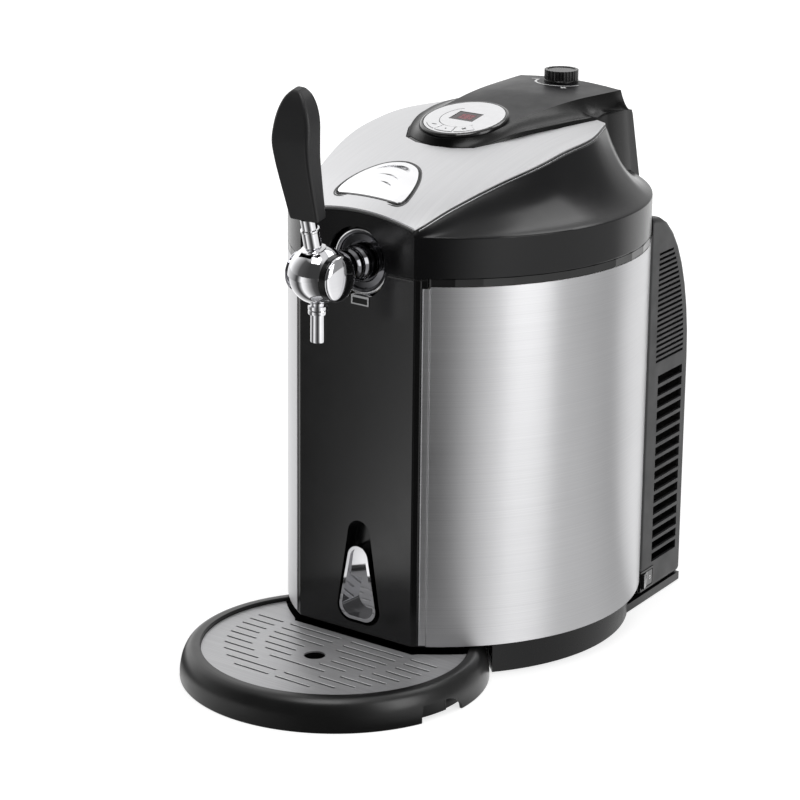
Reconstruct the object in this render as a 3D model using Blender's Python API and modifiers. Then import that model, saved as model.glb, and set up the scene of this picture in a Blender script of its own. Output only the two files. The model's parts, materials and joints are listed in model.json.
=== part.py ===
"""Mini keg dispenser with a cooled chamber, hinged lid, pouring tap and drip tray.

The machine stands on the XY plane and faces -Y. All lengths are metres.
Pieces are modelled round the middle of the body and hang from one empty,
which puts the middle of the machine's footprint on the world origin.
"""
import math

import bmesh
import bpy
from mathutils import Matrix, Vector

# Clearances
GAP = 0.0003
MOVING_GAP = 0.0010
SHAFT_GAP = 0.0003
OVERRUN = 0.004

# Body, seen from above: two side arcs between a flat front and a flat rear
BODY_HALF_WIDTH = 0.140
FRONT_HALF_WIDTH = 0.0552
BODY_FRONT = 0.1482
BODY_REAR = 0.148
SIDE_CENTRE_SHIFT = 0.040
BODY_BOTTOM = 0.028
STEEL_HEIGHT = 0.2915
STEEL_SHEET = 0.0008
STEEL_FRONT = 0.1422
STEEL_REAR = 0.0997
COLLAR_HEIGHT = 0.0062
PANEL_WALL = 0.0028
FLOOR_SHEET = 0.0027

# Keg chamber
CHAMBER_RADIUS = 0.0885
CHAMBER_CENTRE = -0.010
LINER_WALL = 0.0015
INSULATION_INSET = 0.005

# Base plinth and feet
PLINTH_INSET = 0.009
PLINTH_WALL = 0.003
PLINTH_LIFT = 0.0012
PLINTH_REAR_BEND = 0.082
PLINTH_TAIL_TOP = 0.008
FOOT_RADIUS = 0.009
FOOT_DEPTH = 0.003

# Drip tray and grille
TRAY_CENTRE = -0.1729
TRAY_RADIUS = 0.1224
TRAY_SKIRT_REACH = 0.0124
TRAY_RIM_WIDTH = 0.0042
TRAY_HEIGHT = 0.0256
TRAY_WALL = 0.0025
TRAY_LEDGE = 0.0038
TRAY_NEST_GAP = 0.0008
GRILLE_SHEET = 0.0013
GRILLE_DEPTH = 0.003
SLOT_WIDTH = 0.0024
DRAIN_RADIUS = 0.0085
GRILLE_BODY_GAP = 0.0022
NOTCH_LENGTH = 0.043
NOTCH_HEIGHT = 0.0135

# Lid
LID_BAND = 0.032
LID_CORNER_RISE = 0.0064
LID_TOP_RISE = 0.054
LID_CROWN = 0.0075
LID_WALL = 0.0028
COVER_HALF_WIDTH = 0.0935
COVER_SHEET = 0.0012
COVER_TIP = 0.078
LID_LINER_SHEET = 0.003
LID_LINER_FRONT = 0.108
HINGE_BACK = 0.005
HINGE_UP = 0.005
HINGE_PIN_RADIUS = 0.0025
KNUCKLE_RADIUS = 0.0057
KNUCKLE_INNER = 0.018
KNUCKLE_OUTER = 0.031
LUG_OUTER = 0.043
LUG_RADIUS = 0.0045
SEAL_WIDTH = 0.0042
FITTING_RADIUS = 0.006
FITTING_COLLAR = 0.002
FITTING_TIP_RADIUS = 0.0035
FITTING_TALL = 0.022
FITTING_STEP = 0.0035
FITTING_DROP = 0.006
HOSE_RADIUS = 0.0025
HOSE_BEND = 0.0085
HOSE_STUB = 0.009

# Console on the lid, with its display
CONSOLE_WALL = 0.0025
CONSOLE_HALF_WIDTH = 0.0735
CONSOLE_RIDGE_HALF_WIDTH = 0.050
CONSOLE_NOSE = 0.0535
CONSOLE_RIDGE_NOSE = 0.047
CONSOLE_REAR = 0.167
CONSOLE_RIDGE_REAR = 0.137
CONSOLE_TOP = 0.427
CONSOLE_CROWN = 0.003
CONSOLE_FOOT_DEPTH = 0.004
CONSOLE_TAIL_SLOPE = 0.20
DISPLAY_CENTRE = -0.0111
DISPLAY_TOP = 0.4208
DISPLAY_TILT_DEG = 11.7
DISPLAY_RADIUS = 0.0327
DISPLAY_RING_WIDTH = 0.0026
DISPLAY_RING_HEIGHT = 0.0032
DISPLAY_PLATE = 0.0026
WINDOW_WIDTH = 0.0224
WINDOW_DEPTH = 0.0158
KEY_INNER_RADIUS = 0.0205
KEY_OUTER_RADIUS = 0.0300
KEY_HALF_ANGLE_DEG = 15.5
KEY_PITCH_DEG = 35.0
KEY_TRAVEL = 0.0012
BOARD_SHEET = 0.0016

# Release button and latch
BUTTON_HALF_WIDTH = 0.031
BUTTON_FRONT = 0.1345
BUTTON_LENGTH = 0.047
BUTTON_DEPTH = 0.007
BUTTON_PROUD = 0.0008
LATCH_Y = -0.118
LATCH_ARM_X = 0.042
LATCH_ARM_WIDTH = 0.005
LATCH_ARM_DEPTH = 0.008
LATCH_PIN_RISE = 0.026
LATCH_PIN_RADIUS = 0.002
LATCH_BAR_HEIGHT = 0.008
LATCH_POST_Y = -0.096
LATCH_POST_GAP = 0.0006

# Gas regulator
KNOB_Y = 0.1235
KNOB_RADIUS = 0.0141
KNOB_HEIGHT = 0.0091
KNOB_LIFT = 0.0010
KNOB_SHAFT_RADIUS = 0.003
REGULATOR_RADIUS = 0.012
CARTRIDGE_RADIUS = 0.011
CARTRIDGE_LENGTH = 0.088
CARTRIDGE_LIFT = 0.0201
HOLDER_WALL = 0.0018

# Tap
TAP_RISE = 0.0032
TAP_BALL_Y = -0.1946
TAP_BALL_RADIUS = 0.0225
TAP_CAP_X = 0.0195
TAP_CAP_RADIUS = 0.0175
TAP_CAP_THICK = 0.0055
TAP_CORE_RADIUS = 0.0105
TAP_SLOT_HALF_WIDTH = 0.0062
TAP_STEM_RADIUS = 0.0052
TAP_STEM_COLLAR_RADIUS = 0.0072
TAP_STEM_LENGTH = 0.048
STEM_INSERT = 0.012
TAP_TILT_DEG = 15.0
TAP_OPEN_DEG = 15.0
HANDLE_LENGTH = 0.0988
HANDLE_TOP_HALF_WIDTH = 0.018
HANDLE_BEND = 0.015
HANDLE_THICK = 0.018
FLANGE_RADIUS = 0.0258
FLANGE_THICK = 0.003
FLANGE_RECESS = 0.0062
WELL_RADIUS = 0.0285
WELL_PLATE_RADIUS = 0.031
WELL_PLATE_THICK = 0.004
SHANK_RADIUS = 0.0145
SHANK_TAIL_RADIUS = 0.006
SHANK_TAIL_LENGTH = 0.024
SPOUT_RADIUS = 0.0058
SPOUT_BORE = 0.0035
SPOUT_COLLAR_RADIUS = 0.0078
SPOUT_DROP = 0.0522
SPOUT_COLLAR_LENGTH = 0.0085
FLANGE_TAB_DROP = 0.0035
FLANGE_LIP_WIDTH = 0.0020
FLANGE_LIP_SLOPE = 0.0015
SHANK_RING_STEP = 0.0006
STEM_COLLAR_LENGTH = 0.009
TAP_CHAMFER = 0.001

# Bottle opener in the lower front
OPENER_X = 0.004
OPENER_POCKET_TOP = 0.121
OPENER_POCKET_BOTTOM = 0.035
OPENER_POCKET_HALF_WIDTH = 0.0212
OPENER_POCKET_TOP_RADIUS = 0.0110
OPENER_POCKET_DEPTH = 0.0125
OPENER_TOP = 0.100
OPENER_BOTTOM = 0.038
OPENER_HALF_WIDTH = 0.0180
OPENER_TOP_RADIUS = 0.0100
OPENER_PROUD = 0.0015
OPENER_WALL = 0.0026

# Rear housing, fan and cooler
HOUSING_SETBACK = 0.032
HOUSING_TAPER = 0.105
HOUSING_REAR = 0.178
HOUSING_TOP = 0.3335
HOUSING_SHOULDER = 0.200
HOUSING_CURVE_START = 0.108
HOUSING_WALL = 0.0025
HOUSING_ROUND = 0.005
LOUVRE_COUNT = 22
LOUVRE_LOW = 0.2085
LOUVRE_PITCH = 0.00435
LOUVRE_SLOT = 0.0022
VENT_COUNT = 16
VENT_LOW = 0.033
VENT_PITCH = 0.0104
VENT_SLOT = 0.0074
VENT_FRONT = 0.1215
VENT_REAR = 0.166
REAR_SLOT_COUNT = 12
REAR_SLOT_LOW = 0.095
REAR_SLOT_HALF_WIDTH = 0.043
REAR_SLOT_PITCH = 0.0088
REAR_SLOT = 0.0045
FAN_SIZE = 0.092
FAN_DEPTH = 0.025
FAN_HEIGHT = 0.145
FAN_BORE = 0.0430
FAN_HUB_RADIUS = 0.018
FAN_SHAFT_RADIUS = 0.002
FAN_BLADES = 7
FAN_BLADE_THICK = 0.0016
SINK_HALF_WIDTH = 0.045
SINK_BASE = 0.0055
SINK_DEPTH = 0.030
SINK_FINS = 11
SINK_FIN = 0.0016
COLD_BLOCK_HALF = 0.030
PELTIER_HALF = 0.020
PELTIER_THICK = 0.004
SWITCH_Y = 0.1135
SWITCH_HEIGHT = 0.0205
SWITCH_LENGTH = 0.019
SWITCH_WIDTH = 0.013
SWITCH_FRAME = 0.0022
SWITCH_TILT_DEG = 7.0
SWITCH_DEPTH = 0.012
SWITCH_PROUD = 0.0005
ROCKER_PIVOT_DEPTH = 0.003
ROCKER_CHEEK = 0.0035
ROCKER_EDGE_PROUD = 0.0016
ROCKER_DISH_PROUD = 0.0004
INLET_X = -0.055
INLET_HEIGHT = 0.032
INLET_WIDTH = 0.026
INLET_TALL = 0.019
INLET_DEPTH = 0.018
INLET_WALL = 0.0025
INLET_BLADE = 0.001
SCREW_HEAD_RADIUS = 0.0038
SCREW_LENGTH = 0.006

# Facets
SIDE_STEPS = 15
CIRCLE_STEPS = 32
SMALL_STEPS = 16
TRAY_STEPS = 40
LID_COLUMNS = 6
CONSOLE_COLUMNS = 4

# Places worked out from the sizes above
STEEL_TOP = BODY_BOTTOM + STEEL_HEIGHT
COLLAR_TOP = STEEL_TOP + COLLAR_HEIGHT
LID_BOTTOM = COLLAR_TOP + GAP
BAND_TOP = LID_BOTTOM + LID_BAND
HINGE_Y = BODY_REAR + HINGE_BACK
HINGE_Z = LID_BOTTOM + HINGE_UP
LATCH_PIN_Z = LID_BOTTOM + LATCH_PIN_RISE
TRAY_RIM_RADIUS = TRAY_RADIUS - TRAY_SKIRT_REACH
TRAY_FRONT = TRAY_CENTRE - TRAY_RADIUS
TAP_HEIGHT = LID_BOTTOM + TAP_RISE
CARTRIDGE_HEIGHT = LID_BOTTOM + 3 * GAP + LID_LINER_SHEET + CARTRIDGE_LIFT
HOUSING_HALF_WIDTH = BODY_HALF_WIDTH - HOUSING_SETBACK
SPOUT_TIP = TAP_HEIGHT - SPOUT_DROP
MIDDLE_Y = (HOUSING_REAR + TRAY_FRONT) / 2
DISPLAY_TILT = math.radians(DISPLAY_TILT_DEG)
CONSOLE_PLANE = DISPLAY_TOP - DISPLAY_RING_HEIGHT

PARTS = "keg_dispenser"
CUTTERS = "keg_dispenser_cutters"


# Scene and object helpers

def clear_scene():
    for item in list(bpy.data.objects):
        bpy.data.objects.remove(item, do_unlink=True)
    for name in (PARTS, CUTTERS):
        group = bpy.data.collections.new(name)
        bpy.context.scene.collection.children.link(group)


def group(name):
    return bpy.context.scene.collection.children[name]


def material(name, colour, roughness, metallic=0.0):
    found = bpy.data.materials.get(name)
    if found:
        return found
    made = bpy.data.materials.new(name)
    made.use_nodes = True
    shader = made.node_tree.nodes["Principled BSDF"]
    shader.inputs["Base Color"].default_value = (*colour, 1.0)
    shader.inputs["Roughness"].default_value = roughness
    shader.inputs["Metallic"].default_value = metallic
    return made


def black_plastic():
    return material("black_plastic", (0.02, 0.02, 0.022), 0.42)


def gloss_black():
    return material("gloss_black", (0.012, 0.012, 0.013), 0.12)


def grey_plastic():
    return material("dark_grey_plastic", (0.055, 0.057, 0.06), 0.5)


def brushed_steel():
    return material("brushed_steel", (0.62, 0.62, 0.62), 0.32, 1.0)


def silver_paint():
    return material("silver_paint", (0.62, 0.63, 0.64), 0.34, 0.6)


def chrome():
    return material("chrome", (0.8, 0.8, 0.82), 0.06, 1.0)


def aluminium():
    return material("aluminium", (0.7, 0.7, 0.72), 0.35, 1.0)


def rubber():
    return material("rubber", (0.02, 0.02, 0.02), 0.8)


def foam():
    return material("foam", (0.75, 0.72, 0.62), 0.9)


def ceramic():
    return material("white_ceramic", (0.85, 0.85, 0.83), 0.5)


def brass():
    return material("brass", (0.7, 0.52, 0.25), 0.25, 1.0)


def red_lens():
    return material("red_lens", (0.09, 0.01, 0.015), 0.1)


def green_board():
    return material("circuit_board", (0.02, 0.16, 0.06), 0.5)


def add_object(name, mesh, look, collection=PARTS):
    item = bpy.data.objects.new(name, mesh)
    group(collection).objects.link(item)
    if look:
        mesh.materials.append(look)
    return item


def as_cutter(item):
    if item.name in group(PARTS).objects:
        group(PARTS).objects.unlink(item)
        group(CUTTERS).objects.link(item)
    item.hide_render = True
    item.display_type = "WIRE"
    return item


def combine(item, other, operation):
    step = item.modifiers.new(operation.lower(), "BOOLEAN")
    step.operation = operation
    step.solver = "EXACT"
    step.object = as_cutter(other)
    return item


def cut(item, *cutters):
    for cutter in cutters:
        combine(item, cutter, "DIFFERENCE")
    return item


def join(item, *others):
    for other in others:
        combine(item, other, "UNION")
    return item


def soften(item, width, segments=2, angle=35.0):
    step = item.modifiers.new("bevel", "BEVEL")
    step.width = width
    step.segments = segments
    step.limit_method = "ANGLE"
    step.angle_limit = math.radians(angle)
    return item


def smooth(item, angle=35.0):
    item.data.shade_smooth()
    item.data.set_sharp_from_angle(angle=math.radians(angle))
    return item


# Shape makers

def box(name, low, high, look=None):
    """A block between two corners."""
    shape = bmesh.new()
    bmesh.ops.create_cube(shape, size=1.0)
    for vert in shape.verts:
        vert.co = Vector([a + (b - a) * (c + 0.5) for a, b, c in zip(low, high, vert.co)])
    mesh = bpy.data.meshes.new(name)
    shape.to_mesh(mesh)
    shape.free()
    return add_object(name, mesh, look)


def boxes(name, corners, look=None):
    """Several separate blocks in one mesh, for a pattern of cuts."""
    shape = bmesh.new()
    for low, high in corners:
        made = bmesh.ops.create_cube(shape, size=1.0)["verts"]
        for vert in made:
            vert.co = Vector([a + (b - a) * (c + 0.5) for a, b, c in zip(low, high, vert.co)])
    mesh = bpy.data.meshes.new(name)
    shape.to_mesh(mesh)
    shape.free()
    return add_object(name, mesh, look)


def turn_to(axis):
    """Rotation that takes local Z to the named axis."""
    turns = {
        "Z": (0.0, 0.0, 0.0),
        "-Z": (math.pi, 0.0, 0.0),
        "Y": (-math.pi / 2, 0.0, 0.0),
        "-Y": (math.pi / 2, 0.0, 0.0),
        "X": (0.0, math.pi / 2, 0.0),
        "-X": (0.0, -math.pi / 2, 0.0),
    }
    return turns[axis]


def rod(name, start, axis, length, radius, look=None, steps=SMALL_STEPS):
    """A plain cylinder that starts at a point and runs along an axis."""
    shape = bmesh.new()
    bmesh.ops.create_cone(shape, cap_ends=True, segments=steps,
                          radius1=radius, radius2=radius, depth=length)
    bmesh.ops.translate(shape, verts=shape.verts, vec=(0, 0, length / 2))
    mesh = bpy.data.meshes.new(name)
    shape.to_mesh(mesh)
    shape.free()
    item = add_object(name, mesh, look)
    item.location = start
    item.rotation_euler = turn_to(axis)
    return smooth(item)


def turned(name, profile, centre, axis, look=None, steps=CIRCLE_STEPS):
    """A profile of (radius, height) points screwed about its own axis."""
    closed = profile[0] == profile[-1]
    points = profile[:-1] if closed else profile
    mesh = bpy.data.meshes.new(name)
    edges = [(i, i + 1) for i in range(len(points) - 1)]
    if closed:
        edges.append((len(points) - 1, 0))
    mesh.from_pydata([(r, 0.0, h) for r, h in points], edges, [])
    item = add_object(name, mesh, look)
    step = item.modifiers.new("screw", "SCREW")
    step.axis = "Z"
    step.steps = steps
    step.render_steps = steps
    step.use_merge_vertices = True
    step.merge_threshold = 0.00001
    step.use_smooth_shade = True
    item.location = centre
    item.rotation_euler = turn_to(axis)
    return item


def slab(name, outline, low, high, look=None, plane="XY", holes=()):
    """A flat outline, with holes, drawn out between two levels of the third axis."""
    curve = bpy.data.curves.new(name, "CURVE")
    curve.dimensions = "2D"
    curve.fill_mode = "BOTH"
    curve.extrude = (high - low) / 2
    for points in (outline, *holes):
        spline = curve.splines.new("POLY")
        spline.points.add(len(points) - 1)
        for target, (a, b) in zip(spline.points, points):
            target.co = (a, b, 0.0, 1.0)
        spline.use_cyclic_u = True
    middle = (high + low) / 2
    places = {
        "XY": ((0, 0, middle), (0, 0, 0)),
        "XZ": ((0, middle, 0), (math.pi / 2, 0, 0)),
        "YZ": ((middle, 0, 0), (math.pi / 2, 0, math.pi / 2)),
    }
    item = mesh_from_curve(name, curve, look)
    item.location, item.rotation_euler = places[plane]
    return item


def mesh_from_curve(name, curve, look):
    """Turns a curve into a welded mesh object."""
    guide = bpy.data.objects.new(name + "_guide", curve)
    group(CUTTERS).objects.link(guide)
    bpy.context.view_layer.update()
    graph = bpy.context.evaluated_depsgraph_get()
    mesh = bpy.data.meshes.new_from_object(guide.evaluated_get(graph))
    bpy.data.objects.remove(guide, do_unlink=True)
    shape = bmesh.new()
    shape.from_mesh(mesh)
    bmesh.ops.remove_doubles(shape, verts=shape.verts, dist=0.00001)
    bmesh.ops.recalc_face_normals(shape, faces=shape.faces)
    shape.to_mesh(mesh)
    shape.free()
    mesh.name = name
    mesh.materials.clear()
    return add_object(name, mesh, look)


def tube(name, points, radius, look):
    """A round hose along a smooth path, with filled ends."""
    curve = bpy.data.curves.new(name, "CURVE")
    curve.dimensions = "3D"
    curve.bevel_depth = radius
    curve.bevel_resolution = 2
    curve.use_fill_caps = True
    spline = curve.splines.new("POLY")
    spline.points.add(len(points) - 1)
    for target, point in zip(spline.points, points):
        target.co = (*point, 1.0)
    return smooth(mesh_from_curve(name, curve, look))


def mesh_object(name, verts, faces, look):
    mesh = bpy.data.meshes.new(name)
    mesh.from_pydata([tuple(v) for v in verts], [], faces)
    shape = bmesh.new()
    shape.from_mesh(mesh)
    bmesh.ops.remove_doubles(shape, verts=shape.verts, dist=0.00001)
    bmesh.ops.recalc_face_normals(shape, faces=shape.faces)
    shape.to_mesh(mesh)
    shape.free()
    return add_object(name, mesh, look)


# Outline helpers

def circle(radius, centre=(0.0, 0.0), steps=CIRCLE_STEPS, start=0.0, end=2 * math.pi):
    full = abs(end - start - 2 * math.pi) < 1e-9
    count = steps if full else steps + 1
    return [(centre[0] + radius * math.cos(start + (end - start) * i / steps),
             centre[1] + radius * math.sin(start + (end - start) * i / steps))
            for i in range(count)]


def nosed_outline(right, nose_half, nose_front):
    """Mirrored outline with a flat nose that narrows towards the front."""
    return [(-nose_half, nose_front), (nose_half, nose_front)] + right + mirrored(right)


def spline_through(points, steps):
    """Points of a smooth curve through the given ones."""
    out = []
    last = len(points) - 1
    for i in range(last):
        before = points[max(i - 1, 0)]
        here = points[i]
        there = points[i + 1]
        after = points[min(i + 2, last)]
        for k in range(steps):
            t = k / steps
            out.append(tuple(
                ((2 * b) + (c - a) * t + (2 * a - 5 * b + 4 * c - d) * t ** 2
                 + (3 * b - a - 3 * c + d) * t ** 3) / 2
                for a, b, c, d in zip(before, here, there, after)))
    out.append(tuple(points[last]))
    return out


def read_table(table, share):
    """Straight reading between the rows of a table of (share, value share)."""
    for (s0, v0), (s1, v1) in zip(table, table[1:]):
        if share <= s1:
            return v0 + (v1 - v0) * (share - s0) / (s1 - s0)
    return table[-1][1]


def smooth_table(table_shares):
    """A finer copy of a table, read along a smooth curve through its rows."""
    return spline_through(table_shares, 6)


def side_x(y, inset=0.0):
    """Half width of the body at a depth, with its side moved in by inset."""
    front_share = (FRONT_HALF_WIDTH + SIDE_CENTRE_SHIFT) / (BODY_HALF_WIDTH + SIDE_CENTRE_SHIFT)
    reach = BODY_FRONT / math.sqrt(1 - front_share ** 2) - inset
    width = BODY_HALF_WIDTH + SIDE_CENTRE_SHIFT - inset
    return width * math.sqrt(max(1 - (y / reach) ** 2, 0)) - SIDE_CENTRE_SHIFT


def side_points(front, rear, inset=0.0, steps=SIDE_STEPS):
    """Right-hand side from front to rear, in steps of even length along the arc."""
    reach = 1.02 * max(abs(front), abs(rear))
    first = math.asin(front / reach)
    last = math.asin(rear / reach)
    places = [reach * math.sin(first + (last - first) * i / steps) for i in range(steps + 1)]
    return [(side_x(y, inset), y) for y in places]


def mirrored(points):
    return [(-x, y) for x, y in reversed(points)]


def body_outline(front, rear, inset=0.0):
    right = side_points(front, rear, inset)
    return right + mirrored(right)


def housing_x(y, inset=0.0):
    return HOUSING_HALF_WIDTH - HOUSING_TAPER * (y - STEEL_REAR) - inset


# Lofts between closed rings that share a plan of rows and columns

def ring_size(rows, columns):
    return 2 * rows + 2 * columns


def ring(right, columns, crown=0.0, bow=0.0):
    """Closed ring of right-hand points, flat rear row and a crowned, bowed front row."""
    rows = len(right) - 1
    left = [(-x, y, z) for x, y, z in right]

    def across(a, b, j, rise, swell):
        share = j / columns
        arch = 1 - (1 - 2 * share) ** 2
        return (a[0] + (b[0] - a[0]) * share, a[1] - swell * arch, a[2] + rise * arch)

    rear = [across(right[rows], left[rows], j, 0.0, 0.0) for j in range(1, columns)]
    front = [across(left[0], right[0], j, crown, bow) for j in range(1, columns)]
    return list(right) + rear + list(reversed(left)) + front


def inset_ring(points, inward, down):
    """Moves a ring inward in plan and down."""
    count = len(points)
    out = []
    for i, (x, y, z) in enumerate(points):
        before = Vector(points[i - 1][:2])
        after = Vector(points[(i + 1) % count][:2])
        here = Vector((x, y))
        first = (here - before).normalized()
        second = (after - here).normalized()
        normal = Vector((-(first.y + second.y), first.x + second.x)).normalized()
        lean = max(normal.dot(Vector((-first.y, first.x))), 0.5)
        moved = here + normal * (inward / lean)
        out.append((moved.x, moved.y, z - down))
    return out


def cap_rows(points, rows, columns, crowns):
    """Rows of points that fill a ring, each raised by its own crown."""
    size = len(points)
    table = []
    for i in range(rows + 1):
        right = points[i]
        left = points[2 * rows + columns - i]
        if i == rows:
            middle = points[rows + 1:rows + columns]
        elif i == 0:
            middle = [points[size - j] for j in range(1, columns)]
        else:
            middle = []
            for j in range(1, columns):
                share = j / columns
                arch = crowns[i] * (1 - (1 - 2 * share) ** 2)
                middle.append(tuple(p + (q - p) * share + (arch if k == 2 else 0)
                                    for k, (p, q) in enumerate(zip(right, left))))
        table.append([right, *middle, left])
    return table


def loft_shell(name, outer, inner, rows, columns, crowns, look):
    """A shell between outer and inner stacks of rings, open underneath."""
    verts = []
    faces = []
    for stack, flip in ((outer, False), (inner, True)):
        for low, high in zip(stack, stack[1:]):
            add_band(verts, faces, low, high, flip)
        add_cap(verts, faces, cap_rows(stack[-1], rows, columns, crowns), flip)
    add_band(verts, faces, inner[0], outer[0], False)
    return mesh_object(name, verts, faces, look)


def add_band(verts, faces, low, high, flip):
    size = len(low)
    start = len(verts)
    verts.extend(low)
    verts.extend(high)
    for i in range(size):
        k = (i + 1) % size
        quad = [start + i, start + k, start + size + k, start + size + i]
        faces.append(quad[::-1] if flip else quad)


def add_cap(verts, faces, table, flip):
    width = len(table[0])
    start = len(verts)
    for row in table:
        verts.extend(row)
    for i in range(len(table) - 1):
        for j in range(width - 1):
            a = start + i * width + j
            quad = [a, a + 1, a + width + 1, a + width]
            faces.append(quad if flip else quad[::-1])


def sheet(name, table, thickness, look):
    """A thin sheet that follows a table of points, thickness straight down."""
    lower = [[(x, y, z - thickness) for x, y, z in row] for row in table]
    verts = []
    faces = []
    add_cap(verts, faces, table, False)
    add_cap(verts, faces, lower, True)
    width = len(table[0])
    edge = [(i, 0) for i in range(len(table))]
    edge += [(len(table) - 1, j) for j in range(1, width)]
    edge += [(i, width - 1) for i in range(len(table) - 2, -1, -1)]
    edge += [(0, j) for j in range(width - 2, 0, -1)]
    top = [table[i][j] for i, j in edge]
    bottom = [lower[i][j] for i, j in edge]
    add_band(verts, faces, bottom, top, False)
    return mesh_object(name, verts, faces, look)


# Lid surface, from shares of its length, width and rise
cover_width_shares = smooth_table([(0.0, 0.590), (0.05, 0.660), (0.20, 0.797), (0.46, 0.970),
                                   (0.62, 1.0), (0.80, 0.985), (1.0, 0.800)])
cover_height_shares = smooth_table([(0.0, 0.0), (0.124, 0.29), (0.30, 0.56), (0.46, 0.737),
                                    (0.62, 0.876), (0.80, 0.956), (1.0, 1.0)])
foot_width_shares = smooth_table([(0.0, 0.800), (0.25, 0.770), (0.50, 0.727), (0.75, 0.660),
                                  (1.0, 0.580)])
foot_height_shares = smooth_table([(0.0, 1.0), (0.20, 0.69), (0.45, 0.37), (0.72, 0.13),
                                   (1.0, 0.05)])
flank_pull_share = 0.30
flank_rise_share = 0.25
flank_step_shares = (0.22, 0.48, 0.75)


def lid_edge(y):
    """Upper edge of the lid's flank at a depth: half width and height."""
    low = BAND_TOP + LID_CORNER_RISE
    high = BAND_TOP + LID_TOP_RISE
    if y <= COVER_TIP:
        share = (y + BODY_FRONT) / (COVER_TIP + BODY_FRONT)
        return (COVER_HALF_WIDTH * read_table(cover_width_shares, share),
                low + (high - low) * read_table(cover_height_shares, share))
    share = (y - COVER_TIP) / (BODY_REAR - COVER_TIP)
    width = COVER_HALF_WIDTH * read_table(foot_width_shares, share)
    return (min(width, side_x(y) - GAP),
            BAND_TOP + (high - BAND_TOP) * read_table(foot_height_shares, share))


def cover_z(x, y):
    """Height of the silver cover's upper face."""
    edge, height = lid_edge(min(y, COVER_TIP))
    return height + LID_CROWN * (1 - (x / edge) ** 2)


def lid_rows():
    right = side_points(-BODY_FRONT, BODY_REAR)
    return [y for _, y in right]


def lid_rings(inset, sink):
    """Rings of the lid from its lower edge up over the concave flanks."""
    places = lid_rows()
    step_down = COVER_SHEET + GAP
    band = [(side_x(y), y) for y in places]
    low = [(x, y, LID_BOTTOM) for x, y in band]
    high = [(x, y, BAND_TOP) for x, y in band]
    flank_sets = [[] for _ in flank_step_shares]
    edge_set = []
    for x, y in band:
        edge, height = lid_edge(y)
        height -= step_down
        pull = (edge + (x - edge) * flank_pull_share,
                BAND_TOP + (height - BAND_TOP) * flank_rise_share)
        for rows, t in zip(flank_sets, flank_step_shares):
            rows.append(((1 - t) ** 2 * x + 2 * t * (1 - t) * pull[0] + t * t * edge, y,
                         (1 - t) ** 2 * BAND_TOP + 2 * t * (1 - t) * pull[1] + t * t * height))
        edge_set.append((edge, y, height))
    stack = [ring(low, LID_COLUMNS), ring(high, LID_COLUMNS)]
    for rows, t in zip(flank_sets, flank_step_shares):
        stack.append(ring(rows, LID_COLUMNS, LID_CROWN * t))
    stack.append(ring(edge_set, LID_COLUMNS, LID_CROWN))
    if not inset:
        return stack
    return [inset_ring(points, inset, 0 if i == 0 else sink) for i, points in enumerate(stack)]


def lid_crowns():
    """The deck is crowned under the cover and flattens behind it."""
    out = []
    for y in lid_rows():
        behind = max(0.0, y - COVER_TIP) / (BODY_REAR - COVER_TIP)
        out.append(LID_CROWN * max(0.0, 1 - 3 * behind))
    return out


def button_outline(spread):
    """Arched button plan, wider by spread all round."""
    half = BUTTON_HALF_WIDTH + spread
    front = -BUTTON_FRONT - spread
    length = BUTTON_LENGTH + 2 * spread
    arch_shares = ((1.0, 0.0), (1.03, 0.12), (0.98, 0.35), (0.82, 0.62), (0.55, 0.86),
                   (0.25, 0.97), (0.0, 1.0))
    right = spline_through([(half * a, front + length * b) for a, b in arch_shares], 3)
    return right + [(-x, y) for x, y in reversed(right[:-1])]


def make_lid_shell():
    outer = lid_rings(0.0, 0.0)
    inner = lid_rings(LID_WALL, LID_WALL)
    rows = len(lid_rows()) - 1
    item = loft_shell("lid_shell", outer, inner, rows, LID_COLUMNS, lid_crowns(), black_plastic())
    well = rod("lid_well_cutter", (0, -BODY_FRONT - OVERRUN, TAP_HEIGHT), "Y",
               LID_WALL + 2 * OVERRUN, WELL_RADIUS, steps=CIRCLE_STEPS)
    button = slab("lid_button_cutter", button_outline(MOVING_GAP), BAND_TOP,
                  CONSOLE_TOP)
    wiring = slab("lid_wiring_cutter", circle(WINDOW_WIDTH / 2, (0, DISPLAY_CENTRE), SMALL_STEPS),
                  BAND_TOP, CONSOLE_TOP)
    gas = rod("lid_gas_cutter", (0, KNOB_Y, LID_BOTTOM), "Z", CONSOLE_TOP - LID_BOTTOM,
              REGULATOR_RADIUS + GAP)
    reach = latch_pin_reach() + GAP
    sockets = rod("lid_latch_cutter", (-reach, LATCH_Y, LATCH_PIN_Z), "X", 2 * reach,
                  LATCH_PIN_RADIUS + SHAFT_GAP, steps=12)
    cut(item, well, button, wiring, gas, sockets)
    for side in (-1, 1):
        join(item, hinge_knuckle(side))
    bore = rod("lid_pin_cutter", (-LUG_OUTER, HINGE_Y, HINGE_Z), "X", 2 * LUG_OUTER,
               HINGE_PIN_RADIUS + SHAFT_GAP)
    return cut(item, bore)


def hinge_knuckle(side):
    """Barrel and web that carry the lid on its hinge pin."""
    inner, outer = sorted((side * KNUCKLE_INNER, side * KNUCKLE_OUTER))
    name = "lid_knuckle_" + ("right" if side > 0 else "left")
    barrel = rod(name, (inner, HINGE_Y, HINGE_Z), "X", outer - inner, KNUCKLE_RADIUS)
    web = box(name + "_web", (inner, BODY_REAR - LID_WALL / 2, HINGE_Z),
              (outer, HINGE_Y, HINGE_Z + KNUCKLE_RADIUS))
    return join(barrel, web)


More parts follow.
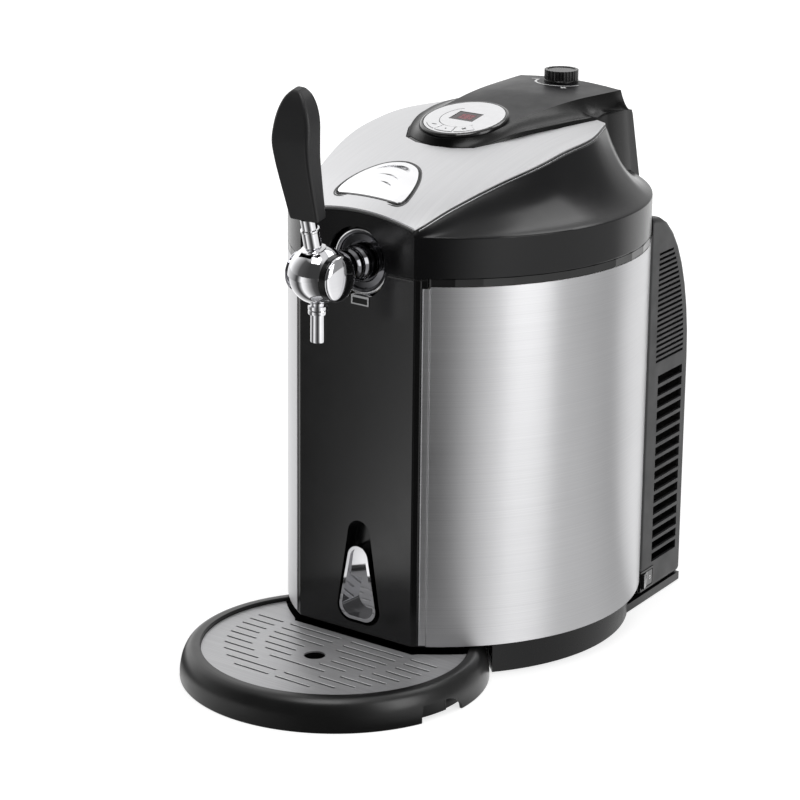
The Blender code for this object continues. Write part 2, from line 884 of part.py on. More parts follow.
def make_cover():
    """Crowned silver sheet on the lid, open round the console and the button."""
    places = [y for y in lid_rows() if y < COVER_TIP] + [COVER_TIP]
    places[0] += GAP
    columns = LID_COLUMNS + 4
    table = []
    for y in places:
        edge, height = lid_edge(y)
        row = []
        for j in range(columns + 1):
            share = 1 - 2 * j / columns
            row.append(((edge - GAP) * share, y, height + LID_CROWN * (1 - share ** 2)))
        table.append(row)
    item = sheet("lid_cover", table, COVER_SHEET, silver_paint())
    base = slab("cover_console_cutter", console_plan(GAP), BAND_TOP, CONSOLE_TOP)
    button = slab("cover_button_cutter", button_outline(MOVING_GAP), BAND_TOP, CONSOLE_TOP)
    return cut(item, base, button)


# Console: foot, lip, scoop and ridge lines as shares of length and width
console_foot_shares = ((0.0, 0.0), (0.24, 0.010), (0.45, 0.045), (0.60, 0.125), (0.690, 0.200),
                       (0.775, 0.290), (0.845, 0.370), (0.885, 0.470), (0.905, 0.585),
                       (0.895, 0.675), (0.87, 0.755), (0.82, 0.840), (0.76, 0.915), (0.70, 1.0))
console_ridge_shares = ((0.0, 0.0), (0.28, 0.014), (0.52, 0.060), (0.68, 0.125), (0.73, 0.200),
                        (0.76, 0.300), (0.79, 0.400), (0.84, 0.520), (0.88, 0.640), (0.91, 0.740),
                        (0.94, 0.820), (0.97, 0.900), (0.99, 0.960), (1.0, 1.0))
console_lip_rise_shares = (0.12, 0.12, 0.30, 0.55, 0.70, 0.62, 0.55, 0.475, 0.42, 0.72, 0.78,
                           0.785, 0.77, 0.76)
console_scoop_share = 0.45
console_scoop_sink_share = 0.30
console_height_shares = smooth_table([(0.0, 0.40), (0.25, 0.62), (0.40, 0.80), (0.60, 0.955),
                                      (0.80, 0.985), (1.0, 1.0)])


def console_line(shares, half_width, front, rear):
    return [(half_width * a, -front + (rear + front) * b) for a, b in shares]


def console_foot():
    return console_line(console_foot_shares, CONSOLE_HALF_WIDTH, CONSOLE_NOSE, CONSOLE_REAR)


def console_plan(spread):
    """Closed plan of the console's foot, wider by spread."""
    right = console_foot()
    points = [(x, y, 0.0) for x, y in right]
    closed = points + [(-x, y, z) for x, y, z in reversed(points[1:])]
    return [(x, y) for x, y, _ in inset_ring(closed, -spread, 0)]


def plane_z(y):
    """Height of the tilted seat of the display."""
    return CONSOLE_PLANE + (y - DISPLAY_CENTRE) * math.tan(DISPLAY_TILT)


def ridge_z(y):
    """Height of the console's ridge: the display seat, then the flat top."""
    seat_end = DISPLAY_CENTRE + DISPLAY_RADIUS * 0.35
    if y <= seat_end:
        return plane_z(y)
    share = (y - seat_end) / (CONSOLE_RIDGE_REAR - seat_end)
    start = plane_z(seat_end)
    return start + (CONSOLE_TOP - start) * math.sin(min(share * 1.45, 1.0) * math.pi / 2)


def foot_z(x, y):
    """Height of the console's foot, which the lid's own surface then trims."""
    if y <= COVER_TIP:
        return cover_z(x, y) - CONSOLE_FOOT_DEPTH
    if y <= BODY_REAR:
        return lid_edge(y)[1] - CONSOLE_FOOT_DEPTH
    return BAND_TOP - CONSOLE_FOOT_DEPTH - (y - BODY_REAR) * CONSOLE_TAIL_SLOPE


def console_rings(inset, sink):
    foot = console_foot()[1:]
    ridge = console_line(console_ridge_shares, CONSOLE_RIDGE_HALF_WIDTH,
                         CONSOLE_RIDGE_NOSE, CONSOLE_RIDGE_REAR)[1:]
    rises = console_lip_rise_shares[1:]
    low = []
    lip = []
    scoop = []
    high = []
    for (fx, fy), (rx, ry), rise in zip(foot, ridge, rises):
        bottom = foot_z(fx, fy)
        top = ridge_z(ry)
        lip_point = (fx + (rx - fx) * 0.10, fy + (ry - fy) * rise * 0.6,
                     bottom + (top - bottom) * rise)
        low.append((fx, fy, bottom))
        lip.append(lip_point)
        sink_z = (top - lip_point[2]) * console_scoop_sink_share
        scoop.append((lip_point[0] + (rx - lip_point[0]) * console_scoop_share,
                      lip_point[1] + (ry - lip_point[1]) * console_scoop_share,
                      lip_point[2] + (top - lip_point[2]) * console_scoop_share - sink_z))
        high.append((rx, ry, top))
    bow = CONSOLE_HALF_WIDTH * 0.035
    fall = -bow * math.tan(DISPLAY_TILT) - GAP
    stack = [ring(points, CONSOLE_COLUMNS, fall, bow) for points in (low, lip, scoop, high)]
    if not inset:
        return stack
    return [inset_ring(points, inset, 0 if i == 0 else sink) for i, points in enumerate(stack)]


def make_console():
    outer = console_rings(0.0, 0.0)
    inner = console_rings(CONSOLE_WALL, CONSOLE_WALL)
    ridge = outer[-1]
    rows = (len(ridge) - 2 * CONSOLE_COLUMNS) // 2
    seat_end = DISPLAY_CENTRE + DISPLAY_RADIUS + DISPLAY_RING_WIDTH
    crowns = []
    for i in range(rows + 1):
        y = ridge[i][1]
        share = (y - seat_end) / (CONSOLE_RIDGE_REAR - seat_end)
        crowns.append(CONSOLE_CROWN * min(max(share * 2.5, 0.0), 1.0))
    item = loft_shell("lid_console", outer, inner, rows, CONSOLE_COLUMNS, crowns, black_plastic())
    shaft = rod("console_shaft_cutter", (0, KNOB_Y, BAND_TOP), "Z", CONSOLE_TOP - BAND_TOP
                + LID_CROWN, KNOB_SHAFT_RADIUS + SHAFT_GAP)
    wiring = on_display(rod("console_wiring_cutter", (0, 0, 0), "-Z", LID_TOP_RISE / 2,
                            WINDOW_WIDTH / 2), -DISPLAY_RING_HEIGHT + OVERRUN / 2)
    return cut(item, shaft, wiring, lid_solid("console_lid_cutter"))


def lid_solid(name):
    """The lid's outside as one solid, larger all round by the standing gap."""
    stack = lid_rings(-GAP, -GAP)
    rows = len(lid_rows()) - 1
    flat = [0.0] * (rows + 1)
    verts = []
    faces = []
    for low, high in zip(stack, stack[1:]):
        add_band(verts, faces, low, high, False)
    add_cap(verts, faces, cap_rows(stack[-1], rows, LID_COLUMNS, lid_crowns()), False)
    add_cap(verts, faces, cap_rows(stack[0], rows, LID_COLUMNS, flat), True)
    return mesh_object(name, verts, faces, None)


def display_matrix(lift):
    """Place and tilt of the display, lift above its seat."""
    base = Vector((0, DISPLAY_CENTRE, DISPLAY_TOP))
    tilt = Matrix.Rotation(DISPLAY_TILT, 4, "X")
    return Matrix.Translation(base) @ tilt @ Matrix.Translation((0, 0, lift))


def on_display(item, lift):
    item.matrix_basis = display_matrix(lift) @ item.matrix_basis
    return item


def key_outline(middle_deg, spread):
    """Part of a ring between two radii, wider by spread."""
    inner = KEY_INNER_RADIUS - spread
    outer = KEY_OUTER_RADIUS + spread
    half = math.radians(KEY_HALF_ANGLE_DEG)
    half_outer = half + spread / outer
    half_inner = half + spread / inner
    middle = math.radians(middle_deg)
    far = circle(outer, (0, 0), 6, middle - half_outer, middle + half_outer)
    near = circle(inner, (0, 0), 5, middle - half_inner, middle + half_inner)
    return far + near[::-1]


KEY_NAMES = (("key_minus", -1), ("key_mode", 0), ("key_plus", 1))
FRONT_DEG = -90.0


def window_outline(spread):
    half_x = WINDOW_WIDTH / 2 + spread
    half_y = WINDOW_DEPTH / 2 + spread
    shift = WINDOW_DEPTH * 0.15
    return [(-half_x, shift - half_y), (half_x, shift - half_y),
            (half_x, shift + half_y), (-half_x, shift + half_y)]


def make_display():
    ring_inner = DISPLAY_RADIUS + GAP
    ring_outer = ring_inner + DISPLAY_RING_WIDTH
    band = slab("display_ring", circle(ring_outer), GAP, DISPLAY_RING_HEIGHT, gloss_black(),
                holes=(circle(ring_inner),))
    on_display(band, -DISPLAY_RING_HEIGHT)
    holes = [key_outline(FRONT_DEG + KEY_PITCH_DEG * k, GAP) for _, k in KEY_NAMES]
    plate = slab("display_plate", circle(DISPLAY_RADIUS), -DISPLAY_PLATE, 0.0, silver_paint(),
                 holes=(window_outline(GAP), *holes))
    on_display(plate, 0.0)
    window = slab("display_window", window_outline(0.0), -DISPLAY_PLATE, -GAP, red_lens())
    on_display(window, 0.0)
    keys = []
    for name, k in KEY_NAMES:
        key = slab(name, key_outline(FRONT_DEG + KEY_PITCH_DEG * k, 0.0),
                   -DISPLAY_PLATE + KEY_TRAVEL, BUTTON_PROUD / 2, silver_paint())
        keys.append(on_display(key, 0.0))
    board_half = DISPLAY_RADIUS * 0.62
    seat = CONSOLE_WALL / math.cos(DISPLAY_TILT) + GAP
    board_top = -DISPLAY_RING_HEIGHT - seat
    board = box("control_board", (-board_half, -board_half, board_top - BOARD_SHEET),
                (board_half, board_half / 3, board_top), green_board())
    on_display(board, 0.0)
    return [band, plate, window, board], keys


def make_button():
    """Arched button cut from a thick slice that follows the cover's surface."""
    outline = button_outline(0.0)
    front = min(y for _, y in outline) - OVERRUN
    rear = max(y for _, y in outline) + OVERRUN
    count = 8
    table = []
    for i in range(count + 1):
        y = max(front + (rear - front) * i / count, -BODY_FRONT)
        half = BUTTON_HALF_WIDTH * 1.2
        table.append([(half * (1 - 2 * j / count), y,
                       cover_z(half * (1 - 2 * j / count), y) + BUTTON_PROUD)
                      for j in range(count + 1)])
    item = sheet("release_button", table, BUTTON_DEPTH, silver_paint())
    plan = slab("button_plan_cutter", outline, BAND_TOP, CONSOLE_TOP)
    return combine(item, plan, "INTERSECT")


def latch_pin_reach():
    """Half length of the latch pin, whose ends sit in the lid's side walls."""
    return side_x(LATCH_Y) - LID_WALL / 2


def make_latch():
    """Yoke that rocks on a pin behind the lid's front when the button tips its post."""
    half = LATCH_ARM_DEPTH / 2
    bar_top = LATCH_PIN_Z + LATCH_BAR_HEIGHT / 2
    arm_low = COLLAR_TOP - COLLAR_HEIGHT + 3 * GAP
    item = box("latch_yoke", (-LATCH_ARM_X, LATCH_Y - half, bar_top - LATCH_BAR_HEIGHT),
               (LATCH_ARM_X, LATCH_Y + half, bar_top), grey_plastic())
    for side in (-1, 1):
        arm = box("latch_arm", (side * LATCH_ARM_X - LATCH_ARM_WIDTH / 2, LATCH_Y - half, arm_low),
                  (side * LATCH_ARM_X + LATCH_ARM_WIDTH / 2, LATCH_Y + half, bar_top - GAP))
        join(item, arm)
    post_half = LATCH_ARM_WIDTH
    post_rear = LATCH_POST_Y + LATCH_ARM_WIDTH / 2
    post_front = LATCH_POST_Y - LATCH_ARM_WIDTH / 2
    post_top = cover_z(post_half, post_front) + BUTTON_PROUD - BUTTON_DEPTH - LATCH_POST_GAP
    finger = box("latch_finger", (-post_half, LATCH_Y, bar_top - LATCH_BAR_HEIGHT / 2),
                 (post_half, post_rear, bar_top + GAP))
    post = box("latch_post", (-post_half, post_front, bar_top - GAP),
               (post_half, post_rear, post_top))
    join(item, finger, post)
    bore = rod("latch_bore_cutter", (-BODY_HALF_WIDTH, LATCH_Y, LATCH_PIN_Z), "X",
               2 * BODY_HALF_WIDTH, LATCH_PIN_RADIUS + SHAFT_GAP)
    cut(item, bore)
    reach = latch_pin_reach()
    pin = rod("latch_pin", (-reach, LATCH_Y, LATCH_PIN_Z), "X", 2 * reach, LATCH_PIN_RADIUS,
              chrome(), steps=12)
    return item, pin


def make_lid_inside():
    liner_low = LID_BOTTOM + GAP * 3
    right = side_points(-LID_LINER_FRONT, BODY_REAR - LID_WALL - GAP, LID_WALL + 2 * GAP)
    fitting_y = CHAMBER_CENTRE + CHAMBER_RADIUS / 2
    fitting_x = CHAMBER_RADIUS * 0.3
    liner = slab("lid_liner", right + mirrored(right), liner_low, liner_low + LID_LINER_SHEET,
                 grey_plastic(),
                 holes=(circle(FITTING_RADIUS + GAP, (fitting_x, fitting_y), SMALL_STEPS),))
    seal_inner = CHAMBER_RADIUS + LINER_WALL + GAP
    seal_groove = rod("seal_groove_cutter", (0, CHAMBER_CENTRE, liner_low - OVERRUN), "Z",
                      OVERRUN + LID_LINER_SHEET / 2, seal_inner + SEAL_WIDTH + GAP,
                      steps=CIRCLE_STEPS)
    island = rod("seal_island_cutter", (0, CHAMBER_CENTRE, liner_low - 2 * OVERRUN), "Z",
                 4 * OVERRUN, seal_inner - GAP, steps=CIRCLE_STEPS)
    cut(seal_groove, island)
    cut(liner, seal_groove)
    seal = slab("lid_seal", circle(seal_inner + SEAL_WIDTH, (0, CHAMBER_CENTRE)),
                COLLAR_TOP + GAP, liner_low + LID_LINER_SHEET / 2 - GAP, rubber(),
                holes=(circle(seal_inner, (0, CHAMBER_CENTRE)),))
    fitting_low = liner_low - FITTING_DROP
    shoulder = FITTING_TALL - 2 * FITTING_STEP
    under = shoulder - FITTING_STEP
    wide = FITTING_RADIUS + FITTING_COLLAR
    fitting = turned("gas_fitting", [
        (0, FITTING_TALL), (FITTING_TIP_RADIUS, FITTING_TALL), (FITTING_TIP_RADIUS, shoulder),
        (wide, shoulder - GAP), (wide, under), (FITTING_RADIUS, under - GAP),
        (FITTING_RADIUS, GAP * 3), (FITTING_RADIUS / 2, 0.0), (0, 0.0)],
        (fitting_x, fitting_y, fitting_low), "Z", brass(), SMALL_STEPS)
    return [liner, seal, fitting], (fitting_x, fitting_y, fitting_low + FITTING_TALL)


def make_gas_parts(fitting_top):
    """Cartridge in its holder, regulator under the knob, and the line between."""
    neck_y = KNOB_Y - REGULATOR_RADIUS
    start_y = neck_y - CARTRIDGE_LENGTH - GAP
    radius = CARTRIDGE_RADIUS
    cartridge = turned("gas_cartridge", [
        (0, CARTRIDGE_LENGTH), (radius * 0.32, CARTRIDGE_LENGTH),
        (radius * 0.34, CARTRIDGE_LENGTH * 0.9), (radius * 0.75, CARTRIDGE_LENGTH * 0.83),
        (radius, CARTRIDGE_LENGTH * 0.75), (radius, radius * 0.8), (radius * 0.8, radius * 0.3),
        (radius * 0.4, radius * 0.05), (0, 0)], (0, start_y, CARTRIDGE_HEIGHT), "Y",
        brushed_steel(), SMALL_STEPS)
    bore = radius + GAP
    shell = bore + HOLDER_WALL
    holder_start = start_y - HOLDER_WALL - GAP
    length = CARTRIDGE_LENGTH * 0.8
    holder = turned("cartridge_holder", [
        (0, HOLDER_WALL), (bore, HOLDER_WALL), (bore, length), (shell, length), (shell, 0),
        (0, 0)], (0, holder_start, CARTRIDGE_HEIGHT), "Y", grey_plastic(), SMALL_STEPS)
    liner_top = LID_BOTTOM + GAP * 3 + LID_LINER_SHEET
    rib = box("holder_rib", (-radius / 2, holder_start + length * 0.2, liner_top + GAP),
              (radius / 2, holder_start + length * 0.8, CARTRIDGE_HEIGHT - bore - HOLDER_WALL / 2))
    join(holder, rib)
    top = ridge_z(KNOB_Y) - CONSOLE_WALL - GAP
    base = CARTRIDGE_HEIGHT - radius
    tall = top - base
    shaft_top = KNOB_LIFT + KNOB_HEIGHT * 0.6 + CONSOLE_WALL + CONSOLE_CROWN + GAP
    regulator = turned("gas_regulator", [
        (0, tall + shaft_top), (KNOB_SHAFT_RADIUS, tall + shaft_top),
        (KNOB_SHAFT_RADIUS, tall - LID_WALL), (REGULATOR_RADIUS * 0.8, tall - LID_WALL * 1.5),
        (REGULATOR_RADIUS, tall * 0.7), (REGULATOR_RADIUS, tall * 0.05),
        (REGULATOR_RADIUS * 0.9, 0), (0, 0)], (0, KNOB_Y, base), "Z", brass(), SMALL_STEPS)
    side = (REGULATOR_RADIUS + GAP, KNOB_Y, CARTRIDGE_HEIGHT)
    lift = fitting_top[2] + GAP
    route = spline_through([
        side, (side[0] + HOSE_BEND, KNOB_Y, side[2]),
        (side[0] + 2 * HOSE_BEND, KNOB_Y - 1.4 * HOSE_BEND, side[2]),
        (fitting_top[0] + HOSE_BEND / 2, (KNOB_Y + fitting_top[1]) / 2, side[2] + HOSE_BEND / 2),
        (fitting_top[0], fitting_top[1] + 1.2 * HOSE_BEND, lift + 1.6 * HOSE_STUB),
        (fitting_top[0], fitting_top[1] + HOSE_BEND / 8, lift + HOSE_STUB),
        (fitting_top[0], fitting_top[1], lift)], 4)
    line = tube("gas_line", route, HOSE_RADIUS, black_plastic())
    return [cartridge, holder, regulator, line]


def make_knob():
    """Ribbed knob with a pointer ridge, hollow over the regulator's shaft."""
    base = ridge_z(KNOB_Y) + CONSOLE_CROWN + KNOB_LIFT
    ribs = 18
    outline = []
    for i in range(2 * ribs):
        radius = KNOB_RADIUS * (1.0 if i % 2 else 0.955)
        angle = math.pi * i / ribs
        outline.append((radius * math.cos(angle), radius * math.sin(angle)))
    item = slab("regulator_knob", outline, 0.0, KNOB_HEIGHT, black_plastic())
    item.location = (0, KNOB_Y, base + KNOB_HEIGHT / 2)
    skirt = turned("knob_skirt", [(0, KNOB_HEIGHT * 0.12), (KNOB_RADIUS * 1.01, KNOB_HEIGHT * 0.12),
                                  (KNOB_RADIUS * 1.01, -KNOB_LIFT + GAP * 2),
                                  (0, -KNOB_LIFT + GAP * 2)],
                   (0, KNOB_Y, base), "Z", None, SMALL_STEPS)
    dish = turned("knob_top_cutter", [(0, KNOB_HEIGHT), (KNOB_RADIUS * 0.86, KNOB_HEIGHT),
                                      (KNOB_RADIUS * 0.80, 0), (0, 0)],
                  (0, KNOB_Y, base + KNOB_HEIGHT * 0.93), "Z", None, SMALL_STEPS)
    bore_low = ridge_z(KNOB_Y) - OVERRUN
    bore = rod("knob_bore_cutter", (0, KNOB_Y, bore_low), "Z",
               CONSOLE_CROWN + KNOB_LIFT + KNOB_HEIGHT * 0.7 + OVERRUN,
               KNOB_SHAFT_RADIUS + SHAFT_GAP)
    join(item, skirt)
    return cut(item, dish, bore)


# Tap

def tap_matrix(tilt):
    """Frame of the tap's lever: Z runs up the handle, leaning to the front."""
    return (Matrix.Translation((0, TAP_BALL_Y, TAP_HEIGHT))
            @ Matrix.Rotation(math.radians(tilt), 4, "X"))


def make_tap_fixed():
    plate_y = -BODY_FRONT + FLANGE_RECESS + FLANGE_THICK + GAP
    plate = rod("tap_back_plate", (0, plate_y, TAP_HEIGHT), "Y", WELL_PLATE_THICK,
                WELL_PLATE_RADIUS, black_plastic(), CIRCLE_STEPS)
    cut(plate, rod("plate_bore_cutter", (0, plate_y - OVERRUN, TAP_HEIGHT), "Y",
                   WELL_PLATE_THICK + 2 * OVERRUN, SHANK_TAIL_RADIUS + GAP))
    flange_y = -BODY_FRONT + FLANGE_RECESS
    lip = FLANGE_RADIUS - TAP_CHAMFER
    flange = turned("tap_flange", [
        (SHANK_TAIL_RADIUS + GAP, FLANGE_THICK),
        (SHANK_RADIUS + FLANGE_LIP_WIDTH, FLANGE_THICK),
        (lip - FLANGE_LIP_WIDTH - FLANGE_LIP_SLOPE, FLANGE_THICK * 0.55),
        (lip - FLANGE_LIP_WIDTH, FLANGE_THICK), (lip, FLANGE_THICK),
        (FLANGE_RADIUS, FLANGE_THICK * 0.6),
        (FLANGE_RADIUS, 0), (SHANK_TAIL_RADIUS + GAP, 0),
        (SHANK_TAIL_RADIUS + GAP, FLANGE_THICK)],
        (0, flange_y + FLANGE_THICK, TAP_HEIGHT), "-Y", chrome())
    tab_half = FLANGE_RADIUS * 0.33
    tab = box("flange_tab", (-tab_half, flange_y, TAP_HEIGHT - FLANGE_RADIUS - FLANGE_TAB_DROP),
              (tab_half, flange_y + FLANGE_THICK, TAP_HEIGHT - FLANGE_RADIUS * 0.86))
    join(flange, tab)
    shank_front = TAP_BALL_Y + TAP_BALL_RADIUS * 0.72
    shank_length = flange_y - GAP - shank_front
    groove = SHANK_RADIUS * 0.86
    profile = [(0, shank_length)]
    rings = 4
    for i in range(rings):
        top = shank_length * (1 - i / rings)
        bottom = shank_length * (1 - (i + 1) / rings)
        radius = SHANK_RADIUS - SHANK_RING_STEP * (rings - 1 - i)
        profile += [(radius * 0.97, top), (radius, top - shank_length * 0.05),
                    (radius, bottom + shank_length * 0.09), (groove, bottom + shank_length * 0.07)]
    profile += [(groove, 0), (0, 0)]
    shank = turned("tap_shank", profile, (0, flange_y - GAP, TAP_HEIGHT), "-Y", chrome(),
                   SMALL_STEPS + 4)
    ball_seat = ball_cutter("shank_ball_cutter", TAP_BALL_RADIUS + GAP)
    cut(shank, ball_seat)
    tail_start = flange_y - GAP - shank_length * 0.2
    tail_end = plate_y + WELL_PLATE_THICK + SHANK_TAIL_LENGTH
    tail = rod("shank_tail", (0, tail_start, TAP_HEIGHT), "Y", tail_end - tail_start,
               SHANK_TAIL_RADIUS)
    join(shank, tail)
    return [plate, flange, shank]


def ball_cutter(name, radius):
    shape = bmesh.new()
    bmesh.ops.create_uvsphere(shape, u_segments=24, v_segments=12, radius=radius)
    mesh = bpy.data.meshes.new(name)
    shape.to_mesh(mesh)
    shape.free()
    item = add_object(name, mesh, None)
    item.location = (0, TAP_BALL_Y, TAP_HEIGHT)
    return item


def make_tap_body():
    item = ball_cutter("tap_body", TAP_BALL_RADIUS)
    item.data.materials.append(chrome())
    smooth(item)
    wide = TAP_BALL_RADIUS * 2
    for side in (-1, 1):
        low, high = sorted((side * TAP_CAP_X, side * wide))
        cut(item, box("tap_side_cutter", (low, TAP_BALL_Y - wide, TAP_HEIGHT - wide),
                      (high, TAP_BALL_Y + wide, TAP_HEIGHT + wide)))
    cut(item, rod("tap_core_cutter", (-wide, TAP_BALL_Y, TAP_HEIGHT), "X", 2 * wide,
                  TAP_CORE_RADIUS + SHAFT_GAP))
    slot_outline = [(TAP_BALL_Y - wide, TAP_HEIGHT + TAP_CORE_RADIUS * 0.38),
                    (TAP_BALL_Y + TAP_STEM_COLLAR_RADIUS * 1.25,
                     TAP_HEIGHT + TAP_CORE_RADIUS * 0.38),
                    (TAP_BALL_Y + TAP_STEM_COLLAR_RADIUS * 1.25, TAP_HEIGHT + wide),
                    (TAP_BALL_Y - wide, TAP_HEIGHT + wide)]
    cut(item, slab("tap_slot_cutter", slot_outline, -TAP_SLOT_HALF_WIDTH, TAP_SLOT_HALF_WIDTH,
                   plane="YZ"))
    cut(item, rod("tap_outlet_cutter", (0, TAP_BALL_Y, TAP_HEIGHT), "-Z", wide,
                  SPOUT_RADIUS + GAP))
    return item


def make_tap_caps():
    caps = []
    for side, name in ((-1, "tap_cap_left"), (1, "tap_cap_right")):
        radius = TAP_CAP_RADIUS
        thick = TAP_CAP_THICK
        core = TAP_CORE_RADIUS
        cap = turned(name, [(0, thick), (radius * 0.45, thick * 0.95), (radius * 0.8, thick * 0.7),
                            (radius * 0.96, thick * 0.3), (radius, 0), (core, 0),
                            (core, -TAP_CAP_THICK * 0.4), (0, -TAP_CAP_THICK * 0.4)],
                     (side * (TAP_CAP_X + GAP), TAP_BALL_Y, TAP_HEIGHT), "X" if side > 0 else "-X",
                     chrome(), SMALL_STEPS + 4)
        caps.append(cap)
    return caps


def make_spout():
    """Outlet pipe with a collar under the ball, bored right through."""
    collar_top = TAP_HEIGHT - TAP_BALL_RADIUS * 0.97
    insert_top = TAP_HEIGHT - TAP_CORE_RADIUS - 2 * GAP - TAP_CHAMFER
    collar_low = collar_top - SPOUT_COLLAR_LENGTH
    base = SPOUT_TIP
    item = turned("tap_spout", [
        (SPOUT_BORE, insert_top - base), (SPOUT_RADIUS, insert_top - base),
        (SPOUT_RADIUS, collar_top - base - 1.5 * TAP_CHAMFER),
        (SPOUT_COLLAR_RADIUS, collar_top - base - 2 * TAP_CHAMFER),
        (SPOUT_COLLAR_RADIUS * 1.06, collar_low - base + 2 * TAP_CHAMFER),
        (SPOUT_COLLAR_RADIUS, collar_low - base), (SPOUT_RADIUS, collar_low - base - TAP_CHAMFER),
        (SPOUT_RADIUS * 1.04, TAP_CHAMFER), (SPOUT_RADIUS, 0), (SPOUT_BORE, 0),
        (SPOUT_BORE, insert_top - base)],
        (0, TAP_BALL_Y, base), "Z", chrome(), SMALL_STEPS)
    cut(item, ball_cutter_shell())
    return item


def ball_cutter_shell():
    """The ball's outside, so that the collar's top seats on it."""
    outer = ball_cutter("spout_ball_cutter", TAP_BALL_RADIUS + GAP)
    inner = rod("spout_keep_cutter", (0, TAP_BALL_Y, TAP_HEIGHT), "-Z", TAP_BALL_RADIUS * 2,
                SPOUT_RADIUS + GAP / 2)
    cut(outer, inner)
    return outer


def make_tap_lever():
    """Valve core and stem in one, then the handle over the stem."""
    frame = tap_matrix(TAP_TILT_DEG)
    core_half = TAP_CAP_X + GAP - TAP_CAP_THICK * 0.4 - SHAFT_GAP
    core = rod("tap_lever", (-core_half, 0, 0), "X", 2 * core_half, TAP_CORE_RADIUS, chrome())
    stem_start = TAP_CORE_RADIUS * 0.4
    collar_high = TAP_STEM_LENGTH - TAP_CHAMFER
    stem = turned("lever_stem", [
        (0, TAP_STEM_LENGTH + STEM_INSERT), (TAP_STEM_RADIUS * 0.8, TAP_STEM_LENGTH + STEM_INSERT),
        (TAP_STEM_RADIUS * 0.8, TAP_STEM_LENGTH), (TAP_STEM_COLLAR_RADIUS, collar_high),
        (TAP_STEM_COLLAR_RADIUS, TAP_STEM_LENGTH - STEM_COLLAR_LENGTH),
        (TAP_STEM_RADIUS, collar_high - STEM_COLLAR_LENGTH),
        (TAP_STEM_RADIUS, stem_start), (0, stem_start)], (0, 0, 0), "Z", None, SMALL_STEPS)
    core.matrix_basis = frame @ core.matrix_basis
    stem.matrix_basis = frame @ stem.matrix_basis
    join(core, stem)
    return core, make_handle()


# Handle sections: share of length, of the top's half width, of thickness and of the bend
handle_section_shares = ((0.0, 0.73, 0.60, 0.0), (0.02, 0.77, 0.67, 0.0),
                         (0.18, 0.83, 0.76, 0.0), (0.34, 0.89, 0.85, 0.0),
                         (0.50, 0.95, 0.93, 0.03), (0.64, 1.0, 1.0, 0.16),
                         (0.76, 0.945, 0.99, 0.45), (0.86, 0.79, 0.92, 0.69),
                         (0.94, 0.555, 0.76, 0.87), (0.985, 0.30, 0.54, 0.97),
                         (1.0, 0.15, 0.36, 1.0))


def make_handle():
    """Tapering grip with a flat front, rounded corners and a domed top that bends back."""
    start = TAP_STEM_LENGTH + GAP
    corner = 4
    verts = []
    faces = []
    rings = []
    for along, wide, deep, bend in handle_section_shares:
        half = HANDLE_TOP_HALF_WIDTH * wide
        thick = HANDLE_THICK / 2 * deep
        rounding = min(half, thick) * 0.42
        section = []
        for cx, cy, first in ((1, 1, 0), (-1, 1, 90), (-1, -1, 180), (1, -1, 270)):
            for k in range(corner):
                angle = math.radians(first + 90 * k / (corner - 1))
                section.append((cx * (half - rounding) + rounding * math.cos(angle),
                                cy * (thick - rounding) + rounding * math.sin(angle)
                                + HANDLE_BEND * bend,
                                start + HANDLE_LENGTH * along))
        rings.append(section)
    for low, high in zip(rings, rings[1:]):
        add_band(verts, faces, low, high, False)
    size = len(rings[0])
    for points, flip in ((rings[0], True), (rings[-1], False)):
        base = len(verts)
        verts.extend(points)
        face = list(range(base, base + size))
        faces.append(face[::-1] if flip else face)
    item = smooth(mesh_object("tap_handle", verts, faces, black_plastic()))
    socket = rod("handle_socket_cutter", (0, 0, 0), "Z", TAP_STEM_LENGTH + STEM_INSERT + GAP,
                 TAP_STEM_RADIUS * 0.8 + GAP)
    for piece in (item, socket):
        piece.matrix_basis = tap_matrix(TAP_TILT_DEG) @ piece.matrix_basis
    return cut(item, socket)


# Drip tray

def make_tray():
    height = TRAY_HEIGHT
    ledge = height - GRILLE_DEPTH - GRILLE_SHEET - GAP
    rim = TRAY_RIM_RADIUS
    rim_inner = rim - TRAY_RIM_WIDTH
    bowl = rim_inner - TRAY_LEDGE
    wall = TRAY_WALL
    reach = TRAY_RADIUS - rim
    skirt_shares = ((0.0, 1.0), (0.32, 0.96), (0.62, 0.82), (0.86, 0.56), (0.98, 0.25),
                    (1.0, 0.0))
    outside = [(rim + reach * a, height * b) for a, b in skirt_shares]
    inside_shares = ((1.0, 0.0), (0.97, 0.25), (0.82, 0.55), (0.52, 0.80), (0.20, 0.90))
    inside = [(rim + reach * a - wall, height * b - wall * b * 0.6) for a, b in inside_shares]
    floor = height * 0.125
    profile = ([(0, floor), (bowl - wall, floor), (bowl, floor + wall), (bowl, ledge),
                (rim_inner, ledge), (rim_inner, height)] + outside + inside
               + [(bowl + wall, ledge - wall), (bowl + wall, floor - wall), (0, floor - wall)])
    item = turned("drip_tray", profile, (0, TRAY_CENTRE, 0), "Z", black_plastic(),
                  TRAY_STEPS)
    bridge_y = -BODY_FRONT - GRILLE_BODY_GAP - TRAY_WALL / 2
    half = math.sqrt(bowl ** 2 - (bridge_y - TRAY_CENTRE) ** 2) + wall / 2
    bridge = box("tray_bridge", (-half, bridge_y - TRAY_WALL, floor - wall / 2),
                 (half, bridge_y, ledge))
    join(item, bridge)
    middle = TRAY_CENTRE - NOTCH_LENGTH * 0.4
    for side in (-1, 1):
        low, high = sorted((side * (bowl + 2.2 * wall), side * (TRAY_RADIUS + OVERRUN)))
        outline = notch_outline(middle)
        cut(item, slab("tray_notch_cutter", outline, low, high, plane="YZ"))
    return item


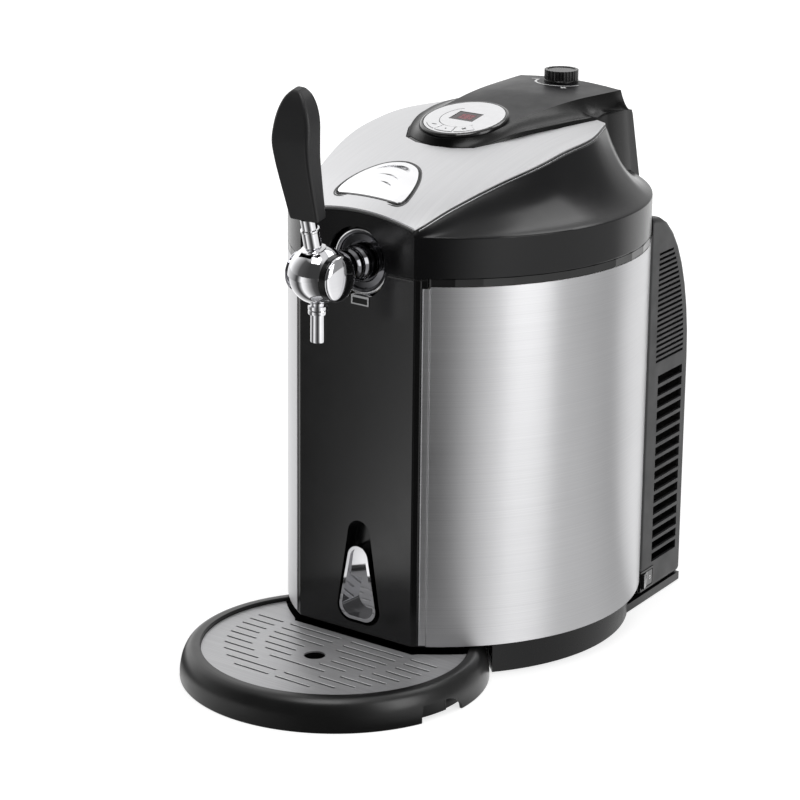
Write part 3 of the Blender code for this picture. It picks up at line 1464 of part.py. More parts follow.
def notch_outline(middle):
    """Side view of the finger notch: a step at the front and an arch at the rear."""
    half = NOTCH_LENGTH / 2
    arch = [(middle + half * math.sin(math.pi / 2 * k / 5),
             NOTCH_HEIGHT * math.cos(math.pi / 2 * k / 5)) for k in range(6)]
    return ([(middle - half, -OVERRUN), (middle - half, NOTCH_HEIGHT * 0.35),
             (middle - half * 0.9, NOTCH_HEIGHT)] + arch + [(middle + half, -OVERRUN)])[::-1]


# Slots of the grille: for each row, spans on one side as shares of the grille's radius
slot_row_shares = (
    ((0.045, 0.54), (0.605, 0.855)),
    ((0.045, 0.545), (0.615, 0.86)),
    ((0.06, 0.54), (0.615, 0.855)),
    ((0.165, 0.51), (0.600, 0.835)),
    ((0.165, 0.465), (0.55, 0.805)),
    ((0.13, 0.385), (0.505, 0.76)),
    ((-0.262, 0.262), (0.405, 0.70)),
    ((0.285, 0.625),),
    ((0.035, 0.515),),
    ((0.03, 0.36),),
)
slot_first_row_share = 0.132
slot_pitch_share = 0.0965
drain_row_share = -0.24


def grille_slots():
    radius = TRAY_RIM_RADIUS - TRAY_RIM_WIDTH - GAP
    top = TRAY_HEIGHT - GRILLE_DEPTH
    floor = top - GRILLE_SHEET - OVERRUN
    slots = []
    for i, spans in enumerate(slot_row_shares):
        y = TRAY_CENTRE + radius * (slot_first_row_share - slot_pitch_share * i)
        front = y - SLOT_WIDTH / 2
        rear = y + SLOT_WIDTH / 2
        for low, high in spans:
            slots.append(((radius * low, front, floor), (radius * high, rear, top + OVERRUN)))
            if low > 0:
                slots.append(((-radius * high, front, floor),
                              (-radius * low, rear, top + OVERRUN)))
    return slots


def make_grille():
    radius = TRAY_RIM_RADIUS - TRAY_RIM_WIDTH - GAP
    top = TRAY_HEIGHT - GRILLE_DEPTH
    item = slab("drip_grille", circle(radius, (0, TRAY_CENTRE), TRAY_STEPS), top - GRILLE_SHEET,
                top, brushed_steel())
    front = BODY_FRONT + GRILLE_BODY_GAP
    right = side_points(-BODY_FRONT, 0, -GRILLE_BODY_GAP, 12)
    right[0] = (right[0][0], -front)
    footprint = slab("grille_body_cutter", right + mirrored(right), 0, TRAY_HEIGHT)
    drain = rod("grille_drain_cutter", (0, TRAY_CENTRE + radius * drain_row_share, 0), "Z",
                TRAY_HEIGHT, DRAIN_RADIUS)
    return cut(item, footprint, boxes("grille_slots_cutter", grille_slots()), drain)


# Body

def plinth_outline(inset):
    nest = TRAY_RADIUS + TRAY_NEST_GAP + inset
    side = side_points(-BODY_FRONT, PLINTH_REAR_BEND, PLINTH_INSET + inset)
    kept = [(x, y) for x, y in side if math.hypot(x, y - TRAY_CENTRE) > nest and y > TRAY_CENTRE
            + TRAY_RADIUS * 0.3]
    x0, y0 = kept[0]
    first = math.atan2(math.sqrt(max(nest ** 2 - x0 ** 2, 0)), x0)
    arc = circle(nest, (0, TRAY_CENTRE), 16, math.pi - first, first)
    rear = PLINTH_REAR_BEND - inset
    kept = [(x, min(y, rear)) for x, y in kept]
    return arc[:-1] + kept + [(-x, y) for x, y in reversed(kept)][:-1]


def make_plinth():
    top = BODY_BOTTOM - GAP
    item = slab("base_plinth", plinth_outline(0.0), PLINTH_LIFT, top, black_plastic())
    tail_front = PLINTH_REAR_BEND - PLINTH_WALL
    rear = HOUSING_REAR - HOUSING_ROUND / 2
    tail = slab("plinth_tail", [(-housing_x(tail_front), tail_front), (-housing_x(rear), rear),
                                (housing_x(rear), rear), (housing_x(tail_front), tail_front)][::-1],
                PLINTH_LIFT, PLINTH_TAIL_TOP)
    join(item, tail)
    hollow = slab("plinth_hollow_cutter", plinth_outline(PLINTH_WALL),
                  PLINTH_TAIL_TOP, top + OVERRUN)
    cut(item, hollow)
    for x, y in foot_places():
        cut(item, rod("foot_recess_cutter", (x, y, -OVERRUN), "Z", OVERRUN + FOOT_DEPTH,
                      FOOT_RADIUS + GAP))
    return item


def foot_places():
    front_y = TRAY_CENTRE + TRAY_RADIUS + FOOT_RADIUS
    rear_y = HOUSING_REAR - HOUSING_ROUND - 2 * FOOT_RADIUS
    front_x = side_x(front_y, PLINTH_INSET) - 1.6 * FOOT_RADIUS
    rear_x = housing_x(rear_y) - 1.6 * FOOT_RADIUS
    return ((front_x, front_y), (-front_x, front_y), (rear_x, rear_y), (-rear_x, rear_y))


def make_feet():
    names = ("foot_front_right", "foot_front_left", "foot_rear_right", "foot_rear_left")
    return [rod(name, (x, y, 0), "Z", FOOT_DEPTH - GAP, FOOT_RADIUS, rubber())
            for name, (x, y) in zip(names, foot_places())]


def panel_plan(wall):
    """U-shaped plan of the front panel with its returns to the steel sides."""
    corner = (side_x(-BODY_FRONT), -BODY_FRONT)
    end = (side_x(-STEEL_FRONT), -STEEL_FRONT)
    inner_corner = (side_x(-BODY_FRONT + wall, wall), -BODY_FRONT + wall)
    inner_end = (side_x(-STEEL_FRONT, wall), -STEEL_FRONT)
    right = [inner_end, end, corner]
    left = [(-x, y) for x, y in reversed(right)]
    return right + left + [(-inner_corner[0], inner_corner[1]), inner_corner]


def teardrop(top, bottom, half_width, top_radius, spread=0.0):
    """Tall outline with a round top and a wider, softly rounded foot."""
    foot_radius = half_width * 0.62
    foot = circle(foot_radius + spread,
                  (OPENER_X + half_width - foot_radius, bottom + foot_radius), 5,
                  -math.pi / 2, 0.0)
    head = circle(top_radius + spread, (OPENER_X, top - top_radius), 6, 0.12, math.pi - 0.12)
    left = [(2 * OPENER_X - x, z) for x, z in reversed(foot)]
    return foot + head + left


def make_front_panel():
    item = slab("front_panel", panel_plan(PANEL_WALL), BODY_BOTTOM, COLLAR_TOP, black_plastic())
    block_half = OPENER_POCKET_HALF_WIDTH + PANEL_WALL
    block_rear = -BODY_FRONT + OPENER_POCKET_DEPTH + PANEL_WALL
    block = box("opener_pocket_block",
                (OPENER_X - block_half, -BODY_FRONT + PANEL_WALL / 2,
                 OPENER_POCKET_BOTTOM - PANEL_WALL),
                (OPENER_X + block_half, block_rear, OPENER_POCKET_TOP + PANEL_WALL))
    join(item, block)
    pocket = slab("opener_pocket_cutter",
                  teardrop(OPENER_POCKET_TOP, OPENER_POCKET_BOTTOM, OPENER_POCKET_HALF_WIDTH,
                           OPENER_POCKET_TOP_RADIUS),
                  -BODY_FRONT - OVERRUN, -BODY_FRONT + OPENER_POCKET_DEPTH, plane="XZ")
    well = rod("panel_well_cutter", (0, -BODY_FRONT - OVERRUN, TAP_HEIGHT), "Y",
               PANEL_WALL + 2 * OVERRUN, WELL_RADIUS, steps=CIRCLE_STEPS)
    return cut(item, pocket, well)


def make_opener():
    """Cast loop: a hooded rim round a hollow, with a slanted bridge plate inside."""
    back = -BODY_FRONT + OPENER_POCKET_DEPTH - GAP
    front = -BODY_FRONT - OPENER_PROUD
    outline = teardrop(OPENER_TOP, OPENER_BOTTOM, OPENER_HALF_WIDTH, OPENER_TOP_RADIUS)
    inner = teardrop(OPENER_TOP - OPENER_WALL, OPENER_BOTTOM + OPENER_WALL,
                     OPENER_HALF_WIDTH - OPENER_WALL, OPENER_TOP_RADIUS - OPENER_WALL)
    item = slab("bottle_opener", outline, front, back, chrome(), plane="XZ")
    soften(item, OPENER_WALL * 0.3, 2, 60)
    deep = slab("opener_hollow_cutter", inner, front - OVERRUN, back - OPENER_WALL, plane="XZ")
    tall = OPENER_TOP - OPENER_BOTTOM
    bridge_low = OPENER_TOP - tall * 0.42
    wedge = [(front + OPENER_WALL, bridge_low), (back, bridge_low - tall * 0.06),
             (back, OPENER_TOP), (front + OPENER_WALL * 0.6, OPENER_TOP)]
    keep = slab("opener_bridge_cutter", wedge, OPENER_X - OPENER_HALF_WIDTH,
                OPENER_X + OPENER_HALF_WIDTH, plane="YZ")
    cut(deep, keep)
    return cut(item, deep)


def make_side_panels():
    outer = side_points(-STEEL_FRONT + 4 * GAP, STEEL_REAR)
    inner = [(side_x(y, STEEL_SHEET), y) for _, y in outer]
    outline = outer + inner[::-1]
    right = slab("side_panel_right", outline, BODY_BOTTOM, STEEL_TOP, brushed_steel())
    left = slab("side_panel_left", [(-x, y) for x, y in reversed(outline)], BODY_BOTTOM,
                STEEL_TOP, brushed_steel())
    return [smooth(right), smooth(left)]


def make_base_plate():
    inset = STEEL_SHEET + GAP
    tongue = -BODY_FRONT + PANEL_WALL + GAP
    right = side_points(-STEEL_FRONT + PANEL_WALL / 2, STEEL_REAR - GAP, inset)
    tongue_half = side_x(-BODY_FRONT + PANEL_WALL, PANEL_WALL) - 3 * PANEL_WALL
    return slab("base_plate", nosed_outline(right, tongue_half, tongue), BODY_BOTTOM + GAP,
                BODY_BOTTOM + FLOOR_SHEET, black_plastic())


def lug_box(side, low_x, high_x):
    low, high = sorted((side * low_x, side * high_x))
    barrel = rod("collar_lug", (low, HINGE_Y, HINGE_Z), "X", high - low, LUG_RADIUS)
    web = box("collar_lug_web", (low, BODY_REAR - PANEL_WALL, STEEL_TOP + PANEL_WALL / 2),
              (high, HINGE_Y + LUG_RADIUS * 0.8, HINGE_Z))
    relief = box("collar_lug_relief", (low - OVERRUN, BODY_REAR - 2 * PANEL_WALL,
                                       COLLAR_TOP - PANEL_WALL / 2),
                 (high + OVERRUN, BODY_REAR + GAP, HINGE_Z + KNUCKLE_RADIUS))
    return cut(join(barrel, web), relief)


def make_collar():
    """Top ring of the body: seat of the lid, mouth of the chamber and hinge lugs."""
    front = -BODY_FRONT + PANEL_WALL + GAP
    right = side_points(-STEEL_FRONT + 4 * GAP, BODY_REAR)
    nose_half = side_x(-BODY_FRONT + PANEL_WALL, PANEL_WALL) - 6 * PANEL_WALL
    item = slab("top_collar", nosed_outline(right, nose_half, front), STEEL_TOP + GAP, COLLAR_TOP,
                black_plastic(), holes=(circle(CHAMBER_RADIUS, (0, CHAMBER_CENTRE)),))
    for side in (-1, 1):
        join(item, lug_box(side, KNUCKLE_OUTER + GAP, LUG_OUTER))
    bore = rod("collar_pin_cutter", (-LUG_OUTER - OVERRUN, HINGE_Y, HINGE_Z), "X",
               2 * (LUG_OUTER + OVERRUN), HINGE_PIN_RADIUS + SHAFT_GAP)
    plate_y = -BODY_FRONT + FLANGE_RECESS + FLANGE_THICK
    well = rod("collar_plate_cutter", (0, front - OVERRUN, TAP_HEIGHT), "Y",
               plate_y + WELL_PLATE_THICK + 2 * GAP - front + OVERRUN, WELL_PLATE_RADIUS + GAP,
               steps=CIRCLE_STEPS)
    tail = box("collar_tail_cutter", (-SHANK_TAIL_RADIUS - 3 * GAP, front, STEEL_TOP - OVERRUN),
               (SHANK_TAIL_RADIUS + 3 * GAP, CHAMBER_CENTRE, COLLAR_TOP + OVERRUN))
    cut(item, bore, well, tail)
    room = LATCH_ARM_DEPTH * 0.6
    for side in (-1, 1):
        centre = side * LATCH_ARM_X
        half = LATCH_ARM_WIDTH / 2 + MOVING_GAP
        cut(item, box("latch_slot_cutter", (centre - half, LATCH_Y - LATCH_ARM_DEPTH / 2
                                            - room, STEEL_TOP - OVERRUN),
                      (centre + half, LATCH_Y + LATCH_ARM_DEPTH / 2 + MOVING_GAP,
                       COLLAR_TOP + OVERRUN)))
    return item


def make_chamber():
    outer = CHAMBER_RADIUS + LINER_WALL
    height = STEEL_TOP - BODY_BOTTOM - FLOOR_SHEET - GAP
    lift = BODY_BOTTOM + FLOOR_SHEET + GAP
    liner = turned("chamber_liner", [
        (0, LINER_WALL), (CHAMBER_RADIUS * 0.97, LINER_WALL), (CHAMBER_RADIUS, LINER_WALL * 3),
        (CHAMBER_RADIUS, height), (outer, height), (outer, LINER_WALL), (outer - LINER_WALL, 0),
        (0, 0)], (0, CHAMBER_CENTRE, lift), "Z", aluminium(), 40)
    front = -BODY_FRONT + PANEL_WALL + GAP
    rear = STEEL_REAR - GAP
    right = side_points(front, rear, INSULATION_INSET)
    jacket = slab("insulation_jacket", right + mirrored(right), lift, STEEL_TOP, foam(),
                  holes=(circle(outer + GAP, (0, CHAMBER_CENTRE), 40),))
    block_half = OPENER_POCKET_HALF_WIDTH + PANEL_WALL + GAP
    block_rear = -BODY_FRONT + OPENER_POCKET_DEPTH + PANEL_WALL + GAP
    pocket = box("jacket_pocket_cutter", (OPENER_X - block_half, front - OVERRUN,
                                          OPENER_POCKET_BOTTOM - PANEL_WALL - GAP),
                 (OPENER_X + block_half, block_rear, OPENER_POCKET_TOP + PANEL_WALL + GAP))
    plate_rear = -BODY_FRONT + FLANGE_RECESS + FLANGE_THICK + WELL_PLATE_THICK + 2 * GAP
    well = rod("jacket_plate_cutter", (0, front - OVERRUN, TAP_HEIGHT), "Y",
               plate_rear - front + OVERRUN, WELL_PLATE_RADIUS + GAP, steps=CIRCLE_STEPS)
    cooler_half = COLD_BLOCK_HALF + GAP
    cooler = box("jacket_cooler_cutter", (-cooler_half, CHAMBER_CENTRE + CHAMBER_RADIUS * 0.9,
                                          FAN_HEIGHT - cooler_half),
                 (cooler_half, rear + OVERRUN, FAN_HEIGHT + cooler_half))
    cut(jacket, pocket, well, cooler)
    return [liner, jacket]


def make_cooler():
    """Cold block against the chamber, cooling module and finned sink."""
    block_rear = STEEL_REAR - GAP
    block = box("cold_block", (-COLD_BLOCK_HALF, CHAMBER_CENTRE + CHAMBER_RADIUS * 0.92,
                               FAN_HEIGHT - COLD_BLOCK_HALF),
                (COLD_BLOCK_HALF, block_rear, FAN_HEIGHT + COLD_BLOCK_HALF), aluminium())
    cut(block, rod("block_liner_cutter", (0, CHAMBER_CENTRE, BODY_BOTTOM), "Z", STEEL_HEIGHT,
                   CHAMBER_RADIUS + LINER_WALL + GAP, steps=40))
    module_rear = block_rear + GAP + PELTIER_THICK
    module = box("peltier_module", (-PELTIER_HALF, block_rear + GAP, FAN_HEIGHT - PELTIER_HALF),
                 (PELTIER_HALF, module_rear, FAN_HEIGHT + PELTIER_HALF), ceramic())
    sink_front = module_rear + GAP
    pitch = (2 * SINK_HALF_WIDTH - SINK_FIN) / (SINK_FINS - 1)
    outline = [(-SINK_HALF_WIDTH, sink_front), (SINK_HALF_WIDTH, sink_front)]
    for i in range(SINK_FINS - 1, -1, -1):
        left = -SINK_HALF_WIDTH + pitch * i
        outline += [(left + SINK_FIN, sink_front + SINK_BASE), (left + SINK_FIN,
                                                                sink_front + SINK_DEPTH),
                    (left, sink_front + SINK_DEPTH), (left, sink_front + SINK_BASE)]
    outline = clean_outline(outline)
    sink = slab("heat_sink", outline, FAN_HEIGHT - SINK_HALF_WIDTH, FAN_HEIGHT + SINK_HALF_WIDTH,
                aluminium())
    return [block, module, sink], sink_front + SINK_DEPTH + GAP


def clean_outline(points):
    """Drops points that lie on the straight line between their neighbours."""
    out = []
    count = len(points)
    for i, point in enumerate(points):
        before = Vector(points[i - 1])
        here = Vector(point)
        after = Vector(points[(i + 1) % count])
        first = here - before
        second = after - here
        if abs(first.x * second.y - first.y * second.x) > 1e-12:
            out.append(point)
    return out


def make_fan(front):
    """Square frame with a spider behind a seven-bladed rotor."""
    half = FAN_SIZE / 2
    rear = front + FAN_DEPTH
    square = [(-half, FAN_HEIGHT - half), (half, FAN_HEIGHT - half), (half, FAN_HEIGHT + half),
              (-half, FAN_HEIGHT + half)]
    frame = slab("fan_frame", square, front, rear, black_plastic(), plane="XZ",
                 holes=(circle(FAN_BORE, (0, FAN_HEIGHT)),))
    spider = FAN_DEPTH * 0.16
    hub = rod("fan_spider_hub", (0, rear - spider, FAN_HEIGHT), "Y", spider, FAN_HUB_RADIUS)
    strut = FAN_SIZE * 0.03
    long_strut = box("fan_strut_x", (-FAN_BORE - strut, rear - spider, FAN_HEIGHT - strut),
                     (FAN_BORE + strut, rear, FAN_HEIGHT + strut))
    tall_strut = box("fan_strut_z", (-strut, rear - spider, FAN_HEIGHT - FAN_BORE - strut),
                     (strut, rear, FAN_HEIGHT + FAN_BORE + strut))
    join(frame, hub, long_strut, tall_strut)
    cut(frame, rod("fan_shaft_cutter", (0, rear - 2 * spider, FAN_HEIGHT), "Y", 3 * spider,
                   FAN_SHAFT_RADIUS + SHAFT_GAP))
    rotor_front = front + FAN_DEPTH * 0.1
    rotor_rear = rear - spider - GAP
    rotor = rod("fan_rotor", (0, rotor_front, FAN_HEIGHT), "Y", rotor_rear - rotor_front,
                FAN_HUB_RADIUS * 0.97, grey_plastic())
    join(rotor, rod("rotor_shaft", (0, rotor_rear - spider, FAN_HEIGHT), "Y", 2 * spider - GAP,
                    FAN_SHAFT_RADIUS, steps=12), fan_blades(rotor_front, rotor_rear))
    return frame, rotor


def fan_blades(front, rear):
    """Pitched blades round the hub, as separate bodies that the hub joins."""
    shape = bmesh.new()
    middle = (front + rear) / 2
    inner = FAN_HUB_RADIUS * 0.8
    outer = FAN_BORE - MOVING_GAP * 1.5
    for i in range(FAN_BLADES):
        made = bmesh.ops.create_cube(shape, size=1.0)["verts"]
        turn = Matrix.Rotation(2 * math.pi * i / FAN_BLADES, 4, "Y")
        pitch = Matrix.Rotation(math.radians(38), 4, "X")
        place = Matrix.Translation(((inner + outer) / 2, 0, 0))
        size = Matrix.Diagonal((outer - inner, FAN_BLADE_THICK, (rear - front) * 1.05, 1))
        bmesh.ops.transform(shape, matrix=turn @ place @ pitch @ size, verts=made)
    mesh = bpy.data.meshes.new("rotor_blades")
    shape.to_mesh(mesh)
    shape.free()
    item = add_object("rotor_blades", mesh, None)
    item.location = (0, middle, FAN_HEIGHT)
    return item


def housing_outline(inset, front):
    """Side view of the housing: flat foot, upright rear and a rounded top."""
    bottom = PLINTH_TAIL_TOP + GAP + inset
    rear = HOUSING_REAR - inset
    centre_y = HOUSING_CURVE_START
    rise = HOUSING_TOP - HOUSING_SHOULDER - inset
    arc = [(centre_y + (rear - centre_y) * math.cos(math.pi / 2 * k / 9),
            HOUSING_SHOULDER + rise * math.sin(math.pi / 2 * k / 9)) for k in range(10)]
    return [(front, bottom), (rear, bottom)] + arc + [(front, HOUSING_SHOULDER + rise)]


def tapered_prism(name, outline, inset, look=None):
    """Prism across the machine whose flat sides close in towards the rear."""
    count = len(outline)
    right = [(housing_x(y, inset), y, z) for y, z in outline]
    left = [(-x, y, z) for x, y, z in right]
    verts = right + left
    faces = [list(range(count)), list(range(2 * count - 1, count - 1, -1))]
    for i in range(count):
        k = (i + 1) % count
        faces.append([i, count + i, count + k, k])
    return mesh_object(name, verts, faces, look)


def make_housing():
    front = STEEL_REAR + GAP
    item = tapered_prism("rear_housing", housing_outline(0.0, front), 0.0, grey_plastic())
    soften(item, HOUSING_ROUND, 2, 40)
    hollow = tapered_prism("housing_hollow_cutter",
                           housing_outline(HOUSING_WALL, front - OVERRUN), HOUSING_WALL)
    lid_room = body_outline(-BODY_FRONT, BODY_REAR, -1.5 * MOVING_GAP)
    relief = slab("housing_lid_cutter", lid_room, STEEL_TOP - GAP, HOUSING_TOP + OVERRUN)
    knuckle_room = box("housing_hinge_cutter", (-LUG_OUTER - MOVING_GAP, BODY_REAR - OVERRUN,
                                                STEEL_TOP - GAP),
                       (LUG_OUTER + MOVING_GAP, HOUSING_REAR + OVERRUN, HOUSING_TOP + OVERRUN))
    cut(item, hollow, relief, knuckle_room)
    wide = HOUSING_HALF_WIDTH + OVERRUN
    slots = []
    for i in range(VENT_COUNT):
        low = VENT_LOW + VENT_PITCH * i
        slots.append(((-wide, VENT_FRONT, low), (wide, VENT_REAR, low + VENT_SLOT)))
    for i in range(LOUVRE_COUNT):
        low = LOUVRE_LOW + LOUVRE_PITCH * i
        share = (low + LOUVRE_SLOT - HOUSING_SHOULDER) / (HOUSING_TOP - HOUSING_SHOULDER)
        curve_y = HOUSING_CURVE_START + (HOUSING_REAR - HOUSING_CURVE_START) * math.sqrt(
            max(1 - share ** 2, 0))
        reach = min(VENT_REAR, curve_y - 2.2 * HOUSING_ROUND)
        slots.append(((-wide, VENT_FRONT - HOUSING_ROUND, low), (wide, reach, low + LOUVRE_SLOT)))
    cut(item, boxes("housing_side_slots", slots))
    rear_slots = []
    for i in range(REAR_SLOT_COUNT):
        low = REAR_SLOT_LOW + REAR_SLOT_PITCH * i
        rear_slots.append(((-REAR_SLOT_HALF_WIDTH, HOUSING_REAR - 2 * HOUSING_WALL, low),
                           (REAR_SLOT_HALF_WIDTH, HOUSING_REAR + OVERRUN, low + REAR_SLOT)))
    cut(item, boxes("housing_rear_slots", rear_slots))
    cut(item, box("housing_inlet_cutter", (INLET_X - INLET_WIDTH / 2 - GAP,
                                           HOUSING_REAR - 2 * HOUSING_WALL,
                                           INLET_HEIGHT - INLET_TALL / 2 - GAP),
                  (INLET_X + INLET_WIDTH / 2 + GAP, HOUSING_REAR + OVERRUN,
                   INLET_HEIGHT + INLET_TALL / 2 + GAP)))
    for name, (x, y, z) in screw_places():
        cut(item, rod("housing_screw_cutter", (x, y - HOUSING_WALL / 2 - GAP, z), "Y", OVERRUN,
                      SCREW_HEAD_RADIUS + GAP),
            rod("housing_shank_cutter", (x, y - SCREW_LENGTH, z), "Y", SCREW_LENGTH,
                SCREW_HEAD_RADIUS * 0.45 + GAP, steps=12))
    half_y = SWITCH_LENGTH / 2 + SWITCH_FRAME + GAP
    half_z = SWITCH_WIDTH / 2 + SWITCH_FRAME + GAP
    if SWITCH_HEIGHT - half_z > PLINTH_TAIL_TOP:
        cut(item, box("housing_switch_cutter", (HOUSING_HALF_WIDTH / 2, SWITCH_Y - half_y,
                                                SWITCH_HEIGHT - half_z),
                      (wide, SWITCH_Y + half_y, SWITCH_HEIGHT + half_z)))
    return item


def switch_frame_matrix():
    """Frame on the housing's right side: local Z points out of the wall."""
    centre = Vector((housing_x(SWITCH_Y), SWITCH_Y, SWITCH_HEIGHT))
    lean = math.atan(HOUSING_TAPER)
    turn = Matrix.Rotation(lean, 4, "Z") @ Matrix.Rotation(math.pi / 2, 4, "Y") \
        @ Matrix.Rotation(math.pi / 2, 4, "Z")
    return Matrix.Translation(centre) @ turn


def make_switch():
    """Snap-in frame and the rocker that tips in it. Local X runs to the rear."""
    frame_matrix = switch_frame_matrix()
    half_x = SWITCH_LENGTH / 2 + SWITCH_FRAME
    half_y = SWITCH_WIDTH / 2 + SWITCH_FRAME
    bezel = [(-half_x, -half_y), (half_x, -half_y), (half_x, half_y), (-half_x, half_y)]
    inner_x = SWITCH_LENGTH / 2 + MOVING_GAP
    inner_y = SWITCH_WIDTH / 2 + MOVING_GAP / 2
    hole = [(-inner_x, -inner_y), (inner_x, -inner_y), (inner_x, inner_y), (-inner_x, inner_y)]
    trim = half_x * 0.03
    outline = [(x * (1 - trim), y * (1 - trim)) for x, y in bezel]
    frame = slab("switch_frame", outline, -SWITCH_DEPTH, SWITCH_PROUD, black_plastic(), holes=(hole,))
    floor = box("switch_floor", (-half_x * 0.95, -half_y * 0.95, -SWITCH_DEPTH),
                (half_x * 0.95, half_y * 0.95, -SWITCH_DEPTH * 0.85))
    rocker_half_x = SWITCH_LENGTH / 2
    rocker_half_y = SWITCH_WIDTH / 2
    side_view = [(-rocker_half_x, -ROCKER_CHEEK), (0, -SWITCH_DEPTH * 0.82 + GAP),
                 (rocker_half_x, -ROCKER_CHEEK), (rocker_half_x, ROCKER_EDGE_PROUD),
                 (0, ROCKER_DISH_PROUD), (-rocker_half_x, ROCKER_EDGE_PROUD)]
    rocker = slab("power_rocker", side_view, -rocker_half_y, rocker_half_y, gloss_black(),
                  plane="XZ")
    rocker.matrix_basis = rocker_matrix() @ rocker.matrix_basis
    frame.matrix_basis = frame_matrix @ frame.matrix_basis
    floor.matrix_basis = frame_matrix @ floor.matrix_basis
    join(frame, floor)
    return frame, rocker


def rocker_matrix():
    tip = Matrix.Rotation(math.radians(SWITCH_TILT_DEG), 4, "Y")
    pivot = Matrix.Translation((0, 0, -ROCKER_PIVOT_DEPTH))
    return switch_frame_matrix() @ pivot @ tip @ pivot.inverted()


def make_inlet():
    """Mains socket in the rear wall: a box with a recess and three blades."""
    rear = HOUSING_REAR
    deep = INLET_DEPTH
    half_x = INLET_WIDTH / 2
    half_z = INLET_TALL / 2
    item = box("power_inlet", (INLET_X - half_x, rear - deep, INLET_HEIGHT - half_z),
               (INLET_X + half_x, rear, INLET_HEIGHT + half_z), black_plastic())
    wall = INLET_WALL
    cut(item, box("inlet_recess_cutter", (INLET_X - half_x + wall, rear - deep + 2 * wall,
                                          INLET_HEIGHT - half_z + wall),
                  (INLET_X + half_x - wall, rear + OVERRUN, INLET_HEIGHT + half_z - wall)))
    for k in (-1, 0, 1):
        blade = box("inlet_blade", (INLET_X + k * half_x * 0.45 - INLET_BLADE, rear - deep + wall,
                                    INLET_HEIGHT - 2 * INLET_BLADE),
                    (INLET_X + k * half_x * 0.45 + INLET_BLADE, rear - 2 * wall,
                     INLET_HEIGHT + 2 * INLET_BLADE))
        join(item, blade)
    return item


def make_supply(front):
    """Power supply box on the plinth's tail, behind the body."""
    half = HOUSING_HALF_WIDTH * 0.5
    low = PLINTH_TAIL_TOP + HOUSING_WALL + 2 * GAP
    item = box("power_supply", (-half * 0.2, front, low),
               (half, front + FAN_DEPTH * 1.4, low + INLET_TALL * 2.2), grey_plastic())
    return item


def screw_places():
    x = REAR_SLOT_HALF_WIDTH * 1.6
    z = FAN_HEIGHT + FAN_SIZE / 2
    return (("housing_screw_right", (x, HOUSING_REAR, z)),
            ("housing_screw_left", (-x, HOUSING_REAR, z)))


def make_screws():
    """Domed heads sunk in the rear wall, with their shanks through it."""
    head = SCREW_HEAD_RADIUS
    shank = head * 0.45
    sink = HOUSING_WALL / 2
    profile = [(0, 0), (head * 0.6, -sink * 0.15), (head, -sink * 0.6), (head, -sink),
               (shank, -sink), (shank, -SCREW_LENGTH), (0, -SCREW_LENGTH)]
    return [turned(name, profile, place, "Y", chrome(), 12) for name, place in screw_places()]


# Assembly

def anchor(name, place, parent):
    item = bpy.data.objects.new(name, None)
    group(PARTS).objects.link(item)
    item.location = place
    item.parent = parent
    return item


def hang(items, empty, place=(0, 0, 0)):
    """Parents pieces to an empty without moving them."""
    for item in items:
        item.parent = empty
        item.matrix_parent_inverse = Matrix.Translation(Vector(place)).inverted()


def build():
    clear_scene()
    origin = bpy.data.objects.new("dispenser_origin", None)
    group(PARTS).objects.link(origin)
    origin.location = (0, -MIDDLE_Y, 0)

    fixed = [make_plinth(), *make_feet(), make_base_plate(), make_front_panel(), make_opener(),
             *make_side_panels(), make_collar(), *make_chamber()]
    cooler, fan_front = make_cooler()
    frame, rotor = make_fan(fan_front)
    switch_frame, rocker = make_switch()
    fixed += [*cooler, frame, make_housing(), switch_frame, make_inlet(), make_supply(fan_front),
              *make_screws(), *make_tap_fixed(), make_tap_body(), *make_tap_caps(), make_spout()]
    pin = rod("hinge_pin", (-LUG_OUTER, HINGE_Y, HINGE_Z), "X", 2 * LUG_OUTER, HINGE_PIN_RADIUS,
              chrome(), steps=12)
    fixed.append(pin)
    hang(fixed, origin)

    hinge_place = (0, HINGE_Y, HINGE_Z)
    hinge = anchor("lid_axis", hinge_place, origin)
    display, keys = make_display()
    inside, fitting_top = make_lid_inside()
    button = make_button()
    latch, latch_pin = make_latch()
    knob = make_knob()
    lid = [make_lid_shell(), make_cover(), make_console(), *display, latch_pin, *inside,
           *make_gas_parts(fitting_top)]
    for items, name, place in ((lid, None, None), ([button], "button_axis", button_place()),
                               ([latch], "latch_axis", (0, LATCH_Y, LATCH_PIN_Z)),
                               ([knob], "knob_axis", (0, KNOB_Y, ridge_z(KNOB_Y)))):
        if name is None:
            hang(items, hinge, hinge_place)
        else:
            offset = tuple(a - b for a, b in zip(place, hinge_place))
            hang(items, anchor(name, offset, hinge), place)
    for key in keys:
        place = (0, DISPLAY_CENTRE, DISPLAY_TOP)
        offset = tuple(a - b for a, b in zip(place, hinge_place))
        hang([key], anchor(key.name + "_axis", offset, hinge), place)

    lever, handle = make_tap_lever()
    tap_place = (0, TAP_BALL_Y, TAP_HEIGHT)
    hang([lever, handle], anchor("tap_axis", tap_place, origin), tap_place)
    rocker_place = tuple(rocker_pivot())
    hang([rocker], anchor("rocker_axis", rocker_place, origin), rocker_place)
    rotor_place = (0, fan_front, FAN_HEIGHT)
    hang([rotor], anchor("fan_axis", rotor_place, origin), rotor_place)
    tray_place = (0, TRAY_CENTRE, 0)
    tray_axis = anchor("tray_axis", tray_place, origin)
    hang([make_tray()], tray_axis, tray_place)
    hang([make_grille()], anchor("grille_axis", (0, 0, TRAY_HEIGHT), tray_axis),
         (0, TRAY_CENTRE, TRAY_HEIGHT))
    for item in list(group(CUTTERS).objects):
        item.parent = origin


def button_place():
    y = -BUTTON_FRONT + BUTTON_LENGTH / 2
    return (0, y, cover_z(0, y))


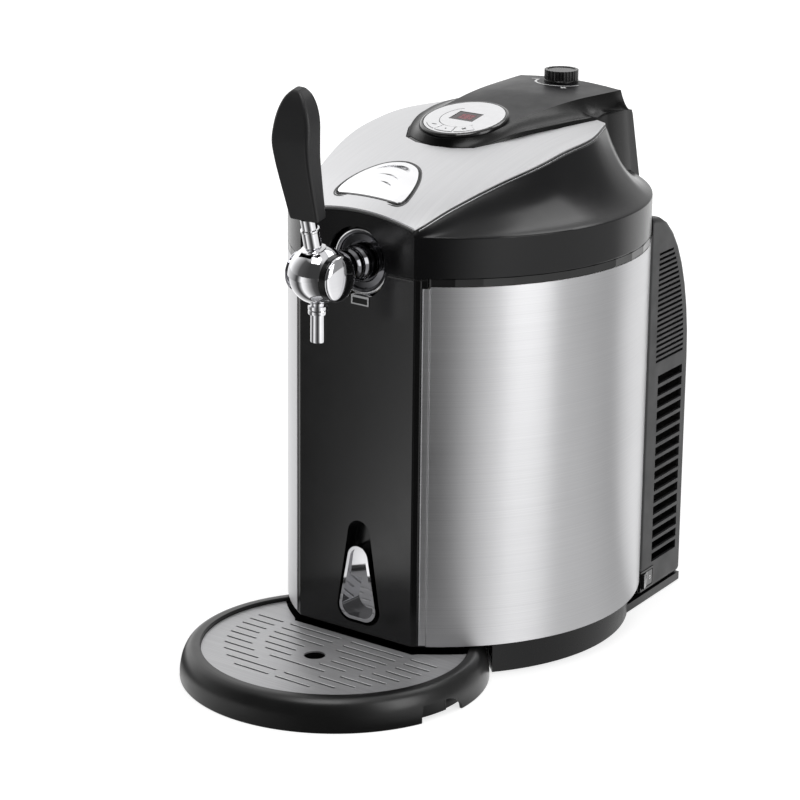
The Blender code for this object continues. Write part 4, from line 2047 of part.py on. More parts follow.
def rocker_pivot():
    return switch_frame_matrix() @ Vector((0, 0, -ROCKER_PIVOT_DEPTH))


build()
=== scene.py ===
import json
import math

import bmesh
import bpy
from mathutils import Matrix, Vector

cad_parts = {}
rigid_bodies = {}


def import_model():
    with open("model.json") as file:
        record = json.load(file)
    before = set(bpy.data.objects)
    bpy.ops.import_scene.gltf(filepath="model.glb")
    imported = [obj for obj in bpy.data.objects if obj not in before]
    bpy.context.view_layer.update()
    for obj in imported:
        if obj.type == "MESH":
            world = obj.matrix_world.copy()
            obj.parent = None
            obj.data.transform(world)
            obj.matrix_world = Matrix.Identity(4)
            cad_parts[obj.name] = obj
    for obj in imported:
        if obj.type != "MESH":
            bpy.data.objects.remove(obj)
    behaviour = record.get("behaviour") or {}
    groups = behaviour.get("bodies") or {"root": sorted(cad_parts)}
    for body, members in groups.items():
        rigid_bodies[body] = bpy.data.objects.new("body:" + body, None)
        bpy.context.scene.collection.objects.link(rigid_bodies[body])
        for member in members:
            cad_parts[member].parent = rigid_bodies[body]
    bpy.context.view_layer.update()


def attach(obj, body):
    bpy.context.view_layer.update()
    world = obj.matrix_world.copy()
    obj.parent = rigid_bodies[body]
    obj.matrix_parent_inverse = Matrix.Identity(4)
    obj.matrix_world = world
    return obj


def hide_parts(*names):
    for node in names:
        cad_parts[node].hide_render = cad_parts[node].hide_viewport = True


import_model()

PARTS = "keg_dispenser_work"
CUTTERS = "keg_dispenser_tools"
LOOKS = "keg_dispenser_looks"
for group_name in (PARTS, CUTTERS, LOOKS):
    bpy.context.scene.collection.children.link(bpy.data.collections.new(group_name))


def group(name):
    return bpy.context.scene.collection.children[name]


def add_object(name, mesh):
    item = bpy.data.objects.new(name, mesh)
    group(PARTS).objects.link(item)
    return item


def combine(item, other, operation):
    if other.name in group(PARTS).objects:
        group(PARTS).objects.unlink(other)
        group(CUTTERS).objects.link(other)
    step = item.modifiers.new(operation.lower(), "BOOLEAN")
    step.operation = operation
    step.solver = "EXACT"
    step.object = other
    return item


def cut(item, *cutters):
    for cutter in cutters:
        combine(item, cutter, "DIFFERENCE")
    return item


def join(item, *others):
    for other in others:
        combine(item, other, "UNION")
    return item


def baked(item):
    """The item's mesh with its modifiers applied, moved into the row frame."""
    bpy.context.view_layer.update()
    graph = bpy.context.evaluated_depsgraph_get()
    source = item.evaluated_get(graph)
    mesh = bpy.data.meshes.new_from_object(source)
    mesh.transform(Matrix.Translation((0, -MIDDLE_Y, 0)) @ source.matrix_world)
    return mesh


def place(item, body, look, nodes=(), bevel=0.0, angle=32.0, segments=3, name=None,
          split=34.0, soft=True):
    """Turns a worked piece into a shown one: bevelled, shaded, riding on its body."""
    mesh = baked(item)
    name = name or item.name + "_look"
    bpy.data.objects.remove(item, do_unlink=True)
    for tool in list(group(CUTTERS).objects):
        bpy.data.objects.remove(tool, do_unlink=True)
    shape = bmesh.new()
    shape.from_mesh(mesh)
    bmesh.ops.remove_doubles(shape, verts=shape.verts, dist=0.000002)
    bmesh.ops.dissolve_degenerate(shape, edges=shape.edges, dist=0.000002)
    shape.to_mesh(mesh)
    shape.free()
    mesh.name = name
    mesh.materials.clear()
    mesh.materials.append(look)
    for polygon in mesh.polygons:
        polygon.material_index = 0
    mesh.shade_smooth()
    mesh.set_sharp_from_angle(angle=math.radians(split))
    shown = bpy.data.objects.new(name, mesh)
    group(LOOKS).objects.link(shown)
    if bevel:
        step = shown.modifiers.new("edge", "BEVEL")
        step.width = bevel
        step.segments = segments
        step.limit_method = "ANGLE"
        step.angle_limit = math.radians(angle)
        step.harden_normals = True
        step.miter_outer = "MITER_ARC"
    if soft:
        step = shown.modifiers.new("normals", "WEIGHTED_NORMAL")
        step.keep_sharp = True
    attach(shown, body)
    if nodes:
        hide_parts(*nodes)
    return shown


# Materials: each is a set of nodes on object coordinates, in metres

def shader_of(look):
    return look.node_tree.nodes["Principled BSDF"]


def new_look(name):
    look = bpy.data.materials.new(name)
    look.use_nodes = True
    return look


def coords(tree, scale=(1.0, 1.0, 1.0)):
    source = tree.nodes.new("ShaderNodeTexCoord")
    mapping = tree.nodes.new("ShaderNodeMapping")
    mapping.inputs["Scale"].default_value = scale
    tree.links.new(source.outputs["Object"], mapping.inputs["Vector"])
    return mapping.outputs["Vector"]


def noise(tree, vector, scale, detail=3.0, rough=0.5):
    node = tree.nodes.new("ShaderNodeTexNoise")
    node.inputs["Scale"].default_value = scale
    node.inputs["Detail"].default_value = detail
    node.inputs["Roughness"].default_value = rough
    tree.links.new(vector, node.inputs["Vector"])
    return node.outputs["Fac"]


def spread(tree, value, low, high, start=0.3, end=0.7):
    node = tree.nodes.new("ShaderNodeMapRange")
    node.inputs["From Min"].default_value = start
    node.inputs["From Max"].default_value = end
    node.inputs["To Min"].default_value = low
    node.inputs["To Max"].default_value = high
    tree.links.new(value, node.inputs["Value"])
    return node.outputs["Result"]


def math_node(tree, operation, first, second=None):
    node = tree.nodes.new("ShaderNodeMath")
    node.operation = operation
    tree.links.new(first, node.inputs[0])
    if isinstance(second, (int, float)):
        node.inputs[1].default_value = second
    elif second is not None:
        tree.links.new(second, node.inputs[1])
    return node.outputs[0]


def tint(tree, value, dark, light):
    node = tree.nodes.new("ShaderNodeMix")
    node.data_type = "RGBA"
    node.inputs["A"].default_value = (*dark, 1.0)
    node.inputs["B"].default_value = (*light, 1.0)
    tree.links.new(value, node.inputs["Factor"])
    return node.outputs["Result"]


def bump(tree, height, strength, distance):
    node = tree.nodes.new("ShaderNodeBump")
    node.inputs["Strength"].default_value = strength
    node.inputs["Distance"].default_value = distance
    tree.links.new(height, node.inputs["Height"])
    return node.outputs["Normal"]


# Textures of plastic and plating: how many patches to the metre
FLOW_SCALE = 18.0
SMUDGE_SCALE = 60.0
GRAIN_SCALE = 1800.0
WIPE_SCALE = (30.0, 30.0, 160.0)
WAVE_SCALE = 40.0
CLOUD_SCALE = 9.0
GLOW_SCALE = 900.0
GRAIN_STRENGTH = 0.35
COAT_ROUGHNESS = 0.08
COARSE_SCRATCH_SHARE = 0.31

# Console plastic: normals between which the flanks, the nose and the rear take over, and finishes,
# with painted shade darkening the flanks and nose and taking the sheen off the rear
FLANK_TURN = (0.07, 0.20)
NOSE_TURN = (-0.62, -0.42)
REAR_TURN = (0.02, 0.12)
REAR_SHADE_SPECULAR = (0.27, 0.03)
TOP_ROUGHNESS = (0.36, 0.44)
FLANK_ROUGHNESS = (0.22, 0.28)
TOP_DARK = (0.004, 0.004, 0.005)
TOP_LIGHT = (0.006, 0.006, 0.007)
FLANK_SHADE_COLOUR = (0.002, 0.002, 0.002, 1.0)


def moulded(name, dark, light, rough=(0.32, 0.42), grain=0.00004, grain_scale=GRAIN_SCALE,
            coat=0.0, specular=0.5):
    """Injection-moulded plastic: fine texture, faint flow marks, uneven gloss."""
    look = new_look(name)
    tree = look.node_tree
    shader = shader_of(look)
    vector = coords(tree)
    broad = noise(tree, vector, FLOW_SCALE, 4.0)
    fine = noise(tree, vector, grain_scale, 2.0)
    smudge = noise(tree, vector, SMUDGE_SCALE, 5.0, 0.6)
    tree.links.new(tint(tree, spread(tree, broad, 0.0, 1.0), dark, light),
                   shader.inputs["Base Color"])
    tree.links.new(spread(tree, smudge, *rough), shader.inputs["Roughness"])
    tree.links.new(bump(tree, fine, GRAIN_STRENGTH, grain), shader.inputs["Normal"])
    shader.inputs["Specular IOR Level"].default_value = specular
    if coat:
        shader.inputs["Coat Weight"].default_value = coat
        shader.inputs["Coat Roughness"].default_value = COAT_ROUGHNESS
    return look


def brushed(name, dark, light, grain, rough=(0.26, 0.36), aniso=0.6, depth=0.00002):
    """Brushed metal: two scales of fine scratches along one direction."""
    look = new_look(name)
    tree = look.node_tree
    shader = shader_of(look)
    shader.inputs["Metallic"].default_value = 1.0
    coarse_grain = tuple(g * COARSE_SCRATCH_SHARE for g in grain)
    fine = noise(tree, coords(tree, grain), 1.0, 3.0, 0.6)
    coarse = noise(tree, coords(tree, coarse_grain), 1.0, 4.0, 0.6)
    cloud = noise(tree, coords(tree), CLOUD_SCALE, 3.0)
    both = math_node(tree, "ADD", fine, coarse)
    tree.links.new(tint(tree, spread(tree, both, 0.0, 1.0, 0.75, 1.25), dark, light),
                   shader.inputs["Base Color"])
    tone = math_node(tree, "MULTIPLY", spread(tree, both, 0.9, 1.1, 0.8, 1.2),
                     spread(tree, cloud, *rough))
    tree.links.new(tone, shader.inputs["Roughness"])
    tree.links.new(bump(tree, both, 0.25, depth), shader.inputs["Normal"])
    if aniso:
        shader.inputs["Anisotropic"].default_value = aniso
        shader.inputs["Anisotropic Rotation"].default_value = 0.25
        tangent = tree.nodes.new("ShaderNodeTangent")
        tangent.direction_type = "RADIAL"
        tangent.axis = "Z"
        tree.links.new(tangent.outputs["Tangent"], shader.inputs["Tangent"])
    return look


def plated(name, dark, light, rough=(0.035, 0.075)):
    """Polished plating with faint waves, wipe marks and dust of roughness."""
    look = new_look(name)
    tree = look.node_tree
    shader = shader_of(look)
    shader.inputs["Metallic"].default_value = 1.0
    wipe = noise(tree, coords(tree, WIPE_SCALE), 1.0, 4.0)
    wave = noise(tree, coords(tree), WAVE_SCALE, 2.0)
    tree.links.new(tint(tree, spread(tree, wipe, 0.0, 1.0), dark, light),
                   shader.inputs["Base Color"])
    tree.links.new(spread(tree, wipe, *rough), shader.inputs["Roughness"])
    tree.links.new(bump(tree, wave, 0.08, 0.0002), shader.inputs["Normal"])
    return look


def glowing(name, colour, strength, base):
    """A faintly lit, slightly uneven figure."""
    look = new_look(name)
    tree = look.node_tree
    shader = shader_of(look)
    cells = noise(tree, coords(tree), GLOW_SCALE, 2.0)
    tree.links.new(tint(tree, cells, base, tuple(min(1.0, c * 1.5) for c in base)),
                   shader.inputs["Base Color"])
    tree.links.new(spread(tree, cells, 0.2, 0.35), shader.inputs["Roughness"])
    shader.inputs["Emission Color"].default_value = (*colour, 1.0)
    shader.inputs["Emission Strength"].default_value = strength
    return look


def satin_topped(name):
    """Satin where the surface faces up, glossier on the flanks, whose darker colour is painted
    shade; faces turned to the rear lose their sheen, also painted shade.
    """
    look = new_look(name)
    tree = look.node_tree
    shader = shader_of(look)
    place_node = tree.nodes.new("ShaderNodeTexCoord")
    split = tree.nodes.new("ShaderNodeSeparateXYZ")
    tree.links.new(place_node.outputs["Normal"], split.inputs["Vector"])
    aside = spread(tree, math_node(tree, "ABSOLUTE", split.outputs["X"]), 0.0, 1.0, *FLANK_TURN)
    ahead = spread(tree, split.outputs["Y"], 1.0, 0.0, *NOSE_TURN)
    flank = math_node(tree, "MAXIMUM", aside, ahead)
    broad = noise(tree, coords(tree), FLOW_SCALE, 4.0)
    smudge = noise(tree, coords(tree), SMUDGE_SCALE, 5.0, 0.6)
    fine = noise(tree, coords(tree), GRAIN_SCALE, 2.0)
    # Painted shade: a darker base colour on the flanks and nose, chosen by the way the surface
    # faces
    mix = tree.nodes.new("ShaderNodeMix")
    mix.data_type = "RGBA"
    mix.inputs["B"].default_value = FLANK_SHADE_COLOUR
    tree.links.new(flank, mix.inputs["Factor"])
    tree.links.new(tint(tree, spread(tree, broad, 0.0, 1.0), TOP_DARK, TOP_LIGHT),
                   mix.inputs["A"])
    tree.links.new(mix.outputs["Result"], shader.inputs["Base Color"])
    rough = tree.nodes.new("ShaderNodeMix")
    rough.data_type = "FLOAT"
    tree.links.new(flank, rough.inputs["Factor"])
    tree.links.new(spread(tree, smudge, *TOP_ROUGHNESS), rough.inputs["A"])
    tree.links.new(spread(tree, smudge, *FLANK_ROUGHNESS), rough.inputs["B"])
    tree.links.new(rough.outputs["Result"], shader.inputs["Roughness"])
    tree.links.new(bump(tree, fine, GRAIN_STRENGTH, 0.00004), shader.inputs["Normal"])
    # Painted shade: less specular on faces turned to the rear
    tree.links.new(spread(tree, split.outputs["Y"], *REAR_SHADE_SPECULAR, *REAR_TURN),
                   shader.inputs["Specular IOR Level"])
    return look


LID_BLACK = moulded("lid_black", (0.0045, 0.0045, 0.005), (0.0065, 0.0065, 0.007), (0.20, 0.25),
                    0.00002, specular=0.33)
PANEL_BLACK = moulded("panel_black", (0.003, 0.003, 0.0035), (0.005, 0.005, 0.0055), (0.20, 0.25),
                      0.00002, specular=0.7)
CONSOLE_BLACK = satin_topped("console_black")
PLINTH_BLACK = moulded("plinth_black", (0.003, 0.003, 0.0035), (0.005, 0.005, 0.0055),
                       (0.24, 0.32), 0.00002, specular=0.26)
TRAY_BLACK = moulded("tray_black", (0.008, 0.008, 0.008), (0.011, 0.011, 0.011), (0.28, 0.34),
                     0.00002)
HOUSING_GREY = moulded("housing_grey", (0.016, 0.016, 0.017), (0.022, 0.022, 0.023),
                       (0.42, 0.52), 0.00006)
INSIDE_GREY = moulded("inside_grey", (0.05, 0.05, 0.052), (0.065, 0.065, 0.067), (0.5, 0.6))
# Black for real trim, and for beads that paint the shade in gaps
TRIM_AND_GAP_SHADE_BLACK = moulded("trim_black", (0.003, 0.003, 0.003), (0.004, 0.004, 0.004), (0.16, 0.24))
GLOSS_BLACK = moulded("gloss_black", (0.003, 0.003, 0.003), (0.005, 0.005, 0.005), (0.05, 0.10),
                      0.000005, 900.0, 0.6)
HANDLE_BLACK = moulded("handle_black", (0.010, 0.010, 0.011), (0.013, 0.013, 0.014),
                       (0.42, 0.50), 0.00006, 1500.0)
KNOB_BLACK = moulded("knob_black", (0.005, 0.005, 0.005), (0.007, 0.007, 0.007), (0.22, 0.30))
RUBBER = moulded("foot_rubber", (0.015, 0.015, 0.015), (0.025, 0.025, 0.025), (0.7, 0.85), 0.0001)
STEEL = brushed("panel_steel", (0.55, 0.55, 0.56), (0.63, 0.63, 0.64), (5.0, 5.0, 3600.0),
                (0.38, 0.42), 0.9, depth=0.000006)
GRILLE_STEEL = brushed("grille_steel", (0.42, 0.42, 0.43), (0.54, 0.54, 0.55),
                       (16.0, 2200.0, 900.0), (0.36, 0.46), 0.0, depth=0.000004)
shader_of(GRILLE_STEEL).inputs["Metallic"].default_value = 0.6
# Light grey for the rods that paint highlights along the grille's slots
SLOT_HIGHLIGHT_WHITE = moulded("lip_silver", (0.70, 0.70, 0.71), (0.80, 0.80, 0.81), (0.24, 0.34))
SILVER = brushed("lid_silver", (0.62, 0.62, 0.63), (0.68, 0.68, 0.69), (1500.0, 22.0, 22.0),
                 (0.32, 0.38), 0.0, depth=0.000004)
BUTTON_SILVER = plated("button_silver", (0.86, 0.86, 0.87), (0.92, 0.92, 0.93), (0.12, 0.18))
PLATE_SILVER = brushed("plate_silver", (0.76, 0.76, 0.77), (0.82, 0.82, 0.83),
                       (700.0, 700.0, 700.0), (0.30, 0.36), 0.0, depth=0.000003)
CHROME = plated("tap_chrome", (0.78, 0.78, 0.80), (0.84, 0.84, 0.86))
# Chrome brightened to paint highlights on the flange's rim and hook
HIGHLIGHT_CHROME = plated("rim_chrome", (0.90, 0.90, 0.91), (0.95, 0.95, 0.96), (0.10, 0.16))
# Chrome darkened to paint shade on the tap's flange and shank
SHADED_CHROME = plated("shaded_chrome", (0.14, 0.14, 0.15), (0.20, 0.20, 0.21), (0.05, 0.10))
BRASS = plated("fitting_brass", (0.62, 0.45, 0.20), (0.72, 0.54, 0.27), (0.18, 0.30))
ALUMINIUM = brushed("mill_aluminium", (0.55, 0.55, 0.57), (0.66, 0.66, 0.68),
                    (90.0, 90.0, 900.0), (0.32, 0.42), 0.0)
LENS = moulded("window_lens", (0.010, 0.003, 0.004), (0.014, 0.004, 0.005), (0.05, 0.09),
               0.000004, 900.0, 0.12)
# Silver for the steel's edges, and for the cover bead that paints a highlight line
SILVER_RIM_AND_HIGHLIGHT = brushed("rim_silver", (0.42, 0.42, 0.43), (0.50, 0.50, 0.51), (60.0, 60.0, 60.0),
                     (0.22, 0.30), 0.0, depth=0.000002)
# Grey for beads that paint shade on the cover's rims and a highlight on the panel's top edge
GREY_SHADE_AND_HIGHLIGHT = moulded("rim_grey", (0.08, 0.08, 0.08), (0.11, 0.11, 0.11), (0.30, 0.40))
INK = moulded("key_ink", (0.02, 0.02, 0.022), (0.03, 0.03, 0.032), (0.5, 0.6))
WHITE_INK = moulded("white_ink", (0.70, 0.70, 0.70), (0.80, 0.80, 0.80), (0.5, 0.6))
FOAM = moulded("rigid_foam", (0.60, 0.56, 0.44), (0.72, 0.68, 0.56), (0.8, 0.95), 0.0004, 900.0)
CERAMIC = moulded("white_ceramic", (0.78, 0.78, 0.76), (0.86, 0.86, 0.84), (0.4, 0.5))
BOARD = moulded("circuit_board", (0.010, 0.10, 0.035), (0.016, 0.14, 0.05), (0.35, 0.45))
SEGMENT = glowing("lit_segment", (0.45, 0.05, 0.08), 0.14, (0.10, 0.012, 0.018))
SEGMENT_OFF = moulded("unlit_segment", (0.035, 0.008, 0.010), (0.045, 0.010, 0.013), (0.2, 0.3))


# Sizes, in metres

# Clearances
GAP = 0.0003
MOVING_GAP = 0.0010
SHAFT_GAP = 0.0003
OVERRUN = 0.004

# Body, seen from above: two side arcs between a flat front and a flat rear
BODY_HALF_WIDTH = 0.140
FRONT_HALF_WIDTH = 0.0552
BODY_FRONT = 0.1482
BODY_REAR = 0.148
SIDE_CENTRE_SHIFT = 0.040
BODY_BOTTOM = 0.028
STEEL_HEIGHT = 0.2915
STEEL_SHEET = 0.0008
STEEL_FRONT = 0.1422
STEEL_REAR = 0.0997
COLLAR_HEIGHT = 0.0062
PANEL_WALL = 0.0028

# Base plinth and feet
PLINTH_INSET = 0.009
PLINTH_WALL = 0.003
PLINTH_LIFT = 0.0012
PLINTH_REAR_BEND = 0.082
PLINTH_TAIL_TOP = 0.008
FOOT_RADIUS = 0.009
FOOT_DEPTH = 0.003

# Drip tray and grille
TRAY_CENTRE = -0.1729
TRAY_RADIUS = 0.1224
TRAY_SKIRT_REACH = 0.0124
TRAY_RIM_WIDTH = 0.0042
TRAY_HEIGHT = 0.0256
TRAY_WALL = 0.0025
TRAY_LEDGE = 0.0038
TRAY_NEST_GAP = 0.0008
GRILLE_SHEET = 0.0013
GRILLE_DEPTH = 0.003
SLOT_WIDTH = 0.0024
DRAIN_RADIUS = 0.0085
GRILLE_BODY_GAP = 0.0022
NOTCH_LENGTH = 0.043
NOTCH_HEIGHT = 0.0135

# Lid
LID_BAND = 0.032
LID_CORNER_RISE = 0.0064
LID_TOP_RISE = 0.054
LID_CROWN = 0.0075
LID_WALL = 0.0028
COVER_HALF_WIDTH = 0.0935
COVER_SHEET = 0.0012
COVER_TIP = 0.078
HINGE_BACK = 0.005
HINGE_UP = 0.005
KNUCKLE_RADIUS = 0.0057
KNUCKLE_INNER = 0.018
KNUCKLE_OUTER = 0.031
LUG_OUTER = 0.043

# Console on the lid, with its display
CONSOLE_WALL = 0.0025
CONSOLE_HALF_WIDTH = 0.0735
CONSOLE_RIDGE_HALF_WIDTH = 0.050
CONSOLE_NOSE = 0.0535
CONSOLE_RIDGE_NOSE = 0.047
CONSOLE_REAR = 0.167
CONSOLE_RIDGE_REAR = 0.137
CONSOLE_TOP = 0.427
CONSOLE_CROWN = 0.003
CONSOLE_FOOT_DEPTH = 0.004
CONSOLE_TAIL_SLOPE = 0.20
DISPLAY_CENTRE = -0.0111
DISPLAY_TOP = 0.4208
DISPLAY_TILT_DEG = 11.7
DISPLAY_RADIUS = 0.0327
DISPLAY_RING_WIDTH = 0.0026
DISPLAY_RING_HEIGHT = 0.0032
DISPLAY_PLATE = 0.0026
WINDOW_WIDTH = 0.0224
WINDOW_DEPTH = 0.0158
KEY_INNER_RADIUS = 0.0205
KEY_OUTER_RADIUS = 0.0300
KEY_HALF_ANGLE_DEG = 15.5
KEY_PITCH_DEG = 35.0
KEY_TRAVEL = 0.0012

# Release button and latch
BUTTON_HALF_WIDTH = 0.031
BUTTON_FRONT = 0.1345
BUTTON_LENGTH = 0.047
BUTTON_DEPTH = 0.007
BUTTON_PROUD = 0.0008
LATCH_Y = -0.118
LATCH_PIN_RISE = 0.026
LATCH_PIN_RADIUS = 0.002

# Gas regulator
KNOB_Y = 0.1235
KNOB_RADIUS = 0.0141
KNOB_HEIGHT = 0.0091
KNOB_LIFT = 0.0010
KNOB_SHAFT_RADIUS = 0.003

# Tap
TAP_RISE = 0.0032
TAP_BALL_Y = -0.1946
TAP_BALL_RADIUS = 0.0225
TAP_CAP_X = 0.0195
TAP_CAP_RADIUS = 0.0175
TAP_CAP_THICK = 0.0055
TAP_CORE_RADIUS = 0.0105
TAP_STEM_RADIUS = 0.0052
TAP_STEM_COLLAR_RADIUS = 0.0072
TAP_STEM_LENGTH = 0.048
STEM_INSERT = 0.012
TAP_TILT_DEG = 15.0
TAP_OPEN_DEG = 15.0
HANDLE_LENGTH = 0.0988
HANDLE_TOP_HALF_WIDTH = 0.018
HANDLE_BEND = 0.015
HANDLE_THICK = 0.018
FLANGE_RADIUS = 0.0258
FLANGE_THICK = 0.003
FLANGE_RECESS = 0.0062
WELL_RADIUS = 0.0285
WELL_PLATE_RADIUS = 0.031
WELL_PLATE_THICK = 0.004
SHANK_RADIUS = 0.0145
SHANK_TAIL_RADIUS = 0.006
SHANK_TAIL_LENGTH = 0.024
SPOUT_RADIUS = 0.0058
SPOUT_BORE = 0.0035
SPOUT_COLLAR_RADIUS = 0.0078
SPOUT_DROP = 0.0522
STEM_COLLAR_LENGTH = 0.009

# Bottle opener in the lower front
OPENER_X = 0.004
OPENER_POCKET_TOP = 0.121
OPENER_POCKET_BOTTOM = 0.035
OPENER_POCKET_HALF_WIDTH = 0.0212
OPENER_POCKET_TOP_RADIUS = 0.0110
OPENER_POCKET_DEPTH = 0.0125
OPENER_TOP = 0.100
OPENER_BOTTOM = 0.038
OPENER_HALF_WIDTH = 0.0180
OPENER_TOP_RADIUS = 0.0100
OPENER_PROUD = 0.0015
OPENER_WALL = 0.0026

# Rear housing, fan and cooler
HOUSING_SETBACK = 0.032
HOUSING_TAPER = 0.105
HOUSING_REAR = 0.178
HOUSING_TOP = 0.3335
HOUSING_SHOULDER = 0.200
HOUSING_CURVE_START = 0.108
HOUSING_WALL = 0.0025
HOUSING_ROUND = 0.005
LOUVRE_COUNT = 22
LOUVRE_LOW = 0.2085
LOUVRE_PITCH = 0.00435
LOUVRE_SLOT = 0.0022
VENT_COUNT = 16
VENT_LOW = 0.033
VENT_PITCH = 0.0104
VENT_SLOT = 0.0074
VENT_FRONT = 0.1215
VENT_REAR = 0.166
REAR_SLOT_COUNT = 12
REAR_SLOT_LOW = 0.095
REAR_SLOT_HALF_WIDTH = 0.043
REAR_SLOT_PITCH = 0.0088
REAR_SLOT = 0.0045
FAN_SIZE = 0.092
FAN_HEIGHT = 0.145
SWITCH_Y = 0.1135
SWITCH_HEIGHT = 0.0205
SWITCH_LENGTH = 0.019
SWITCH_WIDTH = 0.013
SWITCH_FRAME = 0.0022
SWITCH_TILT_DEG = 7.0
SWITCH_DEPTH = 0.012
ROCKER_PIVOT_DEPTH = 0.003
ROCKER_CHEEK = 0.0035
ROCKER_EDGE_PROUD = 0.0016
ROCKER_DISH_PROUD = 0.0004
INLET_X = -0.055
INLET_HEIGHT = 0.032
INLET_WIDTH = 0.026
INLET_TALL = 0.019
SCREW_HEAD_RADIUS = 0.0038
SCREW_LENGTH = 0.006

# Facets
SIDE_STEPS = 72
CIRCLE_STEPS = 96
SMALL_STEPS = 48
TRAY_STEPS = 160
LID_COLUMNS = 24
CONSOLE_COLUMNS = 20

# Places worked out from the sizes above
STEEL_TOP = BODY_BOTTOM + STEEL_HEIGHT
COLLAR_TOP = STEEL_TOP + COLLAR_HEIGHT
LID_BOTTOM = COLLAR_TOP + GAP
BAND_TOP = LID_BOTTOM + LID_BAND
HINGE_Y = BODY_REAR + HINGE_BACK
HINGE_Z = LID_BOTTOM + HINGE_UP
LATCH_PIN_Z = LID_BOTTOM + LATCH_PIN_RISE
TRAY_RIM_RADIUS = TRAY_RADIUS - TRAY_SKIRT_REACH
TRAY_FRONT = TRAY_CENTRE - TRAY_RADIUS
TAP_HEIGHT = LID_BOTTOM + TAP_RISE
HOUSING_HALF_WIDTH = BODY_HALF_WIDTH - HOUSING_SETBACK
SPOUT_TIP = TAP_HEIGHT - SPOUT_DROP
MIDDLE_Y = (HOUSING_REAR + TRAY_FRONT) / 2
DISPLAY_TILT = math.radians(DISPLAY_TILT_DEG)
CONSOLE_PLANE = DISPLAY_TOP - DISPLAY_RING_HEIGHT


# Fine forms that only the visual model has

# Points closer than this are one
WELD = 0.00001

# Lid band: (inset, height) at its foot, then (inset, drop) as parts of the crease at its top
CREASE = 0.0013
BAND_FOOT = ((0.0009, 0.0), (0.0003, 0.0003), (0.0, 0.0009))
BAND_CREASE = ((0.0, 1.0), (0.12, 0.55), (0.45, 0.18))
FLANK_STEPS = (0.03, 0.07, 0.12, 0.18, 0.25, 0.33, 0.41, 0.50, 0.59, 0.68, 0.77, 0.86, 0.94)
FADE_LENGTH = 0.02

# Beads below the cover's edge, a dark one painting the gap's shade and a bright one painting a
# highlight line: tag, distance below it, radius
COVER_SHADE_AND_HIGHLIGHT_BEADS = (("gap", 0.0002, 0.00065), ("rim", 0.0013, 0.00040), ("foot", 0.0022, 0.00055))

# Bead under the cover's front edge, in grey that paints the shade on the edge
LIP_RADIUS = 0.0010
LIP_REACH_SHARE = 0.985
LIP_SINK = 0.0003
LIP_DROP_SHARE = 0.7

# Rings let into the cover round the button, painting shade: a dark seal ring for the gap's shade
# and a grey lip ring for the cover's rim in shade; tag, distance outside it, radius
BUTTON_SHADE_RINGS = (("seal", 0.0011, 0.00085), ("lip", 0.0027, 0.00070))
RING_SINK_SHARE = 0.35
BUTTON_CORNER = 0.0045
BUTTON_GRID_SHARE = 1.2
BUTTON_GRID_STEPS = 30

# Scoops in the button: name, centre, radius, width, first and last angle, depth
SCOOPS = (("apex", (0.0, -0.1130), 0.0205, 0.0042, 14, 146, 0.0022),
          ("line_far", (-0.002, -0.1270), 0.0205, 0.0013, 48, 112, 0.0011),
          ("line_near", (0.001, -0.1330), 0.0165, 0.0015, 40, 100, 0.0012))
SCOOP_MARGIN = 0.001
SCOOP_HALF_WIDTH = 0.024
SCOOP_CLEAR = 0.004
SCOOP_STEPS = 16
SLIVER_TIP = 0.00012

# Console: levels up its flank, and where its lip and nose stand
CONSOLE_LEVELS = (0.0, 0.06, 0.15, 0.28, 0.42, 0.56, 0.70, 0.82, 0.91, 0.97)
LIP_INWARD_SHARE = 0.10
LIP_BACK_SHARE = 0.6
LIP_UNDER_SHARE = 0.93
FLANK_START_SHARE = 0.05
NOSE_BOW_SHARE = 0.035
CROWN_RISE = 2.5

# Display ring: (step from its inner or outer radius, drop below its top)
RING_INNER_EDGE = ((0.0, 0.0007), (0.0004, 0.0), (0.0012, 0.0))
RING_OUTER_EDGE = ((0.0006, 0.0004), (0.0, 0.0012))

# Marks on the display and its keys
INK_LIFT = 0.00001
INK_STEP = 0.000004
INK_THICK = 0.00004
SEAM_RADIUS = 0.0196
SEAM_WIDTH = 0.00045
SEAM_SPAN_DEG = (125, 325)
KEY_MARK_REACH = 0.0021
KEY_MARK_WIDTH = 0.0011
KEY_DOT_RADIUS = 0.0008

# Seven-segment figures under the lens: ends of each stroke, in half figures
SEGMENTS = {"a": (0, 2, 1, 2), "b": (1, 1, 1, 2), "c": (1, 0, 1, 1), "d": (0, 0, 1, 0),
            "e": (0, 0, 0, 1), "f": (0, 1, 0, 2), "g": (0, 1, 1, 1)}
WINDOW_SHIFT_SHARE = 0.15
LEFT_DIGIT_X = -0.0060
RIGHT_DIGIT_X = 0.0030
DIGIT_WIDTH = 0.0042
DIGIT_HEIGHT = 0.0046
SEGMENT_TRIM = 0.0005
SEGMENT_WIDTH = 0.0008
SEGMENT_LIFT = 0.00001
SEGMENT_THICK = 0.00003
GLOW_LEFT = -0.0055
GLOW_SHARE = 0.30
GLOW_LIFT = 0.000002
GLOW_THICK = 0.000006

# Knob: one rib, then (radius, height) shares of its skirt and of its dished top
KNOB_RIBS = 30
KNOB_RIB_SHARES = (1.0, 1.0, 0.992, 0.955, 0.955, 0.992)
KNOB_SKIRT_SHARES = ((0.0, 0.12), (0.99, 0.12), (1.01, 0.08))
KNOB_DISH_SHARES = ((0.0, 1.0), (0.88, 1.0), (0.82, 0.0), (0.0, 0.0))
KNOB_DISH_FLOOR_SHARE = 0.94
KNOB_BORE_SHARE = 0.7

